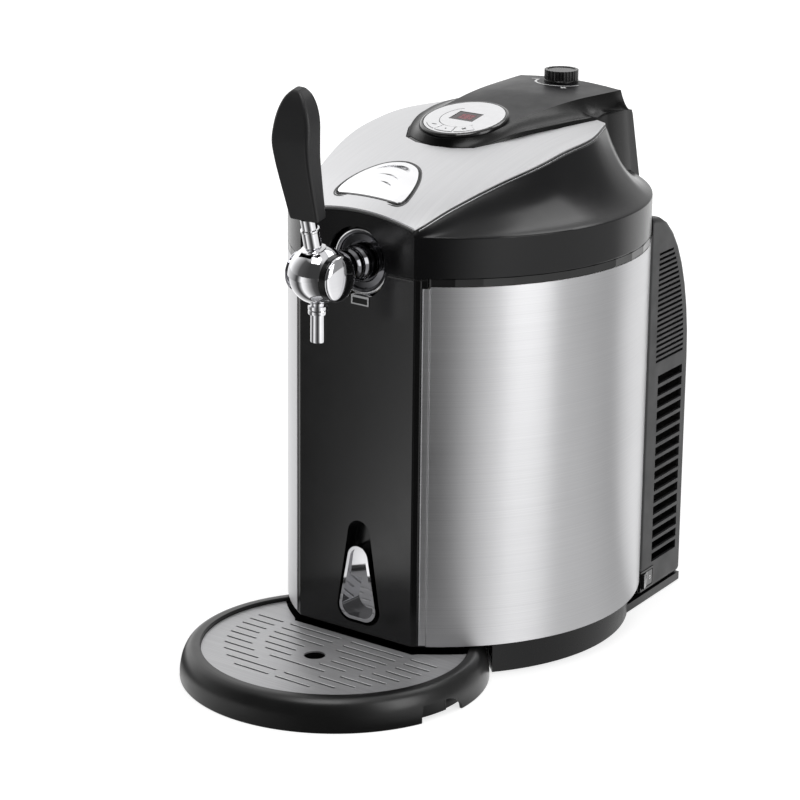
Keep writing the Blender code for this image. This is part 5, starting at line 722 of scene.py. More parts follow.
# Scale round the knob
MARK_SHEET = 0.0001
MARK_PROUD = 0.00006
MARK_SINK = 0.0002
SCALE_RADIUS_SHARE = 1.42
SCALE_START_DEG = -175
SCALE_SPAN_DEG = 165
SCALE_THIN = 0.0006
SCALE_SWELL = 0.0016
SCALE_END_STEP = 0.0062
SCALE_END_DEG = (-178.0, -52.0)
SCALE_MARK_REACH = 0.0027
SCALE_MARK_WIDTH = 0.0013

# Tap flange: (step, share of thickness) out from the shank, then in from its rim
FLANGE_HUB = ((0.0012, 1.0), (0.0022, 0.55))
FLANGE_DISH = ((0.0045, 0.42), (0.0036, 0.9), (0.0030, 1.0), (0.0010, 1.0), (0.0003, 0.85),
               (0.0, 0.6), (0.0, 0.0))
TONGUE_HALF_SHARE = 0.33
TONGUE_DROP = 0.0035
TONGUE_TOP_SHARE = 0.86
RIM_INWARD = 0.0006
RIM_SINK = 0.0003
RIM_RADIUS = 0.0012

# Tab that hooks over the panel below the flange
TAB_X = 0.0042
TAB_HALF_WIDTH = 0.0085
TAB_LOW = FLANGE_RADIUS + 0.0068
TAB_SKIN = 0.0011
HOOK_TOP_SHARE = 0.97
HOOK_BRIDGE_SHARE = 1.06
HOOK_AIR = 0.0001
HOOK_LAP = 0.0003
HOOK_INLAY_SHARES = (0.25, 0.52)

# Shank: (radius, distance) shares at the top and foot of each of its rings
SHANK_FRONT_SHARE = 0.72
SHANK_GROOVE_SHARE = 0.86
SHANK_GROOVE_RISE = 0.07
SHANK_RINGS = 4
SHANK_RING_STEP = 0.0006
SHANK_RING_TOP = ((0.95, 0.0), (0.985, 0.02), (1.0, 0.05))
SHANK_RING_FOOT = ((1.0, 0.09), (0.985, 0.075))

# Tap ball, its caps, seal and hood
LEFT_CAP_SHARE = 0.86
LEFT_CAP_THICK_SHARE = 0.45
CAP_RIM_SHARE = 0.16
CAP_PLUG_SHARE = 0.4
STEM_AIR = 0.0006
STEM_SLOT = TAP_STEM_RADIUS + STEM_AIR
SEAL_WIDTH = 0.0052
SEAL_RADIUS = TAP_CAP_RADIUS * 1.04
SEAL_SINK = 0.0012
HOOD_SKIN = 0.0011
HOOD_LAP = 0.0008
HOOD_LOW_SHARE = 0.50
HOOD_LEAN_SHARE = 0.42

# Spout collar: (radius share, distance below its top), then (radius share, height above its foot)
SPOUT_COLLAR_SHARE = 0.97
SPOUT_COLLAR_LENGTH = 0.0085
SPOUT_CORE_AIR = 0.001
COLLAR_UPPER = ((1.0, 0.002), (1.0, 0.0045), (0.94, 0.0050), (0.98, 0.0055))
COLLAR_LOWER = ((1.0, 0.001), (0.96, 0.0))

# Lever stem: (collar share, distance below its ring's top), then (collar share, height over foot)
STEM_INSERT_SHARE = 0.8
STEM_FOOT_AIR = 0.0008
STEM_RING = ((1.02, 0.0), (1.02, 0.0016), (0.94, 0.0022))
STEM_SLEEVE_FOOT = ((0.96, 0.0006), (0.9, 0.0))
SKIRT_SKIN = 0.0010
SKIRT_AIR = 0.0002
SKIRT_RADIUS = 0.0096
HANDLE_CORNER_SHARE = 0.40
HANDLE_CORNER_STEPS = 9

# Tray: (reach, height) shares of its skirt, outside and inside, and its finger recesses
TRAY_SKIRT_SHARES = ((0.10, 0.997), (0.32, 0.962), (0.62, 0.825), (0.86, 0.565), (0.98, 0.25),
                     (1.0, 0.03))
TRAY_INSIDE_SHARES = ((0.985, 0.0), (0.97, 0.25), (0.82, 0.55), (0.52, 0.80), (0.20, 0.90))
TRAY_FLOOR_SHARE = 0.125
TRAY_RIM_SOFT = 0.0008
TRAY_HEM = 0.0006
NOTCH_BACK_SHARE = 0.4
NOTCH_AIR = 0.003
RECESS_FOOT = 0.0028
RECESS_SET_BACK = 0.0045
RECESS_REAR_SHARE = 2.2
RECESS_SHEET = 0.0016
RECESS_SPLIT_SHARE = 0.16
RECESS_FRONT_LAP = 0.002
RECESS_REAR_LAP = 0.013
RECESS_TOP_LAP = 0.0015
RECESS_STEPS = 12

# Grille: its drain, how far the slots' cutters reach, and the bright rods that paint highlights on
# the slots' edges
DRAIN_REACH = 0.01
DRAIN_FLARE = 0.0012
DRAIN_FLARE_TOP = 0.0022
DRAIN_FLARE_FOOT = 0.0014
SLOT_REACH = 0.002
SLOT_HIGHLIGHT_RADIUS = 0.00036

# Slanted corner of the front panel: dark strip, rib, and the steel folded over it
STRIP_NEAR = 0.0012
STRIP_FAR = 0.0004
STRIP_SINK = 0.0002
STRIP_PROUD = 0.00025
STRIP_END = 0.001
RIB_SHARE = 0.50
RIB_PROUD = 0.0001
RIB_RADIUS = 0.00055
STEEL_LAP_SHARE = 0.64
STEEL_TUCK = 0.0012
FOLD_PROUD = 0.0004
FOLD_END = 0.0012
EDGE_PROUD = 0.0002
EDGE_RADIUS = 0.0005

# Beads along the panel's top edge, a dark one painting the gap's shade and a light one painting the
# edge's highlight: tag, drop, radius
FRONT_SHADE_AND_HIGHLIGHT_SEAMS = (("dark", 0.0009, 0.0007), ("light", 0.0021, 0.0005))
FRONT_SEAM_START = 0.002
FRONT_SEAM_END = 0.0008

# Latch pin and rocker
PIN_END_TRIM = 0.0016
ROCKER_BAR_X = -0.0055
ROCKER_BAR_HALF = 0.0016
ROCKER_BAR_WIDTH = 0.0007
ROCKER_RING_X = 0.0052
ROCKER_RING_RADII = (0.0017, 0.0011)
ROCKER_MARK_THICK = 0.00012

# Floor and lamps: name, place, width, depth, power
FLOOR_REACH = 30.0
FLOOR_TONE = 0.45
FLOOR_MIRROR = 1.0
FLOOR_FAR = 1.0
FLOOR_NEAR = 0.72
FLOOR_GLOW = 0.45
FLOOR_FALL_OFF = (0.7, 0.7, 0.7)
SKY_RISE = (0.78, 0.92)
LAMP_AIM = (0, 0, 0.2)
LAMPS = (("side_lamp", (1.50, -0.105, 0.80), 0.74, 1.0, 8.1),
         ("rear_lamp", (0.353, 0.970, 1.77), 1.1, 0.65, 6.3),
         ("key_lamp", (0.275, -0.755, 2.02), 0.9, 0.9, 10))


def turn_to(axis):
    """Rotation that takes local Z to the named axis."""
    turns = {
        "Z": (0.0, 0.0, 0.0),
        "-Z": (math.pi, 0.0, 0.0),
        "Y": (-math.pi / 2, 0.0, 0.0),
        "-Y": (math.pi / 2, 0.0, 0.0),
        "X": (0.0, math.pi / 2, 0.0),
        "-X": (0.0, -math.pi / 2, 0.0),
    }
    return turns[axis]


def object_from(name, shape):
    """Puts a worked mesh into a new object."""
    mesh = bpy.data.meshes.new(name)
    shape.to_mesh(mesh)
    shape.free()
    return add_object(name, mesh)


def rod(name, start, axis, length, radius, steps=SMALL_STEPS):
    """A plain cylinder that starts at a point and runs along an axis."""
    shape = bmesh.new()
    bmesh.ops.create_cone(shape, cap_ends=True, segments=steps,
                          radius1=radius, radius2=radius, depth=length)
    bmesh.ops.translate(shape, verts=shape.verts, vec=(0, 0, length / 2))
    item = object_from(name, shape)
    item.location = start
    item.rotation_euler = turn_to(axis)
    return item


def turned(name, profile, centre, axis, steps=CIRCLE_STEPS):
    """A profile of (radius, height) points screwed about its own axis."""
    closed = profile[0] == profile[-1]
    points = profile[:-1] if closed else profile
    mesh = bpy.data.meshes.new(name)
    edges = [(i, i + 1) for i in range(len(points) - 1)]
    if closed:
        edges.append((len(points) - 1, 0))
    mesh.from_pydata([(r, 0.0, h) for r, h in points], edges, [])
    item = add_object(name, mesh)
    step = item.modifiers.new("screw", "SCREW")
    step.axis = "Z"
    step.steps = steps
    step.render_steps = steps
    step.use_merge_vertices = True
    step.merge_threshold = WELD
    step.use_smooth_shade = True
    item.location = centre
    item.rotation_euler = turn_to(axis)
    return item


def slab(name, outline, low, high, plane="XY", holes=()):
    """A flat outline, with holes, drawn out between two levels of the third axis."""
    curve = bpy.data.curves.new(name, "CURVE")
    curve.dimensions = "2D"
    curve.fill_mode = "BOTH"
    curve.extrude = (high - low) / 2
    for points in (outline, *holes):
        spline = curve.splines.new("POLY")
        spline.points.add(len(points) - 1)
        for target, (a, b) in zip(spline.points, points):
            target.co = (a, b, 0.0, 1.0)
        spline.use_cyclic_u = True
    middle = (high + low) / 2
    places = {
        "XY": ((0, 0, middle), (0, 0, 0)),
        "XZ": ((0, middle, 0), (math.pi / 2, 0, 0)),
        "YZ": ((middle, 0, 0), (math.pi / 2, 0, math.pi / 2)),
    }
    item = mesh_from_curve(name, curve)
    item.location, item.rotation_euler = places[plane]
    return item


def weld(mesh):
    """Joins points that meet and turns every face outwards."""
    shape = bmesh.new()
    shape.from_mesh(mesh)
    bmesh.ops.remove_doubles(shape, verts=shape.verts, dist=WELD)
    bmesh.ops.recalc_face_normals(shape, faces=shape.faces)
    shape.to_mesh(mesh)
    shape.free()


def mesh_from_curve(name, curve):
    """Turns a curve into a welded mesh object."""
    guide = bpy.data.objects.new(name + "_guide", curve)
    group(CUTTERS).objects.link(guide)
    bpy.context.view_layer.update()
    graph = bpy.context.evaluated_depsgraph_get()
    mesh = bpy.data.meshes.new_from_object(guide.evaluated_get(graph))
    bpy.data.objects.remove(guide, do_unlink=True)
    weld(mesh)
    mesh.name = name
    mesh.materials.clear()
    return add_object(name, mesh)


def tube(name, points, radius):
    """A round hose along a smooth path, with filled ends."""
    curve = bpy.data.curves.new(name, "CURVE")
    curve.dimensions = "3D"
    curve.bevel_depth = radius
    curve.bevel_resolution = 2
    curve.use_fill_caps = True
    spline = curve.splines.new("POLY")
    spline.points.add(len(points) - 1)
    for target, point in zip(spline.points, points):
        target.co = (*point, 1.0)
    return mesh_from_curve(name, curve)


def mesh_object(name, verts, faces):
    mesh = bpy.data.meshes.new(name)
    mesh.from_pydata([tuple(v) for v in verts], [], faces)
    weld(mesh)
    return add_object(name, mesh)


def box(name, low, high):
    """A block between two corners."""
    return boxes(name, [(low, high)])


def boxes(name, corners):
    """Several separate blocks in one mesh, for a pattern of cuts."""
    shape = bmesh.new()
    for low, high in corners:
        for vert in bmesh.ops.create_cube(shape, size=1.0)["verts"]:
            vert.co = Vector([a + (b - a) * (c + 0.5) for a, b, c in zip(low, high, vert.co)])
    return object_from(name, shape)


def circle(radius, centre=(0.0, 0.0), steps=CIRCLE_STEPS, start=0.0, end=2 * math.pi):
    full = abs(end - start - 2 * math.pi) < 1e-9
    count = steps if full else steps + 1
    return [(centre[0] + radius * math.cos(start + (end - start) * i / steps),
             centre[1] + radius * math.sin(start + (end - start) * i / steps))
            for i in range(count)]


def spline_through(points, steps):
    """Points of a smooth curve through the given ones."""
    out = []
    last = len(points) - 1
    for i in range(last):
        before = points[max(i - 1, 0)]
        here = points[i]
        there = points[i + 1]
        after = points[min(i + 2, last)]
        for k in range(steps):
            t = k / steps
            out.append(tuple(
                ((2 * b) + (c - a) * t + (2 * a - 5 * b + 4 * c - d) * t ** 2
                 + (3 * b - a - 3 * c + d) * t ** 3) / 2
                for a, b, c, d in zip(before, here, there, after)))
    out.append(tuple(points[last]))
    return out


def read_table(table, share):
    """Straight reading between the rows of a table of (share, value share)."""
    for (s0, v0), (s1, v1) in zip(table, table[1:]):
        if share <= s1:
            return v0 + (v1 - v0) * (share - s0) / (s1 - s0)
    return table[-1][1]


def smooth_table(table_shares):
    """A finer copy of a table, read along a smooth curve through its rows."""
    return spline_through(table_shares, 6)


def side_x(y, inset=0.0):
    """Half width of the body at a depth, with its side moved in by inset."""
    front_share = (FRONT_HALF_WIDTH + SIDE_CENTRE_SHIFT) / (BODY_HALF_WIDTH + SIDE_CENTRE_SHIFT)
    reach = BODY_FRONT / math.sqrt(1 - front_share ** 2) - inset
    width = BODY_HALF_WIDTH + SIDE_CENTRE_SHIFT - inset
    return width * math.sqrt(max(1 - (y / reach) ** 2, 0)) - SIDE_CENTRE_SHIFT


def side_points(front, rear, inset=0.0, steps=SIDE_STEPS):
    """Right-hand side from front to rear, in steps of even length along the arc."""
    reach = 1.02 * max(abs(front), abs(rear))
    first = math.asin(front / reach)
    last = math.asin(rear / reach)
    places = [reach * math.sin(first + (last - first) * i / steps) for i in range(steps + 1)]
    return [(side_x(y, inset), y) for y in places]


def mirrored(points):
    return [(-x, y) for x, y in reversed(points)]


def body_outline(front, rear, inset=0.0):
    right = side_points(front, rear, inset)
    return right + mirrored(right)


def housing_x(y, inset=0.0):
    return HOUSING_HALF_WIDTH - HOUSING_TAPER * (y - STEEL_REAR) - inset


def ring(right, columns, crown=0.0, bow=0.0):
    """Closed ring of right-hand points, flat rear row and a crowned, bowed front row."""
    rows = len(right) - 1
    left = [(-x, y, z) for x, y, z in right]

    def across(a, b, j, rise, swell):
        share = j / columns
        arch = 1 - (1 - 2 * share) ** 2
        return (a[0] + (b[0] - a[0]) * share, a[1] - swell * arch, a[2] + rise * arch)

    rear = [across(right[rows], left[rows], j, 0.0, 0.0) for j in range(1, columns)]
    front = [across(left[0], right[0], j, crown, bow) for j in range(1, columns)]
    return list(right) + rear + list(reversed(left)) + front


def inset_ring(points, inward, down):
    """Moves a ring inward in plan and down."""
    count = len(points)
    out = []
    for i, (x, y, z) in enumerate(points):
        before = Vector(points[i - 1][:2])
        after = Vector(points[(i + 1) % count][:2])
        here = Vector((x, y))
        first = (here - before).normalized()
        second = (after - here).normalized()
        normal = Vector((-(first.y + second.y), first.x + second.x)).normalized()
        lean = max(normal.dot(Vector((-first.y, first.x))), 0.5)
        moved = here + normal * (inward / lean)
        out.append((moved.x, moved.y, z - down))
    return out


def cap_rows(points, rows, columns, crowns):
    """Rows of points that fill a ring, each raised by its own crown."""
    size = len(points)
    table = []
    for i in range(rows + 1):
        right = points[i]
        left = points[2 * rows + columns - i]
        if i == rows:
            middle = points[rows + 1:rows + columns]
        elif i == 0:
            middle = [points[size - j] for j in range(1, columns)]
        else:
            middle = []
            for j in range(1, columns):
                share = j / columns
                arch = crowns[i] * (1 - (1 - 2 * share) ** 2)
                middle.append(tuple(p + (q - p) * share + (arch if k == 2 else 0)
                                    for k, (p, q) in enumerate(zip(right, left))))
        table.append([right, *middle, left])
    return table


def loft_shell(name, outer, inner, rows, columns, crowns):
    """A shell between outer and inner stacks of rings, open underneath."""
    verts = []
    faces = []
    for stack, flip in ((outer, False), (inner, True)):
        for low, high in zip(stack, stack[1:]):
            add_band(verts, faces, low, high, flip)
        add_cap(verts, faces, cap_rows(stack[-1], rows, columns, crowns), flip)
    add_band(verts, faces, inner[0], outer[0], False)
    return mesh_object(name, verts, faces)


def add_band(verts, faces, low, high, flip):
    size = len(low)
    start = len(verts)
    verts.extend(low)
    verts.extend(high)
    for i in range(size):
        k = (i + 1) % size
        quad = [start + i, start + k, start + size + k, start + size + i]
        faces.append(quad[::-1] if flip else quad)


def add_cap(verts, faces, table, flip):
    width = len(table[0])
    start = len(verts)
    for row in table:
        verts.extend(row)
    for i in range(len(table) - 1):
        for j in range(width - 1):
            a = start + i * width + j
            quad = [a, a + 1, a + width + 1, a + width]
            faces.append(quad if flip else quad[::-1])


def sheet(name, table, thickness):
    """A thin sheet that follows a table of points, thickness straight down."""
    lower = [[(x, y, z - thickness) for x, y, z in row] for row in table]
    verts = []
    faces = []
    add_cap(verts, faces, table, False)
    add_cap(verts, faces, lower, True)
    width = len(table[0])
    edge = [(i, 0) for i in range(len(table))]
    edge += [(len(table) - 1, j) for j in range(1, width)]
    edge += [(i, width - 1) for i in range(len(table) - 2, -1, -1)]
    edge += [(0, j) for j in range(width - 2, 0, -1)]
    top = [table[i][j] for i, j in edge]
    bottom = [lower[i][j] for i, j in edge]
    add_band(verts, faces, bottom, top, False)
    return mesh_object(name, verts, faces)


cover_width_shares = smooth_table([(0.0, 0.590), (0.05, 0.660), (0.20, 0.797), (0.46, 0.970),
                                   (0.62, 1.0), (0.80, 0.985), (1.0, 0.800)])

cover_height_shares = smooth_table([(0.0, 0.0), (0.124, 0.29), (0.30, 0.56), (0.46, 0.737),
                                    (0.62, 0.876), (0.80, 0.956), (1.0, 1.0)])

foot_width_shares = smooth_table([(0.0, 0.800), (0.25, 0.770), (0.50, 0.727), (0.75, 0.660),
                                  (1.0, 0.580)])

foot_height_shares = smooth_table([(0.0, 1.0), (0.20, 0.69), (0.45, 0.37), (0.72, 0.13),
                                   (1.0, 0.05)])

flank_pull_share = 0.30
flank_rise_share = 0.25


def lid_edge(y):
    """Upper edge of the lid's flank at a depth: half width and height."""
    low = BAND_TOP + LID_CORNER_RISE
    high = BAND_TOP + LID_TOP_RISE
    if y <= COVER_TIP:
        share = (y + BODY_FRONT) / (COVER_TIP + BODY_FRONT)
        return (COVER_HALF_WIDTH * read_table(cover_width_shares, share),
                low + (high - low) * read_table(cover_height_shares, share))
    share = (y - COVER_TIP) / (BODY_REAR - COVER_TIP)
    width = COVER_HALF_WIDTH * read_table(foot_width_shares, share)
    return (min(width, side_x(y) - GAP),
            BAND_TOP + (high - BAND_TOP) * read_table(foot_height_shares, share))


def cover_z(x, y):
    """Height of the silver cover's upper face."""
    edge, height = lid_edge(min(y, COVER_TIP))
    return height + LID_CROWN * (1 - (x / edge) ** 2)


def lid_rows():
    right = side_points(-BODY_FRONT, BODY_REAR)
    return [y for _, y in right]


def lid_crowns():
    """The deck is crowned under the cover and flattens behind it."""
    out = []
    for y in lid_rows():
        behind = max(0.0, y - COVER_TIP) / (BODY_REAR - COVER_TIP)
        out.append(LID_CROWN * max(0.0, 1 - 3 * behind))
    return out


def button_outline(spread):
    """Arched button plan, wider by spread all round."""
    half = BUTTON_HALF_WIDTH + spread
    front = -BUTTON_FRONT - spread
    length = BUTTON_LENGTH + 2 * spread
    arch_shares = ((1.0, 0.0), (1.03, 0.12), (0.98, 0.35), (0.82, 0.62), (0.55, 0.86),
                   (0.25, 0.97), (0.0, 1.0))
    right = spline_through([(half * a, front + length * b) for a, b in arch_shares], 3)
    return right + [(-x, y) for x, y in reversed(right[:-1])]


def hinge_knuckle(side):
    """Barrel and web that carry the lid on its hinge pin."""
    inner, outer = sorted((side * KNUCKLE_INNER, side * KNUCKLE_OUTER))
    name = "lid_knuckle_" + ("right" if side > 0 else "left")
    barrel = rod(name, (inner, HINGE_Y, HINGE_Z), "X", outer - inner, KNUCKLE_RADIUS)
    web = box(name + "_web", (inner, BODY_REAR - LID_WALL / 2, HINGE_Z),
              (outer, HINGE_Y, HINGE_Z + KNUCKLE_RADIUS))
    return join(barrel, web)


console_foot_shares = ((0.0, 0.0), (0.24, 0.010), (0.45, 0.045), (0.60, 0.125), (0.690, 0.200),
                       (0.775, 0.290), (0.845, 0.370), (0.885, 0.470), (0.905, 0.585),
                       (0.895, 0.675), (0.87, 0.755), (0.82, 0.840), (0.76, 0.915), (0.70, 1.0))

console_ridge_shares = ((0.0, 0.0), (0.28, 0.014), (0.52, 0.060), (0.68, 0.125), (0.73, 0.200),
                        (0.76, 0.300), (0.79, 0.400), (0.84, 0.520), (0.88, 0.640), (0.91, 0.740),
                        (0.94, 0.820), (0.97, 0.900), (0.99, 0.960), (1.0, 1.0))

console_lip_rise_shares = (0.12, 0.12, 0.30, 0.55, 0.70, 0.62, 0.55, 0.475, 0.42, 0.72, 0.78,
                           0.785, 0.77, 0.76)


console_scoop_sink_share = 0.30


def console_line(shares, half_width, front, rear):
    return [(half_width * a, -front + (rear + front) * b) for a, b in shares]


def console_foot():
    return console_line(console_foot_shares, CONSOLE_HALF_WIDTH, CONSOLE_NOSE, CONSOLE_REAR)


def console_plan(spread):
    """Closed plan of the console's foot, wider by spread."""
    right = console_foot()
    points = [(x, y, 0.0) for x, y in right]
    closed = points + [(-x, y, z) for x, y, z in reversed(points[1:])]
    return [(x, y) for x, y, _ in inset_ring(closed, -spread, 0)]


def plane_z(y):
    """Height of the tilted seat of the display."""
    return CONSOLE_PLANE + (y - DISPLAY_CENTRE) * math.tan(DISPLAY_TILT)


def ridge_z(y):
    """Height of the console's ridge: the display seat, then the flat top."""
    seat_end = DISPLAY_CENTRE + DISPLAY_RADIUS * 0.35
    if y <= seat_end:
        return plane_z(y)
    share = (y - seat_end) / (CONSOLE_RIDGE_REAR - seat_end)
    start = plane_z(seat_end)
    return start + (CONSOLE_TOP - start) * math.sin(min(share * 1.45, 1.0) * math.pi / 2)


def foot_z(x, y):
    """Height of the console's foot, which the lid's own surface then trims."""
    if y <= COVER_TIP:
        return cover_z(x, y) - CONSOLE_FOOT_DEPTH
    if y <= BODY_REAR:
        return lid_edge(y)[1] - CONSOLE_FOOT_DEPTH
    return BAND_TOP - CONSOLE_FOOT_DEPTH - (y - BODY_REAR) * CONSOLE_TAIL_SLOPE


def display_matrix(lift):
    """Place and tilt of the display, lift above its seat."""
    base = Vector((0, DISPLAY_CENTRE, DISPLAY_TOP))
    tilt = Matrix.Rotation(DISPLAY_TILT, 4, "X")
    return Matrix.Translation(base) @ tilt @ Matrix.Translation((0, 0, lift))


def on_display(item, lift):
    item.matrix_basis = display_matrix(lift) @ item.matrix_basis
    return item


def key_outline(middle_deg, spread):
    """Part of a ring between two radii, wider by spread."""
    inner = KEY_INNER_RADIUS - spread
    outer = KEY_OUTER_RADIUS + spread
    half = math.radians(KEY_HALF_ANGLE_DEG)
    half_outer = half + spread / outer
    half_inner = half + spread / inner
    middle = math.radians(middle_deg)
    far = circle(outer, (0, 0), 6, middle - half_outer, middle + half_outer)
    near = circle(inner, (0, 0), 5, middle - half_inner, middle + half_inner)
    return far + near[::-1]


def window_outline(spread):
    half_x = WINDOW_WIDTH / 2 + spread
    half_y = WINDOW_DEPTH / 2 + spread
    shift = WINDOW_DEPTH * WINDOW_SHIFT_SHARE
    return [(-half_x, shift - half_y), (half_x, shift - half_y),
            (half_x, shift + half_y), (-half_x, shift + half_y)]


def tap_matrix(tilt):
    """Frame of the tap's lever: Z runs up the handle, leaning to the front."""
    return (Matrix.Translation((0, TAP_BALL_Y, TAP_HEIGHT))
            @ Matrix.Rotation(math.radians(tilt), 4, "X"))


def notch_outline(middle):
    """Side view of the finger notch: a step at the front and an arch at the rear."""
    half = NOTCH_LENGTH / 2
    arch = [(middle + half * math.sin(math.pi / 2 * k / 5),
             NOTCH_HEIGHT * math.cos(math.pi / 2 * k / 5)) for k in range(6)]
    return ([(middle - half, -OVERRUN), (middle - half, NOTCH_HEIGHT * 0.35),
             (middle - half * 0.9, NOTCH_HEIGHT)] + arch + [(middle + half, -OVERRUN)])[::-1]


def plinth_outline(inset):
    nest = TRAY_RADIUS + TRAY_NEST_GAP + inset
    side = side_points(-BODY_FRONT, PLINTH_REAR_BEND, PLINTH_INSET + inset)
    kept = [(x, y) for x, y in side if math.hypot(x, y - TRAY_CENTRE) > nest and y > TRAY_CENTRE
            + TRAY_RADIUS * 0.3]
    x0, y0 = kept[0]
    first = math.atan2(math.sqrt(max(nest ** 2 - x0 ** 2, 0)), x0)
    arc = circle(nest, (0, TRAY_CENTRE), 16, math.pi - first, first)
    rear = PLINTH_REAR_BEND - inset
    kept = [(x, min(y, rear)) for x, y in kept]
    return arc[:-1] + kept + [(-x, y) for x, y in reversed(kept)][:-1]


def foot_places():
    front_y = TRAY_CENTRE + TRAY_RADIUS + FOOT_RADIUS
    rear_y = HOUSING_REAR - HOUSING_ROUND - 2 * FOOT_RADIUS
    front_x = side_x(front_y, PLINTH_INSET) - 1.6 * FOOT_RADIUS
    rear_x = housing_x(rear_y) - 1.6 * FOOT_RADIUS
    return ((front_x, front_y), (-front_x, front_y), (rear_x, rear_y), (-rear_x, rear_y))


def panel_plan(wall):
    """U-shaped plan of the front panel with its returns to the steel sides."""
    corner = (side_x(-BODY_FRONT), -BODY_FRONT)
    end = (side_x(-STEEL_FRONT), -STEEL_FRONT)
    inner_corner = (side_x(-BODY_FRONT + wall, wall), -BODY_FRONT + wall)
    inner_end = (side_x(-STEEL_FRONT, wall), -STEEL_FRONT)
    right = [inner_end, end, corner]
    left = [(-x, y) for x, y in reversed(right)]
    return right + left + [(-inner_corner[0], inner_corner[1]), inner_corner]


def housing_outline(inset, front):
    """Side view of the housing: flat foot, upright rear and a rounded top."""
    bottom = PLINTH_TAIL_TOP + GAP + inset
    rear = HOUSING_REAR - inset
    centre_y = HOUSING_CURVE_START
    rise = HOUSING_TOP - HOUSING_SHOULDER - inset
    arc = [(centre_y + (rear - centre_y) * math.cos(math.pi / 2 * k / 9),
            HOUSING_SHOULDER + rise * math.sin(math.pi / 2 * k / 9)) for k in range(10)]
    return [(front, bottom), (rear, bottom)] + arc + [(front, HOUSING_SHOULDER + rise)]


def tapered_prism(name, outline, inset):
    """Prism across the machine whose flat sides close in towards the rear."""
    count = len(outline)
    right = [(housing_x(y, inset), y, z) for y, z in outline]
    left = [(-x, y, z) for x, y, z in right]
    verts = right + left
    faces = [list(range(count)), list(range(2 * count - 1, count - 1, -1))]
    for i in range(count):
        k = (i + 1) % count
        faces.append([i, count + i, count + k, k])
    return mesh_object(name, verts, faces)


def screw_places():
    x = REAR_SLOT_HALF_WIDTH * 1.6
    z = FAN_HEIGHT + FAN_SIZE / 2
    return (("housing_screw_right", (x, HOUSING_REAR, z)),
            ("housing_screw_left", (-x, HOUSING_REAR, z)))


def switch_frame_matrix():
    """Frame on the housing's right side: local Z points out of the wall."""
    centre = Vector((housing_x(SWITCH_Y), SWITCH_Y, SWITCH_HEIGHT))
    lean = math.atan(HOUSING_TAPER)
    turn = Matrix.Rotation(lean, 4, "Z") @ Matrix.Rotation(math.pi / 2, 4, "Y") \
        @ Matrix.Rotation(math.pi / 2, 4, "Z")
    return Matrix.Translation(centre) @ turn


def rocker_matrix():
    tip = Matrix.Rotation(math.radians(SWITCH_TILT_DEG), 4, "Y")
    pivot = Matrix.Translation((0, 0, -ROCKER_PIVOT_DEPTH))
    return switch_frame_matrix() @ pivot @ tip @ pivot.inverted()


def latch_pin_reach():
    """Half length of the latch pin, whose ends sit in the lid's side walls."""
    return side_x(LATCH_Y) - LID_WALL / 2


KEY_NAMES = (("key_minus", -1), ("key_mode", 0), ("key_plus", 1))

FRONT_DEG = -90.0

handle_section_shares = ((0.0, 0.73, 0.60, 0.0), (0.02, 0.77, 0.67, 0.0),
                         (0.18, 0.83, 0.76, 0.0), (0.34, 0.89, 0.85, 0.0),
                         (0.50, 0.95, 0.93, 0.03), (0.64, 1.0, 1.0, 0.16),
                         (0.76, 0.945, 0.99, 0.45), (0.86, 0.79, 0.92, 0.69),
                         (0.94, 0.555, 0.76, 0.87), (0.985, 0.30, 0.54, 0.97),
                         (1.0, 0.15, 0.36, 1.0))

slot_row_shares = (
    ((0.045, 0.54), (0.605, 0.855)),
    ((0.045, 0.545), (0.615, 0.86)),
    ((0.06, 0.54), (0.615, 0.855)),
    ((0.165, 0.51), (0.600, 0.835)),
    ((0.165, 0.465), (0.55, 0.805)),
    ((0.13, 0.385), (0.505, 0.76)),
    ((-0.262, 0.262), (0.405, 0.70)),
    ((0.285, 0.625),),
    ((0.035, 0.515),),
    ((0.03, 0.36),),
)

slot_first_row_share = 0.132
slot_pitch_share = 0.0965
drain_row_share = -0.24


# Lid, in fine rings

def flank_point(x, y, edge, height, t):
    pull = (edge + (x - edge) * flank_pull_share, BAND_TOP + (height - BAND_TOP) * flank_rise_share)
    return ((1 - t) ** 2 * x + 2 * t * (1 - t) * pull[0] + t * t * edge, y,
            (1 - t) ** 2 * BAND_TOP + 2 * t * (1 - t) * pull[1] + t * t * height)


def front_fade(y):
    """Nothing at the flat front, full a little behind it."""
    return min(1.0, (y + BODY_FRONT) / FADE_LENGTH)


def fine_lid_rings(inset, sink):
    """Rings from the lid's lower edge over a softly rounded crease to the cover's seat."""
    band = [(side_x(y), y) for y in lid_rows()]

    def level(inward, z):
        return ring([(x - inward * front_fade(y), y, z) for x, y in band], LID_COLUMNS)

    stack = [level(inward, LID_BOTTOM + rise) for inward, rise in BAND_FOOT]
    stack += [level(CREASE * inward, BAND_TOP - CREASE * drop) for inward, drop in BAND_CREASE]
    sets = [[] for _ in FLANK_STEPS]
    top = []
    for x, y in band:
        edge, height = lid_edge(y)
        height -= COVER_SHEET + GAP
        start = x - CREASE * 0.5 * front_fade(y)
        for rows, t in zip(sets, FLANK_STEPS):
            rows.append(flank_point(start, y, edge, height, t))
        top.append((edge, y, height))
    for rows, t in zip(sets, FLANK_STEPS):
        stack.append(ring(rows, LID_COLUMNS, LID_CROWN * t))
    stack.append(ring(top, LID_COLUMNS, LID_CROWN))
    if not inset:
        return stack
    kept = [stack[0]] + stack[len(BAND_FOOT):] if inset > 0 else stack
    return [inset_ring(points, inset, 0 if i == 0 else sink) for i, points in enumerate(kept)]


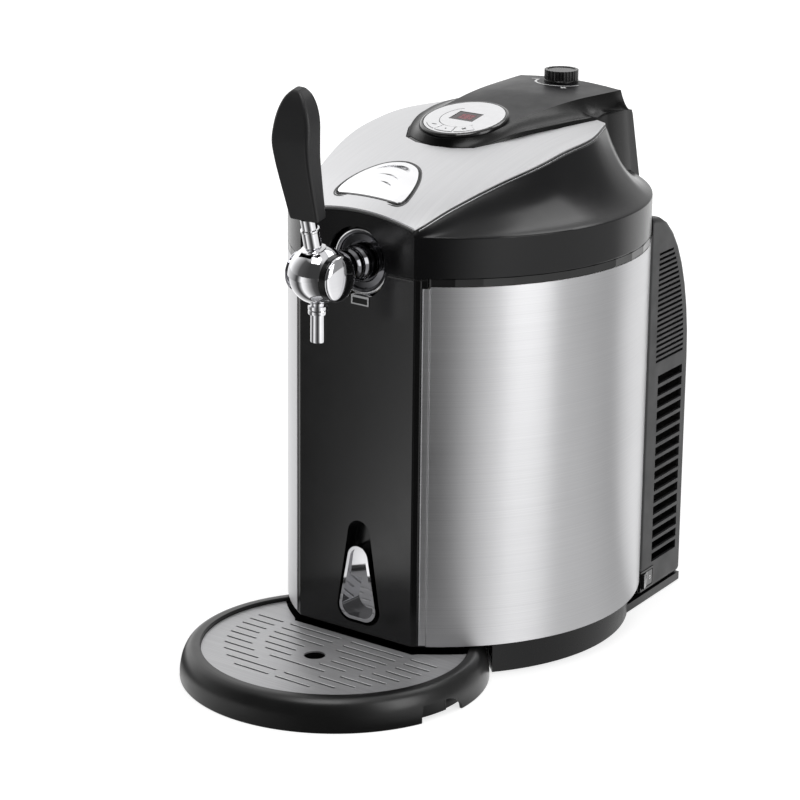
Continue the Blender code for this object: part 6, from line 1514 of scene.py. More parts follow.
def lid_solid(name, spread_by):
    """The lid as one block, grown a little, to cut the console's underside with."""
    stack = fine_lid_rings(-spread_by, -spread_by)
    rows = len(lid_rows()) - 1
    flat = [0.0] * (rows + 1)
    verts = []
    faces = []
    for low, high in zip(stack, stack[1:]):
        add_band(verts, faces, low, high, False)
    add_cap(verts, faces, cap_rows(stack[-1], rows, LID_COLUMNS, lid_crowns()), False)
    add_cap(verts, faces, cap_rows(stack[0], rows, LID_COLUMNS, flat), True)
    return mesh_object(name, verts, faces)


def well_cutter(name, radius, low, high):
    return rod(name, (0, low, TAP_HEIGHT), "Y", high - low, radius, steps=CIRCLE_STEPS)


def show_lid():
    outer = fine_lid_rings(0.0, 0.0)
    inner = fine_lid_rings(LID_WALL, LID_WALL)
    rows = len(lid_rows()) - 1
    item = loft_shell("lid_shell", outer, inner, rows, LID_COLUMNS, lid_crowns())
    well = well_cutter("well", WELL_RADIUS, -BODY_FRONT - OVERRUN, -BODY_FRONT + LID_WALL + OVERRUN)
    button = slab("button_hole", soft_button(MOVING_GAP), BAND_TOP, CONSOLE_TOP)
    cut(item, well, button)
    for side in (-1, 1):
        join(item, hinge_knuckle(side))
    place(item, "lid", LID_BLACK, ("lid_shell",), split=24.0)
    show_cover_beads()
    show_front_lip()


def flank_line(distance):
    """Line along the right-hand flank, a set distance below the cover's edge."""
    out = []
    steps = 60
    for y in lid_rows():
        if y > COVER_TIP:
            break
        edge, height = lid_edge(y)
        height -= COVER_SHEET + GAP
        last = Vector(flank_point(side_x(y), y, edge, height, 1.0))
        left = distance
        for i in range(1, steps + 1):
            point = Vector(flank_point(side_x(y), y, edge, height, 1 - i / steps))
            step = (point - last).length
            if step >= left:
                out.append(tuple(last + (point - last) * left / step))
                break
            left -= step
            last = point
    return out


def show_cover_beads():
    """Dark bead painting the shade of the gap, thin bright bead painting a highlight line, and dark
    foot, that the silver cover sits on, down both edges.
    """
    # The gap bead is painted shade and the rim bead is a painted highlight, not a real rim
    looks = {"gap": TRIM_AND_GAP_SHADE_BLACK, "rim": SILVER_RIM_AND_HIGHLIGHT, "foot": TRIM_AND_GAP_SHADE_BLACK}
    for tag, distance, radius in COVER_SHADE_AND_HIGHLIGHT_BEADS:
        for side, hand in ((-1, "left"), (1, "right")):
            line = [(side * x, y, z) for x, y, z in flank_line(distance)][2:]
            item = tube(f"cover_{tag}_{hand}", line, radius)
            place(item, "lid", looks[tag], ("lid_shell",), split=60.0)


def show_front_lip():
    """Grey bead under the cover's front edge, painting the shade on it."""
    edge, height = lid_edge(-BODY_FRONT)
    steps = 60
    line = []
    for i in range(steps + 1):
        share = 2 * i / steps - 1
        line.append((edge * share * LIP_REACH_SHARE, -BODY_FRONT + LIP_SINK,
                     height + LID_CROWN * (1 - share ** 2) - COVER_SHEET
                     - LIP_RADIUS * LIP_DROP_SHARE))
    item = tube("cover_front_lip", line, LIP_RADIUS)
    place(item, "lid", GREY_SHADE_AND_HIGHLIGHT, ("lid_shell",), split=60.0)


def cover_table(inset_y, columns):
    places = [y for y in lid_rows() if y < COVER_TIP] + [COVER_TIP]
    places[0] += inset_y
    table = []
    for y in places:
        edge, height = lid_edge(y)
        row = []
        for j in range(columns + 1):
            share = 1 - 2 * j / columns
            row.append(((edge - GAP) * share, y, height + LID_CROWN * (1 - share ** 2)))
        table.append(row)
    return table


def show_cover():
    item = sheet("lid_cover", cover_table(GAP, 40), COVER_SHEET)
    base = slab("console_hole", console_plan(GAP), BAND_TOP, CONSOLE_TOP)
    button = slab("button_hole", soft_button(MOVING_GAP), BAND_TOP, CONSOLE_TOP)
    cut(item, base, button)
    place(item, "lid", SILVER, ("lid_cover",), bevel=0.00035, segments=2,
          split=40.0)


# Release button

def walked(points, distance):
    """The place a set distance along the points, and the points beyond it."""
    left = distance
    for i, (a, c) in enumerate(zip(points, points[1:])):
        step = (Vector(c) - Vector(a)).length
        if step > left:
            return tuple(Vector(a) + (Vector(c) - Vector(a)) * left / step), points[i + 1:]
        left -= step
    return points[-1], points[-1:]


def soft_button(spread, steps=8):
    """The button's plan with its two front corners rounded off."""
    plan = button_outline(spread)
    reach = BUTTON_CORNER + spread
    half = len(plan) // 2 + 1
    corner = plan[0]
    before = (corner[0] - reach, corner[1])
    after, rest = walked(plan[:half], reach)
    bend = []
    for i in range(steps + 1):
        s = i / steps
        bend.append(tuple((1 - s) ** 2 * a + 2 * s * (1 - s) * m + s * s * c
                          for a, m, c in zip(before, corner, after)))
    right = bend + list(rest)
    return right + [(-x, y) for x, y in reversed(right[:-1])]


def show_button_rings():
    # Painted shade: the ring tagged seal darkens the gap round the button, the lip ring greys the
    # cover's rim
    looks = {"seal": TRIM_AND_GAP_SHADE_BLACK, "lip": GREY_SHADE_AND_HIGHLIGHT}
    for tag, distance, radius in BUTTON_SHADE_RINGS:
        plan = soft_button(distance)
        line = [(x, y, cover_z(x, y) - radius * RING_SINK_SHARE) for x, y in plan + plan[:2]]
        item = tube("button_" + tag, line, radius)
        place(item, "lid", looks[tag], ("lid_cover",), split=60.0)


def cover_grid(half, front, rear, lift, count):
    """Table of points that follow the cover's face at a height above it."""
    table = []
    for i in range(count + 1):
        y = max(front + (rear - front) * i / count, -BODY_FRONT)
        places = [half * (1 - 2 * j / count) for j in range(count + 1)]
        table.append([(x, y, cover_z(x, y) + lift) for x in places])
    return table


def show_button():
    outline = soft_button(0.0)
    front = min(y for _, y in outline) - OVERRUN
    rear = max(y for _, y in outline) + OVERRUN
    table = cover_grid(BUTTON_HALF_WIDTH * BUTTON_GRID_SHARE, front, rear, BUTTON_PROUD,
                       BUTTON_GRID_STEPS)
    item = sheet("release_button", table, BUTTON_DEPTH)
    plan = slab("button_plan", outline, BAND_TOP, CONSOLE_TOP)
    combine(item, plan, "INTERSECT")
    cut(item, *button_scoops())
    place(item, "button", BUTTON_SILVER, ("release_button",), bevel=0.0009, segments=4,
          split=45.0)


def crescent(centre, radius, width, start_deg, end_deg, steps=28):
    """Plan of a curved sliver that thins to nothing at both ends."""
    outer = []
    inner = []
    for i in range(steps + 1):
        share = i / steps
        angle = math.radians(start_deg + (end_deg - start_deg) * share)
        thick = width * math.sin(math.pi * share) + SLIVER_TIP
        outer.append((centre[0] + radius * math.cos(angle), centre[1] + radius * math.sin(angle)))
        inner.append((centre[0] + (radius - thick) * math.cos(angle),
                      centre[1] + (radius - thick) * math.sin(angle)))
    return outer + inner[::-1]


def button_scoops():
    """Shallow scoops in the button: a crescent near its apex and two relief lines."""
    out = []
    for name, centre, radius, width, start_deg, end_deg, depth in SCOOPS:
        outline = crescent(centre, radius, width, start_deg, end_deg)
        ys = [y for _, y in outline]
        rows = cover_grid(SCOOP_HALF_WIDTH, min(ys) - SCOOP_MARGIN, max(ys) + SCOOP_MARGIN,
                          BUTTON_PROUD + SCOOP_CLEAR, SCOOP_STEPS)
        blade = sheet("scoop_" + name, rows, SCOOP_CLEAR + depth)
        plan = slab("scoop_plan_" + name, outline, BAND_TOP, CONSOLE_TOP)
        out.append(combine(blade, plan, "INTERSECT"))
    return out


# Console

def fine(points, steps=4):
    return spline_through(points, steps)[steps:]


def console_sections():
    foot = fine(console_foot())
    ridge = fine(console_line(console_ridge_shares, CONSOLE_RIDGE_HALF_WIDTH, CONSOLE_RIDGE_NOSE,
                              CONSOLE_RIDGE_REAR))
    rises = [p[0] for p in fine([(r, 0.0) for r in console_lip_rise_shares])]
    return foot, ridge, rises


def fine_console_rings(inset, sink):
    """Rings from the console's foot over its lip and scooped flank to the ridge."""
    foot, ridge, rises = console_sections()
    low = []
    under = []
    lip = []
    flank = [[] for _ in CONSOLE_LEVELS]
    high = []
    for (fx, fy), (rx, ry), rise in zip(foot, ridge, rises):
        bottom = foot_z(fx, fy)
        top = ridge_z(ry)
        edge = (fx + (rx - fx) * LIP_INWARD_SHARE, fy + (ry - fy) * rise * LIP_BACK_SHARE,
                bottom + (top - bottom) * rise)
        low.append((fx, fy, bottom))
        under.append(tuple(a + (b - a) * LIP_UNDER_SHARE for a, b in zip((fx, fy, bottom), edge)))
        lip.append(edge)
        for rows, t in zip(flank, CONSOLE_LEVELS):
            start = FLANK_START_SHARE + t * (1 - FLANK_START_SHARE)
            sag = 4 * start * (1 - start) * (top - edge[2]) * console_scoop_sink_share
            rows.append((edge[0] + (rx - edge[0]) * start, edge[1] + (ry - edge[1]) * start,
                         edge[2] + (top - edge[2]) * start - sag))
        high.append((rx, ry, top))
    bow = CONSOLE_HALF_WIDTH * NOSE_BOW_SHARE
    fall = -bow * math.tan(DISPLAY_TILT) - GAP
    stack = [ring(p, CONSOLE_COLUMNS, fall, bow) for p in (low, under, *flank, high)]
    if not inset:
        return stack
    stack.pop(1)
    return [inset_ring(points, inset, 0 if i == 0 else sink) for i, points in enumerate(stack)]


def console_crown(y):
    """The console's top is flat at the display and swells to its crown behind it."""
    seat_end = DISPLAY_CENTRE + DISPLAY_RADIUS + DISPLAY_RING_WIDTH
    share = (y - seat_end) / (CONSOLE_RIDGE_REAR - seat_end)
    return CONSOLE_CROWN * min(max(share * CROWN_RISE, 0.0), 1.0)


def console_top_z(x, y):
    """Height of the console's crowned top at a place."""
    _, ridge, _ = console_sections()
    half = CONSOLE_RIDGE_HALF_WIDTH
    for (x0, y0), (x1, y1) in zip(ridge, ridge[1:]):
        if y0 <= y <= y1 and y1 > y0:
            half = x0 + (x1 - x0) * (y - y0) / (y1 - y0)
    return ridge_z(y) + console_crown(y) * (1 - (x / half) ** 2)


def show_console():
    outer = fine_console_rings(0.0, 0.0)
    inner = fine_console_rings(CONSOLE_WALL, CONSOLE_WALL)
    top = outer[-1]
    rows = (len(top) - 2 * CONSOLE_COLUMNS) // 2
    crowns = [console_crown(top[i][1]) for i in range(rows + 1)]
    item = loft_shell("lid_console", outer, inner, rows, CONSOLE_COLUMNS, crowns)
    shaft = rod("shaft_hole", (0, KNOB_Y, BAND_TOP), "Z", CONSOLE_TOP - BAND_TOP + LID_CROWN,
                KNOB_SHAFT_RADIUS + SHAFT_GAP)
    wiring = on_display(rod("wiring_hole", (0, 0, 0), "-Z", LID_TOP_RISE / 2, WINDOW_WIDTH / 2),
                        -DISPLAY_RING_HEIGHT + OVERRUN / 2)
    cut(item, shaft, wiring, lid_solid("lid_room", GAP))
    place(item, "lid", CONSOLE_BLACK, ("lid_console",), bevel=0.0007, segments=3,
          split=30.0, angle=28.0)


# Display

def flat_mark(name, outline, look, lift, thick, body, node):
    """A thin painted shape on the display's tilted face."""
    item = slab(name, outline, 0.0, thick)
    on_display(item, lift)
    place(item, body, look, (node,), split=60.0, soft=False, name=name + "_look")


def bar(x0, y0, x1, y1, width):
    """Plan of a straight stroke."""
    direction = Vector((x1 - x0, y1 - y0)).normalized()
    side = Vector((-direction.y, direction.x)) * width / 2
    return [(x0 + side.x, y0 + side.y), (x0 - side.x, y0 - side.y), (x1 - side.x, y1 - side.y),
            (x1 + side.x, y1 + side.y)]


def show_display():
    inner = DISPLAY_RADIUS + GAP
    outer = inner + DISPLAY_RING_WIDTH
    tall = DISPLAY_RING_HEIGHT
    profile = ([(inner, GAP)] + [(inner + a, tall - b) for a, b in RING_INNER_EDGE]
               + [(outer - a, tall - b) for a, b in RING_OUTER_EDGE] + [(outer, GAP), (inner, GAP)])
    band = turned("display_ring", profile, (0, 0, 0), "Z")
    band.matrix_basis = display_matrix(-tall) @ band.matrix_basis
    place(band, "lid", GLOSS_BLACK, ("display_ring",), bevel=0.0002, split=50.0)
    holes = [key_outline(FRONT_DEG + KEY_PITCH_DEG * k, GAP) for _, k in KEY_NAMES]
    plate = slab("display_plate", circle(DISPLAY_RADIUS), -DISPLAY_PLATE, 0.0,
                 holes=(window_outline(GAP), *holes))
    on_display(plate, 0.0)
    place(plate, "lid", PLATE_SILVER, ("display_plate",), bevel=0.00025, segments=2,
          split=40.0)
    window = slab("display_window", window_outline(0.0), -DISPLAY_PLATE, -GAP)
    on_display(window, 0.0)
    place(window, "lid", LENS, ("display_window",), bevel=0.0002, split=40.0)
    for name, k in KEY_NAMES:
        show_key(name, FRONT_DEG + KEY_PITCH_DEG * k)
    flat_mark("seam_line", arc_plan(SEAM_RADIUS, SEAM_WIDTH, *SEAM_SPAN_DEG), INK, INK_LIFT,
              INK_THICK, "lid", "display_plate")
    show_digits()


def show_key(name, middle_deg):
    key = slab(name, key_outline(middle_deg, 0.0), -DISPLAY_PLATE + KEY_TRAVEL, BUTTON_PROUD / 2)
    on_display(key, 0.0)
    body = name.replace("key_", "") + "_key"
    place(key, body, PLATE_SILVER, (name,), bevel=0.0003, segments=2,
          split=40.0)
    show_key_mark(name, body, middle_deg)


def arc_plan(radius, width, start_deg, end_deg, steps=60):
    """Plan of a thin curved stroke of even width."""
    inner = []
    outer = []
    for i in range(steps + 1):
        angle = math.radians(start_deg + (end_deg - start_deg) * i / steps)
        inner.append((radius * math.cos(angle), radius * math.sin(angle)))
        outer.append(((radius + width) * math.cos(angle), (radius + width) * math.sin(angle)))
    return inner[::-1] + outer


def show_key_mark(name, body, middle_deg):
    """Plain minus, dot or plus in the middle of a key."""
    angle = math.radians(middle_deg)
    middle = (KEY_INNER_RADIUS + KEY_OUTER_RADIUS) / 2
    cx = middle * math.cos(angle)
    cy = middle * math.sin(angle)
    level_bar = bar(cx - KEY_MARK_REACH, cy, cx + KEY_MARK_REACH, cy, KEY_MARK_WIDTH)
    upright_bar = bar(cx, cy - KEY_MARK_REACH, cx, cy + KEY_MARK_REACH, KEY_MARK_WIDTH)
    strokes = {"key_minus": [level_bar], "key_plus": [level_bar, upright_bar],
               "key_mode": [circle(KEY_DOT_RADIUS, (cx, cy), 24)]}[name]
    for i, outline in enumerate(strokes):
        flat_mark(f"{name}_mark_{i}", outline, INK, BUTTON_PROUD / 2 + INK_LIFT + i * INK_STEP,
                  INK_THICK, body, name)


def show_digits():
    """Two seven-segment figures under the lens, plain and dim."""
    shift = WINDOW_DEPTH * WINDOW_SHIFT_SHARE
    for tag, left in (("left", LEFT_DIGIT_X), ("right", RIGHT_DIGIT_X)):
        for key, (x0, y0, x1, y1) in SEGMENTS.items():
            a = (left + x0 * DIGIT_WIDTH, shift - DIGIT_HEIGHT + y0 * DIGIT_HEIGHT)
            b = (left + x1 * DIGIT_WIDTH, shift - DIGIT_HEIGHT + y1 * DIGIT_HEIGHT)
            dx = SEGMENT_TRIM if x1 != x0 else 0.0
            dy = SEGMENT_TRIM if y1 != y0 else 0.0
            stroke = bar(a[0] + dx, a[1] + dy, b[0] - dx, b[1] - dy, SEGMENT_WIDTH)
            flat_mark(f"segment_{tag}_{key}", stroke, SEGMENT_OFF, -GAP + SEGMENT_LIFT,
                      SEGMENT_THICK, "lid", "display_window")
    reach = WINDOW_DEPTH * GLOW_SHARE
    right = WINDOW_WIDTH * GLOW_SHARE
    glow = [(GLOW_LEFT, shift - reach), (right, shift - reach), (right, shift + reach),
            (GLOW_LEFT, shift + reach)]
    flat_mark("lens_glow", glow, SEGMENT, -GAP + GLOW_LIFT, GLOW_THICK, "lid", "display_window")


# Regulator knob and its scale

def show_knob():
    base = ridge_z(KNOB_Y) + CONSOLE_CROWN + KNOB_LIFT
    size = len(KNOB_RIB_SHARES)
    outline = []
    for i in range(KNOB_RIBS * size):
        radius = KNOB_RADIUS * KNOB_RIB_SHARES[i % size]
        angle = math.pi * 2 * i / (KNOB_RIBS * size)
        outline.append((radius * math.cos(angle), radius * math.sin(angle)))
    item = slab("regulator_knob", outline, 0.0, KNOB_HEIGHT)
    item.location = (0, KNOB_Y, base + KNOB_HEIGHT / 2)
    foot = -KNOB_LIFT + GAP * 2
    flare = [(KNOB_RADIUS * a, KNOB_HEIGHT * b) for a, b in KNOB_SKIRT_SHARES]
    skirt = turned("knob_skirt", flare + [(flare[-1][0], foot), (0, foot)], (0, KNOB_Y, base), "Z")
    dish = turned("knob_dish", [(KNOB_RADIUS * a, KNOB_HEIGHT * b) for a, b in KNOB_DISH_SHARES],
                  (0, KNOB_Y, base + KNOB_HEIGHT * KNOB_DISH_FLOOR_SHARE), "Z")
    bore = rod("knob_bore", (0, KNOB_Y, ridge_z(KNOB_Y) - OVERRUN), "Z",
               CONSOLE_CROWN + KNOB_LIFT + KNOB_HEIGHT * KNOB_BORE_SHARE + OVERRUN,
               KNOB_SHAFT_RADIUS + SHAFT_GAP)
    cut(join(item, skirt), dish, bore)
    place(item, "knob", KNOB_BLACK, ("regulator_knob",), bevel=0.0003, segments=2,
          split=38.0)
    show_scale()


def surface_mark(name, outline, look):
    """A thin painted mark that follows the console's crowned top."""
    item = slab(name, outline, 0.0, MARK_SHEET)
    mesh = baked(item)
    bpy.data.objects.remove(item, do_unlink=True)
    shape = bmesh.new()
    shape.from_mesh(mesh)
    bmesh.ops.triangulate(shape, faces=[f for f in shape.faces if len(f.verts) > 4])
    for vert in shape.verts:
        top = vert.co.z > MARK_SHEET / 2
        ground = console_top_z(vert.co.x, vert.co.y + MIDDLE_Y)
        vert.co.z = ground + (MARK_PROUD if top else -MARK_SINK)
    shape.to_mesh(mesh)
    shape.free()
    mesh.materials.clear()
    mesh.materials.append(look)
    shown = bpy.data.objects.new(name, mesh)
    group(LOOKS).objects.link(shown)
    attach(shown, "lid")
    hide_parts("lid_console")
    return shown


def show_scale():
    """Arc that widens like a wedge round the knob, with plain marks at its ends."""
    inner = KNOB_RADIUS * SCALE_RADIUS_SHARE
    steps = 60
    outer_line = []
    inner_line = []
    for i in range(steps + 1):
        share = i / steps
        angle = math.radians(SCALE_START_DEG + SCALE_SPAN_DEG * share)
        thick = SCALE_THIN + SCALE_SWELL * (1 - share) ** 1.5
        inner_line.append((inner * math.cos(angle), KNOB_Y + inner * math.sin(angle)))
        outer_line.append(((inner + thick) * math.cos(angle),
                           KNOB_Y + (inner + thick) * math.sin(angle)))
    surface_mark("scale_arc_mark", inner_line + outer_line[::-1], WHITE_INK)
    far = inner + SCALE_END_STEP
    reach = SCALE_MARK_REACH
    for i, deg in enumerate(SCALE_END_DEG):
        angle = math.radians(deg)
        cx = far * math.cos(angle)
        cy = KNOB_Y + far * math.sin(angle)
        surface_mark(f"scale_end_mark_{i}", bar(cx - reach, cy, cx + reach, cy, SCALE_MARK_WIDTH),
                     WHITE_INK)
        if i:
            surface_mark("scale_plus_mark", bar(cx, cy - reach, cx, cy + reach, SCALE_MARK_WIDTH),
                         WHITE_INK)


# Tap

def sphere(name, radius):
    """A ball at the tap's centre."""
    shape = bmesh.new()
    bmesh.ops.create_uvsphere(shape, u_segments=96, v_segments=48, radius=radius)
    item = object_from(name, shape)
    item.location = (0, TAP_BALL_Y, TAP_HEIGHT)
    return item


def show_tap_fixed():
    plate_y = -BODY_FRONT + FLANGE_RECESS + FLANGE_THICK + GAP
    flange_y = -BODY_FRONT + FLANGE_RECESS
    bore = SHANK_TAIL_RADIUS + GAP
    plate = rod("tap_back_plate", (0, plate_y, TAP_HEIGHT), "Y", WELL_PLATE_THICK,
                WELL_PLATE_RADIUS, steps=CIRCLE_STEPS)
    cut(plate, rod("plate_bore", (0, plate_y - OVERRUN, TAP_HEIGHT), "Y",
                   WELL_PLATE_THICK + 2 * OVERRUN, bore))
    place(plate, "cabinet", TRIM_AND_GAP_SHADE_BLACK, ("tap_back_plate",), bevel=0.0004)
    show_tap_flange(flange_y, bore)
    show_flange_rim(flange_y)
    show_flange_hook(flange_y)
    show_tap_shank(flange_y, plate_y + WELL_PLATE_THICK + SHANK_TAIL_LENGTH)


def show_tap_flange(flange_y, bore):
    """Dished disc with a raised rim and a short tongue below it."""
    hub = [(SHANK_RADIUS + step, FLANGE_THICK * share) for step, share in FLANGE_HUB]
    dish = [(FLANGE_RADIUS - step, FLANGE_THICK * share) for step, share in FLANGE_DISH]
    flange = turned("tap_flange", [(bore, FLANGE_THICK)] + hub + dish
                    + [(bore, 0), (bore, FLANGE_THICK)],
                    (0, flange_y + FLANGE_THICK, TAP_HEIGHT), "-Y")
    half = FLANGE_RADIUS * TONGUE_HALF_SHARE
    tongue = box("flange_tab", (-half, flange_y, TAP_HEIGHT - FLANGE_RADIUS - TONGUE_DROP),
                 (half, flange_y + FLANGE_THICK, TAP_HEIGHT - FLANGE_RADIUS * TONGUE_TOP_SHARE))
    join(flange, tongue)
    # Darkened chrome: painted shade on the flange
    place(flange, "cabinet", SHADED_CHROME, ("tap_flange",), bevel=0.0005, segments=3,
          split=40.0)


def show_tap_shank(flange_y, tail_end):
    """Neck of four stepped rings between the flange and the tap's ball, and its tail."""
    length = flange_y - GAP - (TAP_BALL_Y + TAP_BALL_RADIUS * SHANK_FRONT_SHARE)
    groove = SHANK_RADIUS * SHANK_GROOVE_SHARE
    profile = [(0, length)]
    for i in range(SHANK_RINGS):
        top = length * (1 - i / SHANK_RINGS)
        bottom = length * (1 - (i + 1) / SHANK_RINGS)
        radius = SHANK_RADIUS - SHANK_RING_STEP * (SHANK_RINGS - 1 - i)
        profile += [(radius * a, top - length * b) for a, b in SHANK_RING_TOP]
        profile += [(radius * a, bottom + length * b) for a, b in SHANK_RING_FOOT]
        profile.append((groove, bottom + length * SHANK_GROOVE_RISE))
    profile += [(groove, 0), (0, 0)]
    shank = turned("tap_shank", profile, (0, flange_y - GAP, TAP_HEIGHT), "-Y")
    cut(shank, sphere("shank_seat", TAP_BALL_RADIUS + GAP))
    tail_start = flange_y - GAP - length * 0.2
    join(shank, rod("shank_tail", (0, tail_start, TAP_HEIGHT), "Y", tail_end - tail_start,
                    SHANK_TAIL_RADIUS))
    # Darkened chrome: painted shade on the shank
    place(shank, "cabinet", SHADED_CHROME, ("tap_shank",), split=40.0)


def show_flange_rim(flange_y):
    """Rolled rim of the flange, in brighter chrome that paints its highlight."""
    line = [(x, flange_y + RIM_SINK, TAP_HEIGHT + z)
            for x, z in circle(FLANGE_RADIUS - RIM_INWARD, (0, 0), CIRCLE_STEPS)]
    rim = tube("flange_rim", line + line[:2], RIM_RADIUS)
    place(rim, "cabinet", HIGHLIGHT_CHROME, ("tap_flange",), split=60.0)


def show_flange_hook(flange_y):
    """Tab that hooks from the flange over the panel below it, with a dark sunk face."""
    face = -BODY_FRONT - TAB_SKIN
    low = TAP_HEIGHT - TAB_LOW
    left = TAB_X - TAB_HALF_WIDTH
    right = TAB_X + TAB_HALF_WIDTH
    top = TAP_HEIGHT - FLANGE_RADIUS * HOOK_TOP_SHARE
    rim_foot = TAP_HEIGHT - FLANGE_RADIUS
    tab = box("flange_hook", (left, face, low), (right, -BODY_FRONT - HOOK_AIR, top))
    join(tab, box("flange_bridge",
                  (left, -BODY_FRONT - HOOK_LAP, TAP_HEIGHT - FLANGE_RADIUS * HOOK_BRIDGE_SHARE),
                  (right, flange_y + FLANGE_THICK / 2, top)))
    trim = TAB_SKIN * 1.1
    cut(tab, box("flange_hook_face", (left + trim, face - OVERRUN, low + trim),
                 (right - trim, face + TAB_SKIN * 0.5, rim_foot - trim)))
    # Brighter chrome: a painted highlight on the hook
    place(tab, "cabinet", HIGHLIGHT_CHROME, ("tap_flange",), bevel=0.00015,
          split=40.0)
    near, far = (TAB_SKIN * share for share in HOOK_INLAY_SHARES)
    edge = trim * 1.1
    inlay = box("flange_hook_inlay", (left + edge, face + near, low + edge),
                (right - edge, face + far, rim_foot - edge))
    place(inlay, "cabinet", TRIM_AND_GAP_SHADE_BLACK, ("tap_flange",), bevel=0.0001, split=40.0)


def show_tap_body():
    item = sphere("tap_body", TAP_BALL_RADIUS)
    wide = TAP_BALL_RADIUS * 2
    for side in (-1, 1):
        low, high = sorted((side * TAP_CAP_X, side * wide))
        cut(item, box("side_room", (low, TAP_BALL_Y - wide, TAP_HEIGHT - wide),
                      (high, TAP_BALL_Y + wide, TAP_HEIGHT + wide)))
    cut(item, rod("core_room", (-wide, TAP_BALL_Y, TAP_HEIGHT), "X", 2 * wide,
                  TAP_CORE_RADIUS + SHAFT_GAP))
    opening = stem_room(wide)
    cut(item, slab("stem_slot", opening, -STEM_SLOT, STEM_SLOT, plane="YZ"))
    cut(item, rod("outlet_room", (0, TAP_BALL_Y, TAP_HEIGHT), "-Z", wide, SPOUT_RADIUS + GAP))
    place(item, "cabinet", CHROME, ("tap_body",), bevel=0.0006, segments=4,
          split=40.0)
    show_tap_hood(opening)
    show_tap_cap("tap_cap_left", -1, TAP_CAP_RADIUS * LEFT_CAP_SHARE,
                 TAP_CAP_THICK * LEFT_CAP_THICK_SHARE)
    show_tap_seal(opening)
    show_tap_cap("tap_cap_right", 1, TAP_CAP_RADIUS, TAP_CAP_THICK)
    show_tap_spout()


def show_tap_seal(opening):
    """Black ring between the tap's ball and its right-hand cap."""
    seal = rod("tap_seal", (TAP_CAP_X - SEAL_WIDTH, TAP_BALL_Y, TAP_HEIGHT), "X", SEAL_WIDTH,
               SEAL_RADIUS, steps=CIRCLE_STEPS)
    cut(seal, sphere("seal_room", TAP_BALL_RADIUS - SEAL_SINK),
        slab("seal_slot", opening, -STEM_SLOT, STEM_SLOT, plane="YZ"))
    place(seal, "cabinet", TRIM_AND_GAP_SHADE_BLACK, ("tap_body",), bevel=0.0003, split=40.0)


def show_tap_cap(name, side, radius, thick):
    """Domed cap on one end of the tap, with a plug that holds the lever's core."""
    steps = 18
    dome = []
    for i in range(steps):
        a = math.pi / 2 * i / steps
        dome.append((radius * math.sin(a),
                     thick * (CAP_RIM_SHARE + (1 - CAP_RIM_SHARE) * math.cos(a))))
    plug = -thick * CAP_PLUG_SHARE
    profile = dome + [(radius, thick * 0.10), (radius * 0.985, 0), (TAP_CORE_RADIUS, 0),
                      (TAP_CORE_RADIUS, plug), (0, plug)]
    cap = turned(name, profile, (side * (TAP_CAP_X + GAP), TAP_BALL_Y, TAP_HEIGHT),
                 "X" if side > 0 else "-X")
    place(cap, "cabinet", CHROME, (name,), split=50.0)


def show_tap_spout():
    """Outlet tube with a ringed collar under the tap's ball."""
    collar_top = TAP_HEIGHT - TAP_BALL_RADIUS * SPOUT_COLLAR_SHARE - SPOUT_TIP
    collar_low = collar_top - SPOUT_COLLAR_LENGTH
    top = TAP_HEIGHT - TAP_CORE_RADIUS - 2 * GAP - SPOUT_CORE_AIR - SPOUT_TIP
    profile = [(SPOUT_BORE, top), (SPOUT_RADIUS, top), (SPOUT_RADIUS, collar_top - 0.0015)]
    profile += [(SPOUT_COLLAR_RADIUS * a, collar_top - b) for a, b in COLLAR_UPPER]
    profile += [(SPOUT_COLLAR_RADIUS * a, collar_low + b) for a, b in COLLAR_LOWER]
    profile += [(SPOUT_RADIUS, collar_low - 0.0005), (SPOUT_RADIUS * 1.02, 0.0008),
                (SPOUT_RADIUS * 0.98, 0), (SPOUT_BORE * 1.1, 0), (SPOUT_BORE, 0.0006),
                (SPOUT_BORE, top)]
    spout = turned("tap_spout", profile, (0, TAP_BALL_Y, SPOUT_TIP), "Z")
    outer = sphere("spout_seat", TAP_BALL_RADIUS + GAP)
    cut(outer, rod("spout_keep", (0, TAP_BALL_Y, TAP_HEIGHT), "-Z", TAP_BALL_RADIUS * 2,
                   SPOUT_RADIUS + GAP / 2))
    cut(spout, outer)
    place(spout, "cabinet", CHROME, ("tap_spout",), split=40.0)


def stem_room(reach):
    """Side view of the room the stem sweeps through, from the core outwards."""
    out = []
    for sign in (1, -1):
        lean = math.radians(TAP_TILT_DEG + sign * (TAP_OPEN_DEG + 1.0))
        along = Vector((-math.sin(lean), math.cos(lean)))
        side = Vector((-math.cos(lean), -math.sin(lean))) * sign * STEM_SLOT
        start = Vector((TAP_BALL_Y, TAP_HEIGHT)) + side + along * TAP_CORE_RADIUS * 0.6
        stop = start + along * reach
        out += [tuple(start), tuple(stop)] if sign > 0 else [tuple(stop), tuple(start)]
    return out[::-1]


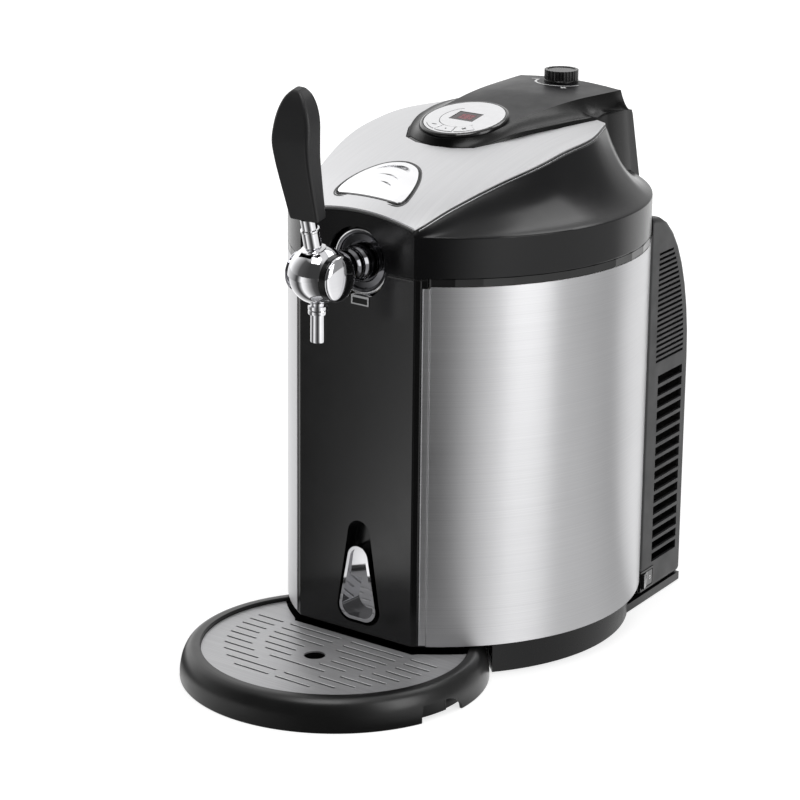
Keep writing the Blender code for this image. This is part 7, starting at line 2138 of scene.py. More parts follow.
def show_tap_hood(opening):
    """Raised saddle over the top of the body, open where the lever swings."""
    hood = sphere("tap_hood", TAP_BALL_RADIUS + HOOD_SKIN)
    wide = TAP_BALL_RADIUS * 2
    low = TAP_HEIGHT + TAP_BALL_RADIUS * HOOD_LOW_SHARE
    lean = TAP_BALL_RADIUS * HOOD_LEAN_SHARE
    under = [(TAP_BALL_Y - wide, low - lean * 2), (TAP_BALL_Y + wide, low + lean),
             (TAP_BALL_Y + wide, TAP_HEIGHT - 2 * wide), (TAP_BALL_Y - wide, TAP_HEIGHT - 2 * wide)]
    cut(hood, slab("hood_room", under, -wide, wide, plane="YZ"),
        sphere("hood_inside", TAP_BALL_RADIUS - HOOD_LAP),
        slab("hood_slot", opening, -STEM_SLOT, STEM_SLOT, plane="YZ"))
    place(hood, "cabinet", CHROME, ("tap_body",), bevel=0.0004, segments=3,
          split=40.0)


def show_tap_lever():
    lever_frame = tap_matrix(TAP_TILT_DEG)
    half = TAP_CAP_X + GAP - TAP_CAP_THICK * CAP_PLUG_SHARE - SHAFT_GAP
    core = rod("tap_lever", (-half, 0, 0), "X", 2 * half, TAP_CORE_RADIUS, steps=CIRCLE_STEPS)
    insert = TAP_STEM_RADIUS * STEM_INSERT_SHARE
    neck = TAP_STEM_COLLAR_RADIUS * 0.86
    root = TAP_CORE_RADIUS * 0.4
    ring_top = TAP_STEM_LENGTH - STEM_COLLAR_LENGTH
    foot = TAP_BALL_RADIUS + HOOD_SKIN + STEM_FOOT_AIR
    tip = TAP_STEM_LENGTH + STEM_INSERT
    profile = [(0, tip), (insert, tip), (insert, TAP_STEM_LENGTH), (neck, TAP_STEM_LENGTH),
               (neck, ring_top + 0.0004)]
    profile += [(TAP_STEM_COLLAR_RADIUS * a, ring_top - b) for a, b in STEM_RING]
    profile += [(TAP_STEM_COLLAR_RADIUS * a, foot + b) for a, b in STEM_SLEEVE_FOOT]
    profile += [(TAP_STEM_RADIUS, foot - 0.0004), (TAP_STEM_RADIUS, root), (0, root)]
    stem = turned("lever_stem", profile, (0, 0, 0), "Z")
    core.matrix_basis = lever_frame @ core.matrix_basis
    stem.matrix_basis = lever_frame @ stem.matrix_basis
    join(core, stem)
    place(core, "tap", CHROME, ("tap_lever",), bevel=0.0004, split=40.0)
    skirt = sphere("stem_skirt", TAP_BALL_RADIUS + HOOD_SKIN + SKIRT_SKIN)
    cut(skirt, sphere("skirt_inside", TAP_BALL_RADIUS + HOOD_SKIN + SKIRT_AIR))
    keep = rod("skirt_keep", (0, 0, 0), "Z", TAP_BALL_RADIUS * 2, SKIRT_RADIUS,
               steps=CIRCLE_STEPS)
    keep.matrix_basis = lever_frame @ keep.matrix_basis
    combine(skirt, keep, "INTERSECT")
    place(skirt, "tap", CHROME, ("tap_lever",), bevel=0.0002, split=40.0)
    show_handle()


def handle_section(along, wide, deep, bend):
    """One rounded section of the grip, at a share of its length."""
    half = HANDLE_TOP_HALF_WIDTH * wide
    thick = HANDLE_THICK / 2 * deep
    rounding = min(half, thick) * HANDLE_CORNER_SHARE
    height = TAP_STEM_LENGTH + GAP + HANDLE_LENGTH * along
    section = []
    for cx, cy, first in ((1, 1, 0), (-1, 1, 90), (-1, -1, 180), (1, -1, 270)):
        for k in range(HANDLE_CORNER_STEPS):
            angle = math.radians(first + 90 * k / (HANDLE_CORNER_STEPS - 1))
            section.append((cx * (half - rounding) + rounding * math.cos(angle),
                            cy * (thick - rounding) + rounding * math.sin(angle)
                            + HANDLE_BEND * bend, height))
    return section


def show_handle():
    """Grip lofted through rounded sections that swell and then narrow up its length, bending as it
    rises, with a socket for the stem.
    """
    rings = [handle_section(*row) for row in spline_through(handle_section_shares, 6)]
    verts = []
    faces = []
    for low, high in zip(rings, rings[1:]):
        add_band(verts, faces, low, high, False)
    size = len(rings[0])
    for points, flip in ((rings[0], True), (rings[-1], False)):
        base = len(verts)
        verts.extend(points)
        face = list(range(base, base + size))
        faces.append(face[::-1] if flip else face)
    item = mesh_object("tap_handle", verts, faces)
    socket = rod("handle_socket", (0, 0, 0), "Z", TAP_STEM_LENGTH + STEM_INSERT + GAP,
                 TAP_STEM_RADIUS * STEM_INSERT_SHARE + GAP)
    for piece in (item, socket):
        piece.matrix_basis = tap_matrix(TAP_TILT_DEG) @ piece.matrix_basis
    cut(item, socket)
    place(item, "tap", HANDLE_BLACK, ("tap_handle",), split=50.0)


# Tray and grille

def show_tray():
    height = TRAY_HEIGHT
    ledge = height - GRILLE_DEPTH - GRILLE_SHEET - GAP
    rim = TRAY_RIM_RADIUS
    rim_inner = rim - TRAY_RIM_WIDTH
    bowl = rim_inner - TRAY_LEDGE
    wall = TRAY_WALL
    reach = TRAY_RADIUS - rim
    floor = height * TRAY_FLOOR_SHARE
    outside = [(rim + reach * a, height * b) for a, b in spline_through(TRAY_SKIRT_SHARES, 6)]
    inside = [(rim + reach * a - wall, height * b - wall * b * 0.6)
              for a, b in TRAY_INSIDE_SHARES]
    profile = ([(0, floor), (bowl - wall, floor), (bowl, floor + wall), (bowl, ledge),
                (rim_inner, ledge), (rim_inner, height - TRAY_RIM_SOFT),
                (rim_inner + TRAY_RIM_SOFT, height), (rim - TRAY_RIM_SOFT, height)] + outside
               + [(TRAY_RADIUS - TRAY_HEM, 0.0)] + inside
               + [(bowl + wall, ledge - wall), (bowl + wall, floor - wall), (0, floor - wall)])
    item = turned("drip_tray", profile, (0, TRAY_CENTRE, 0), "Z", TRAY_STEPS)
    bridge_y = -BODY_FRONT - GRILLE_BODY_GAP - TRAY_WALL / 2
    half = math.sqrt(bowl ** 2 - (bridge_y - TRAY_CENTRE) ** 2) + wall / 2
    join(item, box("tray_bridge", (-half, bridge_y - TRAY_WALL, floor - wall / 2),
                   (half, bridge_y, ledge)))
    middle = TRAY_CENTRE - NOTCH_LENGTH * NOTCH_BACK_SHARE
    for side in (-1, 1):
        low, high = sorted((side * (bowl + wall + NOTCH_AIR), side * (TRAY_RADIUS + OVERRUN)))
        cut(item, slab("tray_notch", notch_outline(middle), low, high, plane="YZ"))
    place(item, "tray", TRAY_BLACK, ("drip_tray",), bevel=0.0004, segments=2,
          split=36.0)
    show_tray_recesses(middle)


def recess_wall(name, side, start, stop, deep, foot):
    """Upright wall that follows the tray's outside, set in from it."""
    places = [start + (stop - start) * i / RECESS_STEPS for i in range(RECESS_STEPS + 1)]
    outer = [(side * skirt_x(y, deep), y) for y in places]
    inner = [(x - side * RECESS_SHEET, y) for x, y in reversed(outer)]
    return slab(name, (outer + inner)[::side], foot, NOTCH_HEIGHT + RECESS_TOP_LAP)


def show_tray_recesses(middle):
    """Set-back wall that closes each finger recess in the tray's skirt, deeper at its rear."""
    half = NOTCH_LENGTH / 2
    split = middle + NOTCH_LENGTH * RECESS_SPLIT_SHARE
    rear_depth = RECESS_SET_BACK * RECESS_REAR_SHARE
    for side, hand in ((-1, "left"), (1, "right")):
        front = recess_wall(f"tray_recess_{hand}_0", side, middle - half - RECESS_FRONT_LAP, split,
                            RECESS_SET_BACK, RECESS_FOOT)
        rear = recess_wall(f"tray_recess_{hand}_1", side, split - RECESS_SHEET,
                           middle + half + RECESS_REAR_LAP, rear_depth, GAP)
        low, high = sorted((side * skirt_x(split, RECESS_SET_BACK),
                            side * (skirt_x(split, rear_depth) - RECESS_SHEET)))
        join(front, rear, box("tray_recess_cheek", (low, split - RECESS_SHEET, RECESS_FOOT),
                              (high, split, NOTCH_HEIGHT + RECESS_TOP_LAP)))
        place(front, "tray", TRAY_BLACK, ("drip_tray",), split=36.0)


def skirt_x(y, deep):
    """Distance from the middle to a wall set in from the tray's outside."""
    radius = TRAY_RADIUS - deep
    return math.sqrt(max(radius ** 2 - (y - TRAY_CENTRE) ** 2, 0.0))


def stadium(x0, x1, y, width, low, high, name):
    radius = width / 2
    left = circle(radius, (x0 + radius, y), 8, math.pi / 2, 3 * math.pi / 2)
    right = circle(radius, (x1 - radius, y), 8, -math.pi / 2, math.pi / 2)
    return slab(name, left + right, low, high)


def slot_spans():
    radius = TRAY_RIM_RADIUS - TRAY_RIM_WIDTH - GAP
    out = []
    for i, spans in enumerate(slot_row_shares):
        y = TRAY_CENTRE + radius * (slot_first_row_share - slot_pitch_share * i)
        for low, high in spans:
            out.append((radius * low, radius * high, y))
            if low > 0:
                out.append((-radius * high, -radius * low, y))
    return out


def show_grille():
    radius = TRAY_RIM_RADIUS - TRAY_RIM_WIDTH - GAP
    top = TRAY_HEIGHT - GRILLE_DEPTH
    item = slab("drip_grille", circle(radius, (0, TRAY_CENTRE), TRAY_STEPS), top - GRILLE_SHEET,
                top)
    front = BODY_FRONT + GRILLE_BODY_GAP
    right = side_points(-BODY_FRONT, 0, -GRILLE_BODY_GAP, 24)
    right[0] = (right[0][0], -front)
    footprint = slab("grille_room", right + mirrored(right), 0, TRAY_HEIGHT)
    drain_y = TRAY_CENTRE + radius * drain_row_share
    flare = DRAIN_RADIUS + DRAIN_FLARE
    drain = turned("grille_drain", [(0, DRAIN_REACH), (flare, DRAIN_REACH),
                                    (flare, DRAIN_FLARE_TOP), (DRAIN_RADIUS, DRAIN_FLARE_FOOT),
                                    (DRAIN_RADIUS, -DRAIN_REACH), (0, -DRAIN_REACH)],
                   (0, drain_y, top - GRILLE_SHEET), "Z")
    cut(item, footprint, slot_cutter(top), drain)
    place(item, "grille", GRILLE_STEEL, ("drip_grille",), bevel=0.00028, segments=2,
          split=34.0, soft=False)
    show_slot_highlights(top)


def slot_cutter(top):
    """All the grille's slots as one mesh."""
    slots = []
    for k, (x0, x1, y) in enumerate(slot_spans()):
        slots.append(stadium(x0, x1, y, SLOT_WIDTH, top - GRILLE_SHEET - SLOT_REACH,
                             top + SLOT_REACH, f"slot_{k}"))
    merge(slots[0], slots[1:])
    return slots[0]


def show_slot_highlights(top):
    """Light rods along the rear side of every slot, a painted highlight on its edge."""
    highlight_rods = []
    edge = BODY_FRONT + GRILLE_BODY_GAP + SLOT_WIDTH
    trim = SLOT_WIDTH * 0.35
    for k, (x0, x1, y) in enumerate(slot_spans()):
        if y + SLOT_WIDTH / 2 <= -edge:
            start = (x0 + trim, y + SLOT_WIDTH / 2 - SLOT_HIGHLIGHT_RADIUS * 0.3, top - SLOT_HIGHLIGHT_RADIUS * 0.5)
            highlight_rods.append(rod(f"lip_{k}", start, "X", x1 - x0 - 2 * trim, SLOT_HIGHLIGHT_RADIUS, steps=12))
    merge(highlight_rods[0], highlight_rods[1:])
    place(highlight_rods[0], "grille", SLOT_HIGHLIGHT_WHITE, ("drip_grille",), split=60.0,
          name="slot_lips")


def merge(target, others):
    """Put the meshes of several pieces into the first one."""
    whole = bmesh.new()
    for item in [target] + others:
        whole.from_mesh(baked(item))
    mesh = bpy.data.meshes.new(target.name + "_set")
    whole.to_mesh(mesh)
    whole.free()
    mesh.transform(Matrix.Translation((0, MIDDLE_Y, 0)))
    for item in others:
        bpy.data.objects.remove(item, do_unlink=True)
    target.data = mesh
    target.matrix_basis = Matrix.Identity(4)


# Body

def show_front_panel():
    item = slab("front_panel", panel_plan(PANEL_WALL), BODY_BOTTOM, COLLAR_TOP)
    block_half = OPENER_POCKET_HALF_WIDTH + PANEL_WALL
    block_rear = -BODY_FRONT + OPENER_POCKET_DEPTH + PANEL_WALL
    join(item, box("pocket_block", (OPENER_X - block_half, -BODY_FRONT + PANEL_WALL / 2,
                                    OPENER_POCKET_BOTTOM - PANEL_WALL),
                   (OPENER_X + block_half, block_rear, OPENER_POCKET_TOP + PANEL_WALL)))
    pocket = slab("opener_pocket", fine_teardrop(OPENER_POCKET_TOP, OPENER_POCKET_BOTTOM,
                                                 OPENER_POCKET_HALF_WIDTH,
                                                 OPENER_POCKET_TOP_RADIUS),
                  -BODY_FRONT - OVERRUN, -BODY_FRONT + OPENER_POCKET_DEPTH, plane="XZ")
    well = well_cutter("well", WELL_RADIUS, -BODY_FRONT - OVERRUN,
                       -BODY_FRONT + PANEL_WALL + OVERRUN)
    cut(item, pocket, well)
    place(item, "cabinet", PANEL_BLACK, ("front_panel",), bevel=0.0007, segments=3,
          split=40.0)


def fine_teardrop(top, bottom, half_width, top_radius, spread=0.0):
    foot_radius = half_width * 0.62
    foot = circle(foot_radius + spread,
                  (OPENER_X + half_width - foot_radius, bottom + foot_radius), 20,
                  -math.pi / 2, 0.0)
    head = circle(top_radius + spread, (OPENER_X, top - top_radius), 30, 0.12, math.pi - 0.12)
    return foot + head + [(2 * OPENER_X - x, z) for x, z in reversed(foot)]


def show_panel_edges():
    """Dark strip down the slanted corner of the front panel, a thin rib and the steel's edge."""
    corner = Vector((side_x(-BODY_FRONT), -BODY_FRONT))
    end = Vector((side_x(-STEEL_FRONT), -STEEL_FRONT))
    across = (end - corner).normalized()
    out = Vector((across.y, -across.x))
    near = corner + across * STRIP_NEAR
    far = end - across * STRIP_FAR
    plan = [near - out * STRIP_SINK, far - out * STRIP_SINK, far + out * STRIP_PROUD,
            near + out * STRIP_PROUD]
    rib = corner + (end - corner) * RIB_SHARE
    lap = corner + (end - corner) * STEEL_LAP_SHARE
    tuck = end + across * STEEL_TUCK
    fold_plan = [lap - out * 0.0001, tuck - out * FOLD_PROUD, tuck + out * 0.0002,
                 end + out * FOLD_PROUD, lap + out * FOLD_PROUD]
    for side, hand in ((-1, "left"), (1, "right")):
        strip = slab(f"panel_strip_{hand}", [(side * x, y) for x, y in plan][::side],
                     BODY_BOTTOM + STRIP_END, COLLAR_TOP - STRIP_END)
        place(strip, "cabinet", TRIM_AND_GAP_SHADE_BLACK, ("front_panel",), bevel=0.0001,
              split=60.0)
        fold = slab(f"steel_fold_{hand}", [(side * x, y) for x, y in fold_plan][::side],
                    BODY_BOTTOM + FOLD_END, STEEL_TOP - FOLD_END)
        place(fold, "cabinet", STEEL, ("side_panel_" + hand,), bevel=0.0001,
              split=60.0)
        bead = upright_bead(f"rib_{hand}", rib + out * RIB_PROUD, side, RIB_RADIUS, COLLAR_TOP)
        place(bead, "cabinet", PANEL_BLACK, ("front_panel",), split=60.0)
        bead = upright_bead(f"steel_edge_{hand}", lap + out * EDGE_PROUD, side, EDGE_RADIUS,
                            STEEL_TOP)
        place(bead, "cabinet", SILVER_RIM_AND_HIGHLIGHT, ("side_panel_" + hand,),
              split=60.0)


def upright_bead(name, spot, side, radius, top):
    return rod(name, (side * spot.x, spot.y, BODY_BOTTOM + FOLD_END), "Z",
               top - BODY_BOTTOM - 2 * FOLD_END, radius, steps=20)


def show_front_seam():
    """Dark bead painting the gap's shade and a thin light one painting a highlight, along the
    panel's top edge, either side of the tap.
    """
    start = WELL_RADIUS + FRONT_SEAM_START
    end = side_x(-BODY_FRONT) - FRONT_SEAM_END
    # The dark bead is painted shade, the light bead a painted highlight
    looks = {"dark": TRIM_AND_GAP_SHADE_BLACK, "light": GREY_SHADE_AND_HIGHLIGHT}
    for tag, drop, radius in FRONT_SHADE_AND_HIGHLIGHT_SEAMS:
        for side, hand in ((-1, "left"), (1, "right")):
            low, high = sorted((side * start, side * end))
            item = rod(f"seam_{tag}_{hand}", (low, -BODY_FRONT + radius * 0.35,
                                              COLLAR_TOP - drop), "X", high - low, radius,
                       steps=20)
            place(item, "cabinet", looks[tag], ("front_panel",), split=60.0)


def show_opener():
    back = -BODY_FRONT + OPENER_POCKET_DEPTH - GAP
    front = -BODY_FRONT - OPENER_PROUD
    item = slab("bottle_opener", fine_teardrop(OPENER_TOP, OPENER_BOTTOM, OPENER_HALF_WIDTH,
                                               OPENER_TOP_RADIUS), front, back, plane="XZ")
    inner = fine_teardrop(OPENER_TOP - OPENER_WALL, OPENER_BOTTOM + OPENER_WALL,
                          OPENER_HALF_WIDTH - OPENER_WALL, OPENER_TOP_RADIUS - OPENER_WALL)
    deep = slab("opener_hollow", inner, front - OVERRUN, back - OPENER_WALL, plane="XZ")
    tall = OPENER_TOP - OPENER_BOTTOM
    bridge_low = OPENER_TOP - tall * 0.42
    wedge = [(front + OPENER_WALL, bridge_low), (back, bridge_low - tall * 0.06),
             (back, OPENER_TOP), (front + OPENER_WALL * 0.6, OPENER_TOP)]
    cut(deep, slab("opener_bridge", wedge, OPENER_X - OPENER_HALF_WIDTH,
                   OPENER_X + OPENER_HALF_WIDTH, plane="YZ"))
    cut(item, deep)
    place(item, "cabinet", CHROME, ("bottle_opener",), bevel=0.0008, segments=4,
          split=45.0)


def show_side_panels():
    outer = side_points(-STEEL_FRONT + 4 * GAP, STEEL_REAR, steps=96)
    inner = [(side_x(y, STEEL_SHEET), y) for _, y in outer]
    outline = outer + inner[::-1]
    for name, points in (("side_panel_right", outline),
                         ("side_panel_left", [(-x, y) for x, y in reversed(outline)])):
        item = slab(name, points, BODY_BOTTOM, STEEL_TOP)
        place(item, "cabinet", STEEL, (name,), bevel=0.00025, segments=2,
              split=30.0, soft=False)


def show_latch_pin():
    """Plain pin across the lid, its ends chamfered and just under the skin."""
    reach = latch_pin_reach() - PIN_END_TRIM
    item = rod("latch_pin", (-reach, LATCH_Y, LATCH_PIN_Z), "X", 2 * reach, LATCH_PIN_RADIUS,
               steps=32)
    place(item, "lid", CHROME, ("latch_pin",), bevel=0.0004, split=50.0)


def show_plinth():
    top = BODY_BOTTOM - GAP
    item = slab("base_plinth", plinth_outline(0.0), PLINTH_LIFT, top)
    tail_front = PLINTH_REAR_BEND - PLINTH_WALL
    rear = HOUSING_REAR - HOUSING_ROUND / 2
    tail = slab("plinth_tail", [(-housing_x(tail_front), tail_front), (-housing_x(rear), rear),
                                (housing_x(rear), rear), (housing_x(tail_front), tail_front)][::-1],
                PLINTH_LIFT, PLINTH_TAIL_TOP)
    join(item, tail)
    cut(item, slab("plinth_hollow", plinth_outline(PLINTH_WALL), PLINTH_TAIL_TOP, top + OVERRUN))
    for x, y in foot_places():
        cut(item, rod("foot_recess", (x, y, -OVERRUN), "Z", OVERRUN + FOOT_DEPTH,
                      FOOT_RADIUS + GAP))
    place(item, "cabinet", PLINTH_BLACK, ("base_plinth",), bevel=0.0008, segments=3,
          split=36.0)


def show_housing():
    front = STEEL_REAR + GAP
    item = tapered_prism("rear_housing", housing_outline(0.0, front), 0.0)
    step = item.modifiers.new("round", "BEVEL")
    step.width = HOUSING_ROUND
    step.segments = 5
    step.limit_method = "ANGLE"
    step.angle_limit = math.radians(40)
    hollow = tapered_prism("housing_hollow", housing_outline(HOUSING_WALL, front - OVERRUN),
                           HOUSING_WALL)
    relief = slab("housing_lid_room", body_outline(-BODY_FRONT, BODY_REAR, -1.5 * MOVING_GAP),
                  STEEL_TOP - GAP, HOUSING_TOP + OVERRUN)
    knuckle_room = box("housing_hinge_room", (-LUG_OUTER - MOVING_GAP, BODY_REAR - OVERRUN,
                                              STEEL_TOP - GAP),
                       (LUG_OUTER + MOVING_GAP, HOUSING_REAR + OVERRUN, HOUSING_TOP + OVERRUN))
    cut(item, hollow, relief, knuckle_room)
    wide = HOUSING_HALF_WIDTH + OVERRUN
    slots = []
    for i in range(VENT_COUNT):
        low = VENT_LOW + VENT_PITCH * i
        slots.append(((-wide, VENT_FRONT, low), (wide, VENT_REAR, low + VENT_SLOT)))
    for i in range(LOUVRE_COUNT):
        low = LOUVRE_LOW + LOUVRE_PITCH * i
        share = (low + LOUVRE_SLOT - HOUSING_SHOULDER) / (HOUSING_TOP - HOUSING_SHOULDER)
        curve_y = HOUSING_CURVE_START + (HOUSING_REAR - HOUSING_CURVE_START) * math.sqrt(
            max(1 - share ** 2, 0))
        reach = min(VENT_REAR, curve_y - 2.2 * HOUSING_ROUND)
        slots.append(((-wide, VENT_FRONT - HOUSING_ROUND, low), (wide, reach, low + LOUVRE_SLOT)))
    cut(item, boxes("housing_side_slots", slots))
    rear_slots = []
    for i in range(REAR_SLOT_COUNT):
        low = REAR_SLOT_LOW + REAR_SLOT_PITCH * i
        rear_slots.append(((-REAR_SLOT_HALF_WIDTH, HOUSING_REAR - 2 * HOUSING_WALL, low),
                           (REAR_SLOT_HALF_WIDTH, HOUSING_REAR + OVERRUN, low + REAR_SLOT)))
    cut(item, boxes("housing_rear_slots", rear_slots))
    cut(item, box("housing_inlet_room", (INLET_X - INLET_WIDTH / 2 - GAP,
                                         HOUSING_REAR - 2 * HOUSING_WALL,
                                         INLET_HEIGHT - INLET_TALL / 2 - GAP),
                  (INLET_X + INLET_WIDTH / 2 + GAP, HOUSING_REAR + OVERRUN,
                   INLET_HEIGHT + INLET_TALL / 2 + GAP)))
    for name, (x, y, z) in screw_places():
        cut(item, rod("screw_room", (x, y - HOUSING_WALL / 2 - GAP, z), "Y", OVERRUN,
                      SCREW_HEAD_RADIUS + GAP),
            rod("screw_shank_room", (x, y - SCREW_LENGTH, z), "Y", SCREW_LENGTH,
                SCREW_HEAD_RADIUS * 0.45 + GAP, steps=12))
    half_y = SWITCH_LENGTH / 2 + SWITCH_FRAME + GAP
    half_z = SWITCH_WIDTH / 2 + SWITCH_FRAME + GAP
    cut(item, box("switch_room", (HOUSING_HALF_WIDTH / 2, SWITCH_Y - half_y,
                                  SWITCH_HEIGHT - half_z),
                  (wide, SWITCH_Y + half_y, SWITCH_HEIGHT + half_z)))
    place(item, "cabinet", HOUSING_GREY, ("rear_housing",), bevel=0.0004, segments=2,
          split=34.0)


def show_rocker():
    """Rocker with a hollow top and rounded cheeks, and a plain ring and bar on its two ends."""
    rest = rocker_matrix()
    half = SWITCH_LENGTH / 2
    rise = ROCKER_EDGE_PROUD - ROCKER_DISH_PROUD
    steps = 24
    top = []
    for i in range(steps + 1):
        share = 2 * i / steps - 1
        top.append((-half * share, ROCKER_DISH_PROUD + rise * abs(share)))
    side_view = [(-half, -ROCKER_CHEEK), (0, -SWITCH_DEPTH * 0.82 + GAP),
                 (half, -ROCKER_CHEEK)] + top
    rocker = slab("power_rocker", side_view, -SWITCH_WIDTH / 2, SWITCH_WIDTH / 2, plane="XZ")
    rocker.matrix_basis = rest @ rocker.matrix_basis
    place(rocker, "rocker", GLOSS_BLACK, ("power_rocker",), bevel=0.0005, segments=3,
          split=40.0)
    stroke = bar(ROCKER_BAR_X, -ROCKER_BAR_HALF, ROCKER_BAR_X, ROCKER_BAR_HALF, ROCKER_BAR_WIDTH)
    outer, inner = (circle(r, (ROCKER_RING_X, 0.0), 32) for r in ROCKER_RING_RADII)
    for i, (x, outline, holes) in enumerate(((ROCKER_BAR_X, stroke, ()),
                                             (ROCKER_RING_X, outer, (inner,)))):
        item = slab(f"rocker_mark_{i}", outline, 0.0, ROCKER_MARK_THICK, holes=holes)
        lean = math.atan2(rise, half) * (1 if x > 0 else -1)
        lift = ROCKER_DISH_PROUD + rise * abs(x) / half
        tip = (Matrix.Translation((x, 0, lift)) @ Matrix.Rotation(-lean, 4, "Y")
               @ Matrix.Translation((-x, 0, 0)))
        item.matrix_basis = rest @ tip @ item.matrix_basis
        place(item, "rocker", WHITE_INK, ("power_rocker",), split=60.0, soft=False)


# Nodes that keep the exact shape they came with: rounded edges and a surface each

KEPT = (
    (("foot_front_left", "foot_front_right", "foot_rear_left", "foot_rear_right"), RUBBER,
     "rubber", 0.0004),
    (("base_plate", "lid_liner", "latch_yoke", "fan_rotor", "power_supply", "cartridge_holder"),
     INSIDE_GREY, None, 0.0003),
    (("top_collar", "power_inlet", "switch_frame"), TRIM_AND_GAP_SHADE_BLACK, None, 0.0003),
    (("fan_frame",), PANEL_BLACK, None, 0.0003),
    (("gas_line", "lid_seal"), RUBBER, None, 0.0),
    (("chamber_liner", "cold_block", "heat_sink"), ALUMINIUM, "aluminium", 0.0002),
    (("gas_cartridge",), STEEL, "brushed_steel", 0.0003),
    (("gas_fitting", "gas_regulator"), BRASS, "brass", 0.0002),
    (("hinge_pin", "housing_screw_left", "housing_screw_right"), CHROME, "chrome",
     0.0002),
    (("insulation_jacket",), FOAM, "foam", 0.0),
    (("peltier_module",), CERAMIC, "white_ceramic", 0.0003),
    (("control_board",), BOARD, "circuit_board", 0.0001),
)


def dress_kept():
    for names, look, slot, bevel in KEPT:
        for name in names:
            item = bpy.data.objects[name]
            item.data.materials.clear()
            item.data.materials.append(look)
            item.data.shade_smooth()
            item.data.set_sharp_from_angle(angle=math.radians(38))
            if bevel:
                step = item.modifiers.new("edge", "BEVEL")
                step.width = bevel
                step.segments = 2
                step.limit_method = "ANGLE"
                step.angle_limit = math.radians(38)
                step.harden_normals = True


# Camera, lamps and floor, in the row frame

CAMERA_AZ = 37.3
CAMERA_EL = 17.1
CAMERA_ROLL = 0.6
CAMERA_DISTANCE = 2.4758
CAMERA_LENS = 133.87
CAMERA_TARGET = Vector((-0.0696, -MIDDLE_Y, 0.1706))


def add_camera():
    a = math.radians(CAMERA_AZ)
    e = math.radians(CAMERA_EL)
    r = math.radians(CAMERA_ROLL)
    forward = Vector((-math.sin(a) * math.cos(e), math.cos(a) * math.cos(e), -math.sin(e)))
    right = Vector((math.cos(a), math.sin(a), 0))
    up = right.cross(forward)
    right_rolled = right * math.cos(r) + up * math.sin(r)
    up_rolled = up * math.cos(r) - right * math.sin(r)
    data = bpy.data.cameras.new("view_camera")
    data.lens = CAMERA_LENS
    data.sensor_width = 36.0
    data.clip_start = 0.05
    camera = bpy.data.objects.new("view_camera", data)
    bpy.context.scene.collection.objects.link(camera)
    turn = Matrix((right_rolled, up_rolled, -forward)).transposed().to_4x4()
    camera.matrix_world = Matrix.Translation(CAMERA_TARGET - forward * CAMERA_DISTANCE) @ turn
    bpy.context.scene.camera = camera


def add_lamp(name, place_at, width, depth, power):
    """A rectangular lamp aimed at the middle of the object."""
    data = bpy.data.lights.new(name, "AREA")
    data.shape = "RECTANGLE"
    data.size = width
    data.size_y = depth
    data.energy = power
    lamp = bpy.data.objects.new(name, data)
    bpy.context.scene.collection.objects.link(lamp)
    lamp.location = place_at
    aim = Vector(LAMP_AIM) - Vector(place_at)
    lamp.rotation_euler = aim.to_track_quat("-Z", "Y").to_euler()


# Studio: brightness seen round the horizon, as (turn from the front in degrees, level)

SKY = ((0, 0.05), (45, 0.05), (60, 0.20), (75, 0.40), (95, 0.40), (120, 0.30), (170, 0.30),
       (190, 0.60), (215, 1.02), (232, 1.12), (250, 1.45), (268, 1.20), (290, 0.55),
       (320, 0.10), (360, 0.05))
SKY_TOP = 0.80
GROUND = ((0, 0.40), (14, 0.10), (28, 0.05), (36, 0.06), (42, 0.20), (47, 0.42), (54, 0.75),
          (61, 1.12), (68, 1.30), (75, 1.20), (86, 1.05), (97, 0.98), (105, 0.98), (117, 0.95),
          (129, 0.82), (143, 0.62), (150, 1.10), (160, 1.40), (187, 1.30), (250, 1.10),
          (290, 0.50), (314, 0.05), (322, 0.12), (329, 0.50), (336, 1.20), (345, 1.00),
          (360, 0.40))


def studio_level(tree, vector, levels, lift=None):
    """Light and dark screens standing round the object, by the direction looked in."""
    split = tree.nodes.new("ShaderNodeSeparateXYZ")
    tree.links.new(vector, split.inputs["Vector"])
    back = math_node(tree, "MULTIPLY", split.outputs["Y"], -1.0)
    turn = math_node(tree, "ARCTAN2", split.outputs["X"], back)
    share = math_node(tree, "FRACT", math_node(tree, "MULTIPLY", turn, 0.5 / math.pi))
    ramp = tree.nodes.new("ShaderNodeValToRGB")
    ramp.color_ramp.interpolation = "LINEAR"
    marks = ramp.color_ramp.elements
    top = max(level for angle, level in levels)
    while len(marks) < len(levels):
        marks.new(0.5)
    for mark, (angle, level) in zip(marks, levels):
        mark.position = angle / 360.0
        mark.color = (level / top, level / top, level / top, 1.0)
    tree.links.new(share, ramp.inputs["Fac"])
    level = math_node(tree, "MULTIPLY", ramp.outputs["Color"], top)
    if lift is None:
        return level
    high = spread(tree, split.outputs["Z"], 0.0, 1.0, *lift)
    mix = tree.nodes.new("ShaderNodeMix")
    mix.data_type = "FLOAT"
    mix.inputs["B"].default_value = SKY_TOP
    tree.links.new(high, mix.inputs["Factor"])
    tree.links.new(level, mix.inputs["A"])
    return mix.outputs["Result"]


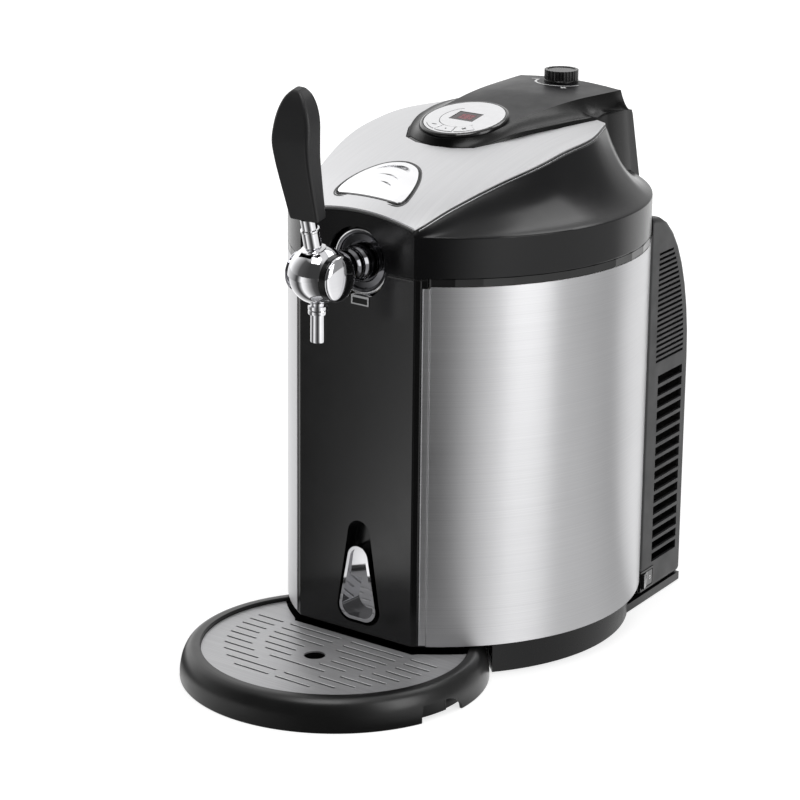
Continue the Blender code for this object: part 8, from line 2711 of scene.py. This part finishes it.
def add_world():
    world = bpy.data.worlds.new("studio")
    bpy.context.scene.world = world
    world.use_nodes = True
    tree = world.node_tree
    back = tree.nodes["Background"]
    path = tree.nodes.new("ShaderNodeLightPath")
    place_node = tree.nodes.new("ShaderNodeTexCoord")
    level = studio_level(tree, place_node.outputs["Generated"], SKY, SKY_RISE)
    shade = tree.nodes.new("ShaderNodeMix")
    shade.data_type = "FLOAT"
    shade.inputs["B"].default_value = 1.0
    tree.links.new(level, shade.inputs["A"])
    tree.links.new(path.outputs["Is Camera Ray"], shade.inputs["Factor"])
    tree.links.new(shade.outputs["Result"], back.inputs["Strength"])
    back.inputs["Color"].default_value = (1.0, 1.0, 1.0, 1.0)


def add_floor():
    """Wide pale floor: part of its brightness is its own, so only part of it takes shadow."""
    mesh = bpy.data.meshes.new("floor")
    size = FLOOR_REACH
    mesh.from_pydata([(-size, -size, 0), (size, -size, 0), (size, size, 0), (-size, size, 0)], [],
                     [(0, 1, 2, 3)])
    floor = bpy.data.objects.new("floor", mesh)
    bpy.context.scene.collection.objects.link(floor)
    look = new_look("floor_white")
    tree = look.node_tree
    shader = shader_of(look)
    shader.inputs["Roughness"].default_value = 0.9
    shader.inputs["Specular IOR Level"].default_value = 0.0
    shader.inputs["Emission Color"].default_value = (1.0, 1.0, 1.0, 1.0)
    path = tree.nodes.new("ShaderNodeLightPath")
    place_node = tree.nodes.new("ShaderNodeTexCoord")
    ball = tree.nodes.new("ShaderNodeTexGradient")
    ball.gradient_type = "SPHERICAL"
    mapping = tree.nodes.new("ShaderNodeMapping")
    mapping.inputs["Scale"].default_value = FLOOR_FALL_OFF
    tree.links.new(place_node.outputs["Object"], mapping.inputs["Vector"])
    tree.links.new(mapping.outputs["Vector"], ball.inputs["Vector"])
    own = spread(tree, ball.outputs["Fac"], FLOOR_FAR, FLOOR_NEAR, 0.0, FLOOR_GLOW)
    seen = math_node(tree, "MULTIPLY", own, path.outputs["Is Camera Ray"])
    round_level = studio_level(tree, place_node.outputs["Object"], GROUND)
    mirrored = math_node(tree, "MULTIPLY", math_node(tree, "MULTIPLY", round_level, FLOOR_MIRROR),
                         path.outputs["Is Glossy Ray"])
    total = math_node(tree, "ADD", seen, mirrored)
    tree.links.new(total, shader.inputs["Emission Strength"])
    direct = math_node(tree, "SUBTRACT", path.outputs["Is Glossy Ray"], 1.0)
    tree.links.new(math_node(tree, "MULTIPLY", direct, -FLOOR_TONE), shader.inputs["Base Color"])
    mesh.materials.append(look)


def build_scene():
    show_lid()
    show_cover()
    show_button()
    show_button_rings()
    show_console()
    show_display()
    show_knob()
    show_tap_fixed()
    show_tap_body()
    show_tap_lever()
    show_tray()
    show_grille()
    show_front_panel()
    show_panel_edges()
    show_front_seam()
    show_opener()
    show_side_panels()
    show_plinth()
    show_latch_pin()
    show_housing()
    show_rocker()
    dress_kept()
    add_camera()
    add_world()
    add_floor()
    for lamp in LAMPS:
        add_lamp(*lamp)


build_scene()
bpy.context.scene.view_settings.view_transform = "Standard"
